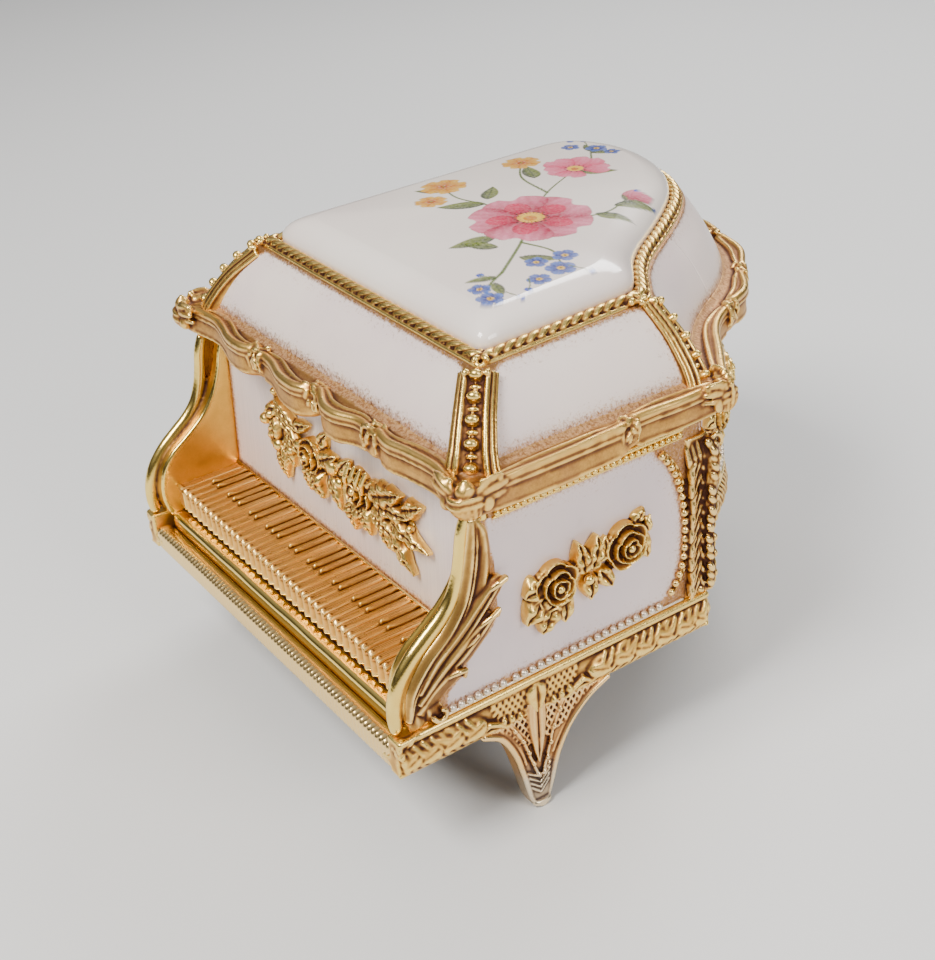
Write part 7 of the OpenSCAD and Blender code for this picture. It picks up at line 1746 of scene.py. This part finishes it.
def net():
    """Fine net: threads with open meshes between them, closing up where the pleats are seen edge on."""
    s = NT("tutu_net_cloth")
    g = s.range(s.voronoi(2600, "DISTANCE_TO_EDGE"), 0.05, 0.16, 1.0, 0.0)
    rim = s.range(s.attr("rim"), 0.94, 0.985)
    a = s.math("MAXIMUM", s.math("MULTIPLY_ADD", g, 0.50, 0.44), rim)
    col = s.mix(s.range(s.noise(700, 3, 0.5), 0.35, 0.65), srgb(0.97, 0.94, 0.94), srgb(0.95, 0.88, 0.89))
    col = s.mix(rim, col, srgb(0.96, 0.92, 0.86))
    s.set(color=col, rough=s.range(g, 0, 1, 0.55, 0.75), alpha=a, sheen=0.4, sheen_rough=0.4, normal=s.bump(g, 0.2, 0.00003))
    return s.m

def glass_mirror():
    s = NT("silvered_mirror")
    fog = s.range(s.noise(60, 5, 0.6), 0.52, 0.80, 0.02, 0.09)
    col = s.mix(s.range(s.noise(200, 4, 0.7), 0.6, 0.8), (0.86, 0.88, 0.88), (0.62, 0.62, 0.60))
    s.set(color=col, metal=1.0, rough=fog, coat=0.6, coat_rough=0.02)
    return s.m

def plate_paint():
    s = NT("base_plate_paint")
    n = s.noise(900, 4, 0.6)
    col = s.mix(s.range(s.noise(90, 4, 0.6), 0.40, 0.66), srgb(0.30, 0.26, 0.22), srgb(0.24, 0.20, 0.17))
    col = s.mix(s.range(s.noise(1900, 3, 0.7), 0.66, 0.72), col, srgb(0.52, 0.42, 0.30))
    s.set(color=col, rough=s.range(n, 0.3, 0.7, 0.5, 0.66), metal=0.25, normal=s.bump(n, 0.3, 0.0001))
    return s.m

def plastic(name, a, b, rough=0.42):
    s = NT(name)
    n = s.noise(260, 3, 0.5)
    s.set(color=s.mix(s.range(n, 0.36, 0.66), a, b), rough=s.range(s.noise(1200, 2, 0.5), 0.3, 0.7, rough - 0.04, rough + 0.06), normal=s.bump(s.noise(2500, 2, 0.5), 0.08, 0.00004))
    return s.m

SKIN = skin(); NET = net(); MIRROR = glass_mirror(); PLATE_PAINT = plate_paint()
SATIN = sewn("bodice_satin", srgb(0.95, 0.62, 0.68), srgb(0.90, 0.50, 0.58), sheen=0.5, rough=0.33)
HAIR = sewn("doll_hair", srgb(0.34, 0.19, 0.10), srgb(0.22, 0.11, 0.06), nap=1500, stretch=(1, 1, 4), rough=0.38)
NYLON = plastic("governor_nylon", srgb(0.90, 0.89, 0.84), srgb(0.84, 0.83, 0.77))
GILT_PLAIN = metal("plain_gilt", (0.86, 0.58, 0.24), 0.28, grain=(500, 500, 500), tooth=0.25)
CELLULOID = plastic("doll_stand_plastic", srgb(0.93, 0.90, 0.86), srgb(0.88, 0.84, 0.80))

# ---------------------------------------------------------------- lining, trays and dancer
NODES = frame["nodes"]

def from_cad(node):
    """The node's own mesh as one builder-free mesh copy."""
    me = NODES[node].data.copy(); me.materials.clear()
    return me

def upholster(name, node, body, mat, voxel=0.8, soft=4, nap=0.10):
    """Flocked cloth over a node's shape: its edges are rounded and its face has the small unevenness of glued cloth."""
    o = bpy.data.objects.new(name, from_cad(node)); COLL.objects.link(o)
    mod = o.modifiers.new("fuse", "REMESH"); mod.mode = "VOXEL"; mod.voxel_size = voxel * MM; mod.adaptivity = 0
    dg = bpy.context.evaluated_depsgraph_get()
    me = bpy.data.meshes.new_from_object(o.evaluated_get(dg))
    old = o.data; o.modifiers.clear(); o.data = me; me.name = name; bpy.data.meshes.remove(old)
    V = relax(coords(me), edges_of(me), soft, 0.5)
    set_coords(me, V); N = normals_of(me)
    V = V + N * (nap * vnoise(V, 3.4, 2) + 0.5 * nap * vnoise(V, 1.3, 5) - 0.02)[:, None]
    set_coords(me, V); cavity(me, k=4); smooth_shade(me)
    me.materials.clear(); me.materials.append(mat)
    return place(o, body, node)

def build_rolls():
    """Five padded ring rolls: each a stuffed tube of velvet, puffed up between its ends and tight against its neighbours."""
    obs = []
    for i in range(5):
        x = -52.8 + 3.3 + i * 6.7
        nL, nC = 60, 30
        y = np.linspace(YF + 29.0, YF + 28.8 + 45.5, nL)
        e = np.minimum(y - y[0], y[-1] - y)
        w = 0.90 + 0.10 * smoothstep(0, 5, e)
        th = np.linspace(0, 2 * pi, nC, endpoint=False)
        zc_ = Z0 + 20.2
        rx = 3.28 - 0.05; G = np.zeros((nL, nC, 3))
        c_, s_ = np.cos(th), np.sin(th)
        up = np.where(s_ > 0, s_ * 3.25, s_ * 9.7)
        for j in range(nL):
            endk = math.sqrt(max(0.02, 1 - max(0, 1 - e[j] / 2.6) ** 2))
            G[j, :, 0] = x + rx * np.sign(c_) * np.abs(c_) ** 0.85 * w[j] * (0.55 + 0.45 * endk)
            G[j, :, 1] = y[j]
            G[j, :, 2] = zc_ + np.where(s_ > 0, up * w[j] * (0.35 + 0.65 * endk), up)
        m = MB(); m.grid(G, cv=True, cap=True)
        obs.append(m)
    allm = MB()
    for m in obs: allm.merge(m)
    o = to_object("velvet_ring_rolls", allm)
    face_out(o.data)
    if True: puff(o, 20)
    me = o.data
    V = coords(me); N = normals_of(me)
    fine = o.modifiers.new("fine", "SUBSURF"); fine.levels = 1; fine.render_levels = 1
    dg = bpy.context.evaluated_depsgraph_get(); me2 = bpy.data.meshes.new_from_object(o.evaluated_get(dg))
    o.modifiers.clear(); o.data = me2; bpy.data.meshes.remove(me); me2.name = "velvet_ring_rolls"
    V = coords(me2); N = normals_of(me2)
    wr = 0.10 * vnoise(V * np.array([1, 0.45, 1]), 1.7, 3) + 0.06 * vnoise(V, 0.9, 8)
    V = V + N * wr[:, None] * (V[:, 2] > Z0 + 17)[:, None]
    V[:, 0] = np.clip(V[:, 0], -53.0, -18.95); V[:, 1] = np.clip(V[:, 1], YF + 28.6, YF + 74.8); V[:, 2] = np.clip(V[:, 2], Z0 + 10.25, Z0 + 24.0)
    set_coords(me2, V); cavity(me2, k=3); smooth_shade(me2)
    me2.materials.clear(); me2.materials.append(VELVET_ROLL)
    return place(o, "case", "ring_rolls")

def puff(o, frames_, cap=0.45, grow=10.0):
    """Cloth with pressure inside, at ten times size so that the solver's step suits it. Points may move only a little."""
    me = o.data; V0 = coords(me)
    set_coords(me, V0 * grow)
    sc = bpy.context.scene
    mod = o.modifiers.new("pad", "CLOTH"); c = mod.settings
    c.use_pressure = True; c.uniform_pressure_force = 4.0; c.effector_weights.gravity = 0.0
    c.quality = 4; c.mass = 0.3; c.tension_stiffness = 20; c.compression_stiffness = 20; c.shear_stiffness = 6; c.bending_stiffness = 0.8
    vg = o.vertex_groups.new(name="held")
    low = np.where(V0[:, 2] < Z0 + 15.5)[0]
    vg.add([int(i) for i in low], 1.0, "REPLACE"); c.vertex_group_mass = "held"
    for f in range(1, frames_ + 1): sc.frame_set(f)
    dg = bpy.context.evaluated_depsgraph_get()
    ev = o.evaluated_get(dg); m2 = ev.to_mesh(); V = np.zeros(len(m2.vertices) * 3, np.float32); m2.vertices.foreach_get("co", V)
    V = V.reshape(-1, 3).astype(float) / MM / grow; ev.to_mesh_clear()
    o.modifiers.clear(); sc.frame_set(1); o.vertex_groups.clear()
    d = V - V0; ln = np.linalg.norm(d, axis=1, keepdims=True)
    V = V0 + d * np.minimum(1, cap / np.maximum(ln, 1e-9)) if np.isfinite(V).all() else V0
    set_coords(me, V)

AX = np.array([-22.0, 25.5]); ZF = Z0 + 33.1; LEGS = 14.5

def build_dancer():
    """A small moulded doll on one toe with raised arms. The face is a plain doll's face."""
    at = lambda x, y, z: np.array([AX[0] + x, AX[1] + y, ZF + z])
    m = MB(); L = LEGS
    tube(m, [at(0.35, 0, 0.5), at(0.36, -0.05, 2.0), at(0.35, 0, 2.8)], [0.34, 0.48, 0.5], 12)
    # standing leg: ankle, calf, knee, thigh
    tube(m, [at(0.35, 0, 2.4), at(0.35, 0.12, 4.4), at(0.35, 0.16, 5.8), at(0.35, 0, 7.7), at(0.35, -0.02, 9), at(0.3, 0.0, 12), at(0.2, 0, L + 0.3)], [0.48, 0.74, 0.86, 0.72, 0.92, 1.2, 1.38], 16)
    # raised leg
    hip, knee = at(-0.4, 0, L - 0.4), at(-6.2, 0, L - 3.7)
    tube(m, [hip, hip * 0.5 + knee * 0.5 + np.array([0, 0, 0.1]), knee], [1.3, 1.1, 0.82], 16)
    foot = at(-0.6, 0.0, L - 6.3)
    tube(m, [knee, knee * 0.62 + foot * 0.38 + np.array([0, 0, -0.25]), knee * 0.3 + foot * 0.7, foot], [0.84, 0.82, 0.5, 0.42], 14)
    tube(m, [foot, at(0.2, 0.05, L - 6.8)], [0.42, 0.26], 10)
    skin = m
    # head, neck, arms
    h = MB()
    tube(h, [at(0, 0, L + 6.4), at(0, 0, L + 8.3)], [0.66, 0.56], 14)
    tube(h, [at(-1.6, 0, L + 5.7), at(0, 0, L + 6.3), at(1.6, 0, L + 5.7)], [0.62, 0.8, 0.62], 12, up=(0, 1, 0))
    hc = at(0, -0.05, L + 9.6)
    ellipsoid(h, hc, (1.62, 1.72, 1.9), n=24)
    ellipsoid(h, hc + np.array([0, -0.35, -0.85]), (1.02, 1.1, 1.0), n=18)
    ellipsoid(h, hc + np.array([0, -1.66, -0.28]), (0.20, 0.26, 0.34), n=10)
    for sx in (-1, 1):
        ellipsoid(h, hc + np.array([sx * 0.78, -1.05, -0.62]), (0.52, 0.42, 0.46), n=12)
        ellipsoid(h, hc + np.array([sx * 0.60, -1.52, 0.06]), (0.26, 0.12, 0.15), n=10)
        tube(h, [hc + np.array([sx * 0.28, -1.60, 0.34]), hc + np.array([sx * 0.62, -1.56, 0.46]), hc + np.array([sx * 0.95, -1.36, 0.36])], 0.09, 6)
        ellipsoid(h, hc + np.array([sx * 1.55, 0.05, -0.1]), (0.18, 0.34, 0.45), n=10)
        sh = at(sx * 1.7, 0, L + 5.6); el = at(sx * 5.3, 0, L + 8.4); hd = at(sx * 2.2, 0, L + 14.1)
        tube(h, [sh, (sh + el) / 2, el], [0.70, 0.66, 0.56], 14, up=(0, 1, 0))
        tube(h, [el, el * 0.6 + hd * 0.4 + np.array([sx * 0.25, 0, 0]), hd], [0.58, 0.52, 0.34], 14, up=(0, 1, 0))
        tube(h, [hd, hd + np.array([-sx * 0.35, -0.05, 0.55])], [0.36, 0.22], 10)
        for q in range(3): tube(h, [hd + np.array([-sx * 0.2, -0.15 + 0.15 * q, 0.3]), hd + np.array([-sx * (0.7 + 0.12 * q), -0.2 + 0.2 * q, 0.75 - 0.1 * q])], [0.12, 0.09], 6)
    ellipsoid(h, hc + np.array([0, -1.50, -0.76]), (0.30, 0.14, 0.09), n=10)
    ellipsoid(h, hc + np.array([0, -1.46, -0.90]), (0.22, 0.13, 0.08), n=10)
    skin.merge(h)
    o = cast("dancer_figure_skin", skin, SKIN, voxel=0.12, soft=2, k=6); place(o, "drum", "ballerina_figure")
    me = o.data; V = coords(me) - hc; lips = np.exp(-(((V[:, 0]) / 0.34) ** 2 + ((V[:, 2] + 0.82) / 0.17) ** 2)) * (V[:, 1] < -1.15)
    eye = sum(np.exp(-(((V[:, 0] - sx * 0.60) / 0.22) ** 2 + ((V[:, 2] - 0.05) / 0.11) ** 2)) * (V[:, 1] < -1.2) for sx in (-1, 1))
    brow = sum(np.exp(-(((V[:, 0] - sx * 0.62) / 0.36) ** 2 + ((V[:, 2] - 0.44) / 0.07) ** 2)) * (V[:, 1] < -1.1) for sx in (-1, 1))
    blush = sum(np.exp(-(((V[:, 0] - sx * 0.86) / 0.34) ** 2 + ((V[:, 2] + 0.45) / 0.28) ** 2)) * (V[:, 1] < -0.8) for sx in (-1, 1))
    set_attr(me, "lips", np.clip(lips * 1.2, 0, 1)); set_attr(me, "eye", np.clip(eye * 1.5, 0, 1)); set_attr(me, "brow", np.clip(brow, 0, 1)); set_attr(me, "blush", np.clip(blush, 0, 1))
    # bodice, slippers, hair and little crown
    b = MB()
    t = np.linspace(0, 2 * pi, 40, endpoint=False)
    prof = [(0.0, 1.30, 1.2), (0.6, 1.75, 1.55), (1.0, 1.9, 1.7), (1.7, 1.62, 1.42), (2.6, 1.36, 1.2), (3.6, 1.55, 1.36), (4.6, 1.92, 1.6), (5.2, 1.98, 1.55), (5.6, 1.75, 1.3), (5.75, 1.2, 0.9)]
    G = np.stack([np.stack([AX[0] + (a + 0.03 * np.cos(12 * t)) * np.cos(t), AX[1] + (c_ + 0.03 * np.cos(12 * t)) * np.sin(t), np.full(40, ZF + L + z)], 1) for z, a, c_ in prof])
    b.grid(G, cv=True, cap=True, flip=True)
    for sx in (-1, 1):
        ellipsoid(b, at(sx * 0.75, -1.15, L + 4.7), (0.72, 0.6, 0.66), n=12)
        tube(b, [at(sx * 1.2, -0.9, L + 5.4), at(sx * 1.35, 0, L + 6.6), at(sx * 1.2, 0.9, L + 5.5)], 0.16, 8)
    tube(b, [at(1.45 * math.cos(q), 1.28 * math.sin(q), L + 2.5) for q in np.linspace(0, 2 * pi, 30, endpoint=False)], 0.22, 8, closed=True)
    for c0, c1_ in ((at(0.35, -0.05, 0.05), at(0.35, 0, 2.2)), (foot + np.array([-0.7, 0, 0.2]), at(0.25, 0.05, L - 6.85))):
        tube(b, [c0, (c0 + c1_) / 2, c1_], [0.34, 0.52, 0.55], 12)
    o = cast("dancer_bodice_and_shoes", b, SATIN, voxel=0.12, soft=1, k=6); place(o, "drum")
    q = MB()
    ellipsoid(q, hc + np.array([0, 0.28, 0.28]), (1.82, 1.66, 1.86), n=26)
    ellipsoid(q, at(0, 0.95, L + 11.5), (0.95, 0.92, 0.8), n=18)
    for i in range(9):
        a = -1.2 + 2.4 * i / 8
        tube(q, [hc + np.array([1.0 * math.sin(a), -0.95 * math.cos(a) - 0.3, 1.45]), hc + np.array([1.75 * math.sin(a), 0.2, 1.3 - 0.9 * abs(math.sin(a))]), hc + np.array([0.6 * math.sin(a), 1.5, 1.2])], [0.22, 0.3, 0.22], 8)
    for i in range(10):
        a = i * 2 * pi / 10; tube(q, [at(0.8 * math.cos(a), 0.95 + 0.75 * math.sin(a), L + 11.2), at(0.25 * math.cos(a + 0.8), 0.95 + 0.2 * math.sin(a + 0.8), L + 12.2)], 0.17, 7)
    o = cast("dancer_hair", q, HAIR, voxel=0.12, soft=1, k=6); place(o, "drum")
    # crown of small beads
    q = MB()
    for i in range(13):
        a = -1.15 + 2.3 * i / 12
        ellipsoid(q, hc + np.array([1.45 * math.sin(a), -1.0 * math.cos(a) - 0.1, 1.42 + 0.12 * math.cos(a)]), 0.17 + 0.09 * math.exp(-(a / 0.4) ** 2), n=8)
    o = shell("dancer_tiara", q, GOLD, k=3); place(o, "drum")

def build_tutu():
    """A strip of pleated net, folded double along its rim, with both edges gathered in at the waist."""
    zt_ = ZF + LEGS + 1.2
    na, nr = 560, 26
    a = np.linspace(0, 2 * pi, na, endpoint=False)
    rows = []
    for lay, (rz, amp, n) in enumerate(((9.55, 0.30, 27), (9.45, 0.27, 24))):
        for k in (np.linspace(0, 1, nr) if lay == 0 else np.linspace(0.985, 0, nr)):
            R = 1.62 + (rz - 1.62) * k - 0.16 * np.abs(np.sin(a * 27)) * smoothstep(0.9, 1.0, k)
            z = zt_ + 0.95 - 1.30 * k ** 1.25 - 0.25 * k ** 3 + 0.10 * k * np.sin(a * 5 + lay)
            z = z + amp * k ** 0.8 * np.sin(a * (n if k < 0.9 else 27) + 1.5 * np.sin(a * 3)) - (0.55 * (1 - k ** 4) if lay else 0)
            rows.append(np.stack([AX[0] + R * np.cos(a), AX[1] + R * np.sin(a), z], 1))
    P = np.stack(rows)
    du = np.gradient(P, axis=0); dv = (np.roll(P, -1, 1) - np.roll(P, 1, 1)) / 2
    N = unit(np.cross(du, dv))
    G = np.concatenate([P + N * 0.045, (P - N * 0.045)[::-1]], 0)
    m = MB(); m.grid(G, cu=True, cv=True)
    o = to_object("tutu_net", m, NET)
    face_out(o.data)
    kk = np.concatenate([np.linspace(0, 1, nr), np.linspace(0.985, 0, nr)]); kk = np.repeat(np.concatenate([kk, kk[::-1]]), na)
    set_attr(o.data, "rim", kk)
    smooth_shade(o.data)
    place(o, "drum", "ballerina_tutu")

upholster("front_tray_velvet", "front_tray", "case", VELVET, voxel=0.55, soft=3, nap=0.07)
upholster("rear_tray_velvet", "rear_tray", "case", VELVET, voxel=0.55, soft=3, nap=0.07)
upholster("lid_lining_velvet", "lid_lining", "lid", VELVET, voxel=0.6, soft=3, nap=0.08)
build_rolls()
build_dancer()
build_tutu()

# what stays as it was built gets its own surface
BY_SLOT = {"gilt_metal": GILT_PLAIN, "white_enamel": ENAMEL, "porcelain": PORCELAIN, "red_velvet": VELVET, "tutu_net": NET, "mirror": MIRROR,
           "base_paint": PLATE_PAINT, "movement_brass": BRASS, "steel": STEEL, "figure_plastic": CELLULOID, "governor_plastic": NYLON}
rec = frame["record"]
SLOT_OF = {}
for part in rec["subparts"]: SLOT_OF[part["node"]] = part["material_slot"]
for node, ob in NODES.items():
    mat = BY_SLOT[SLOT_OF[node]]
    ob.data.materials.clear(); ob.data.materials.append(mat)

# nothing stands outside the overall size by a hair's breadth
lo_, hi_ = np.array(cad_box) / MM
for o in bpy.data.objects:
    if o.type != "MESH" or o.get("three_tool_node") or o.name in frame["nodes"] or "floor" in o.name: continue
    V = coords(o.data)
    if len(V) == 0 or (V.min(0) < lo_ - 1).any() or (V.max(0) > hi_ + 1).any(): continue
    W = np.clip(V, lo_ + 1e-4, hi_ - 1e-4)
    if np.abs(W - V).max() > 1e-5: set_coords(o.data, W)
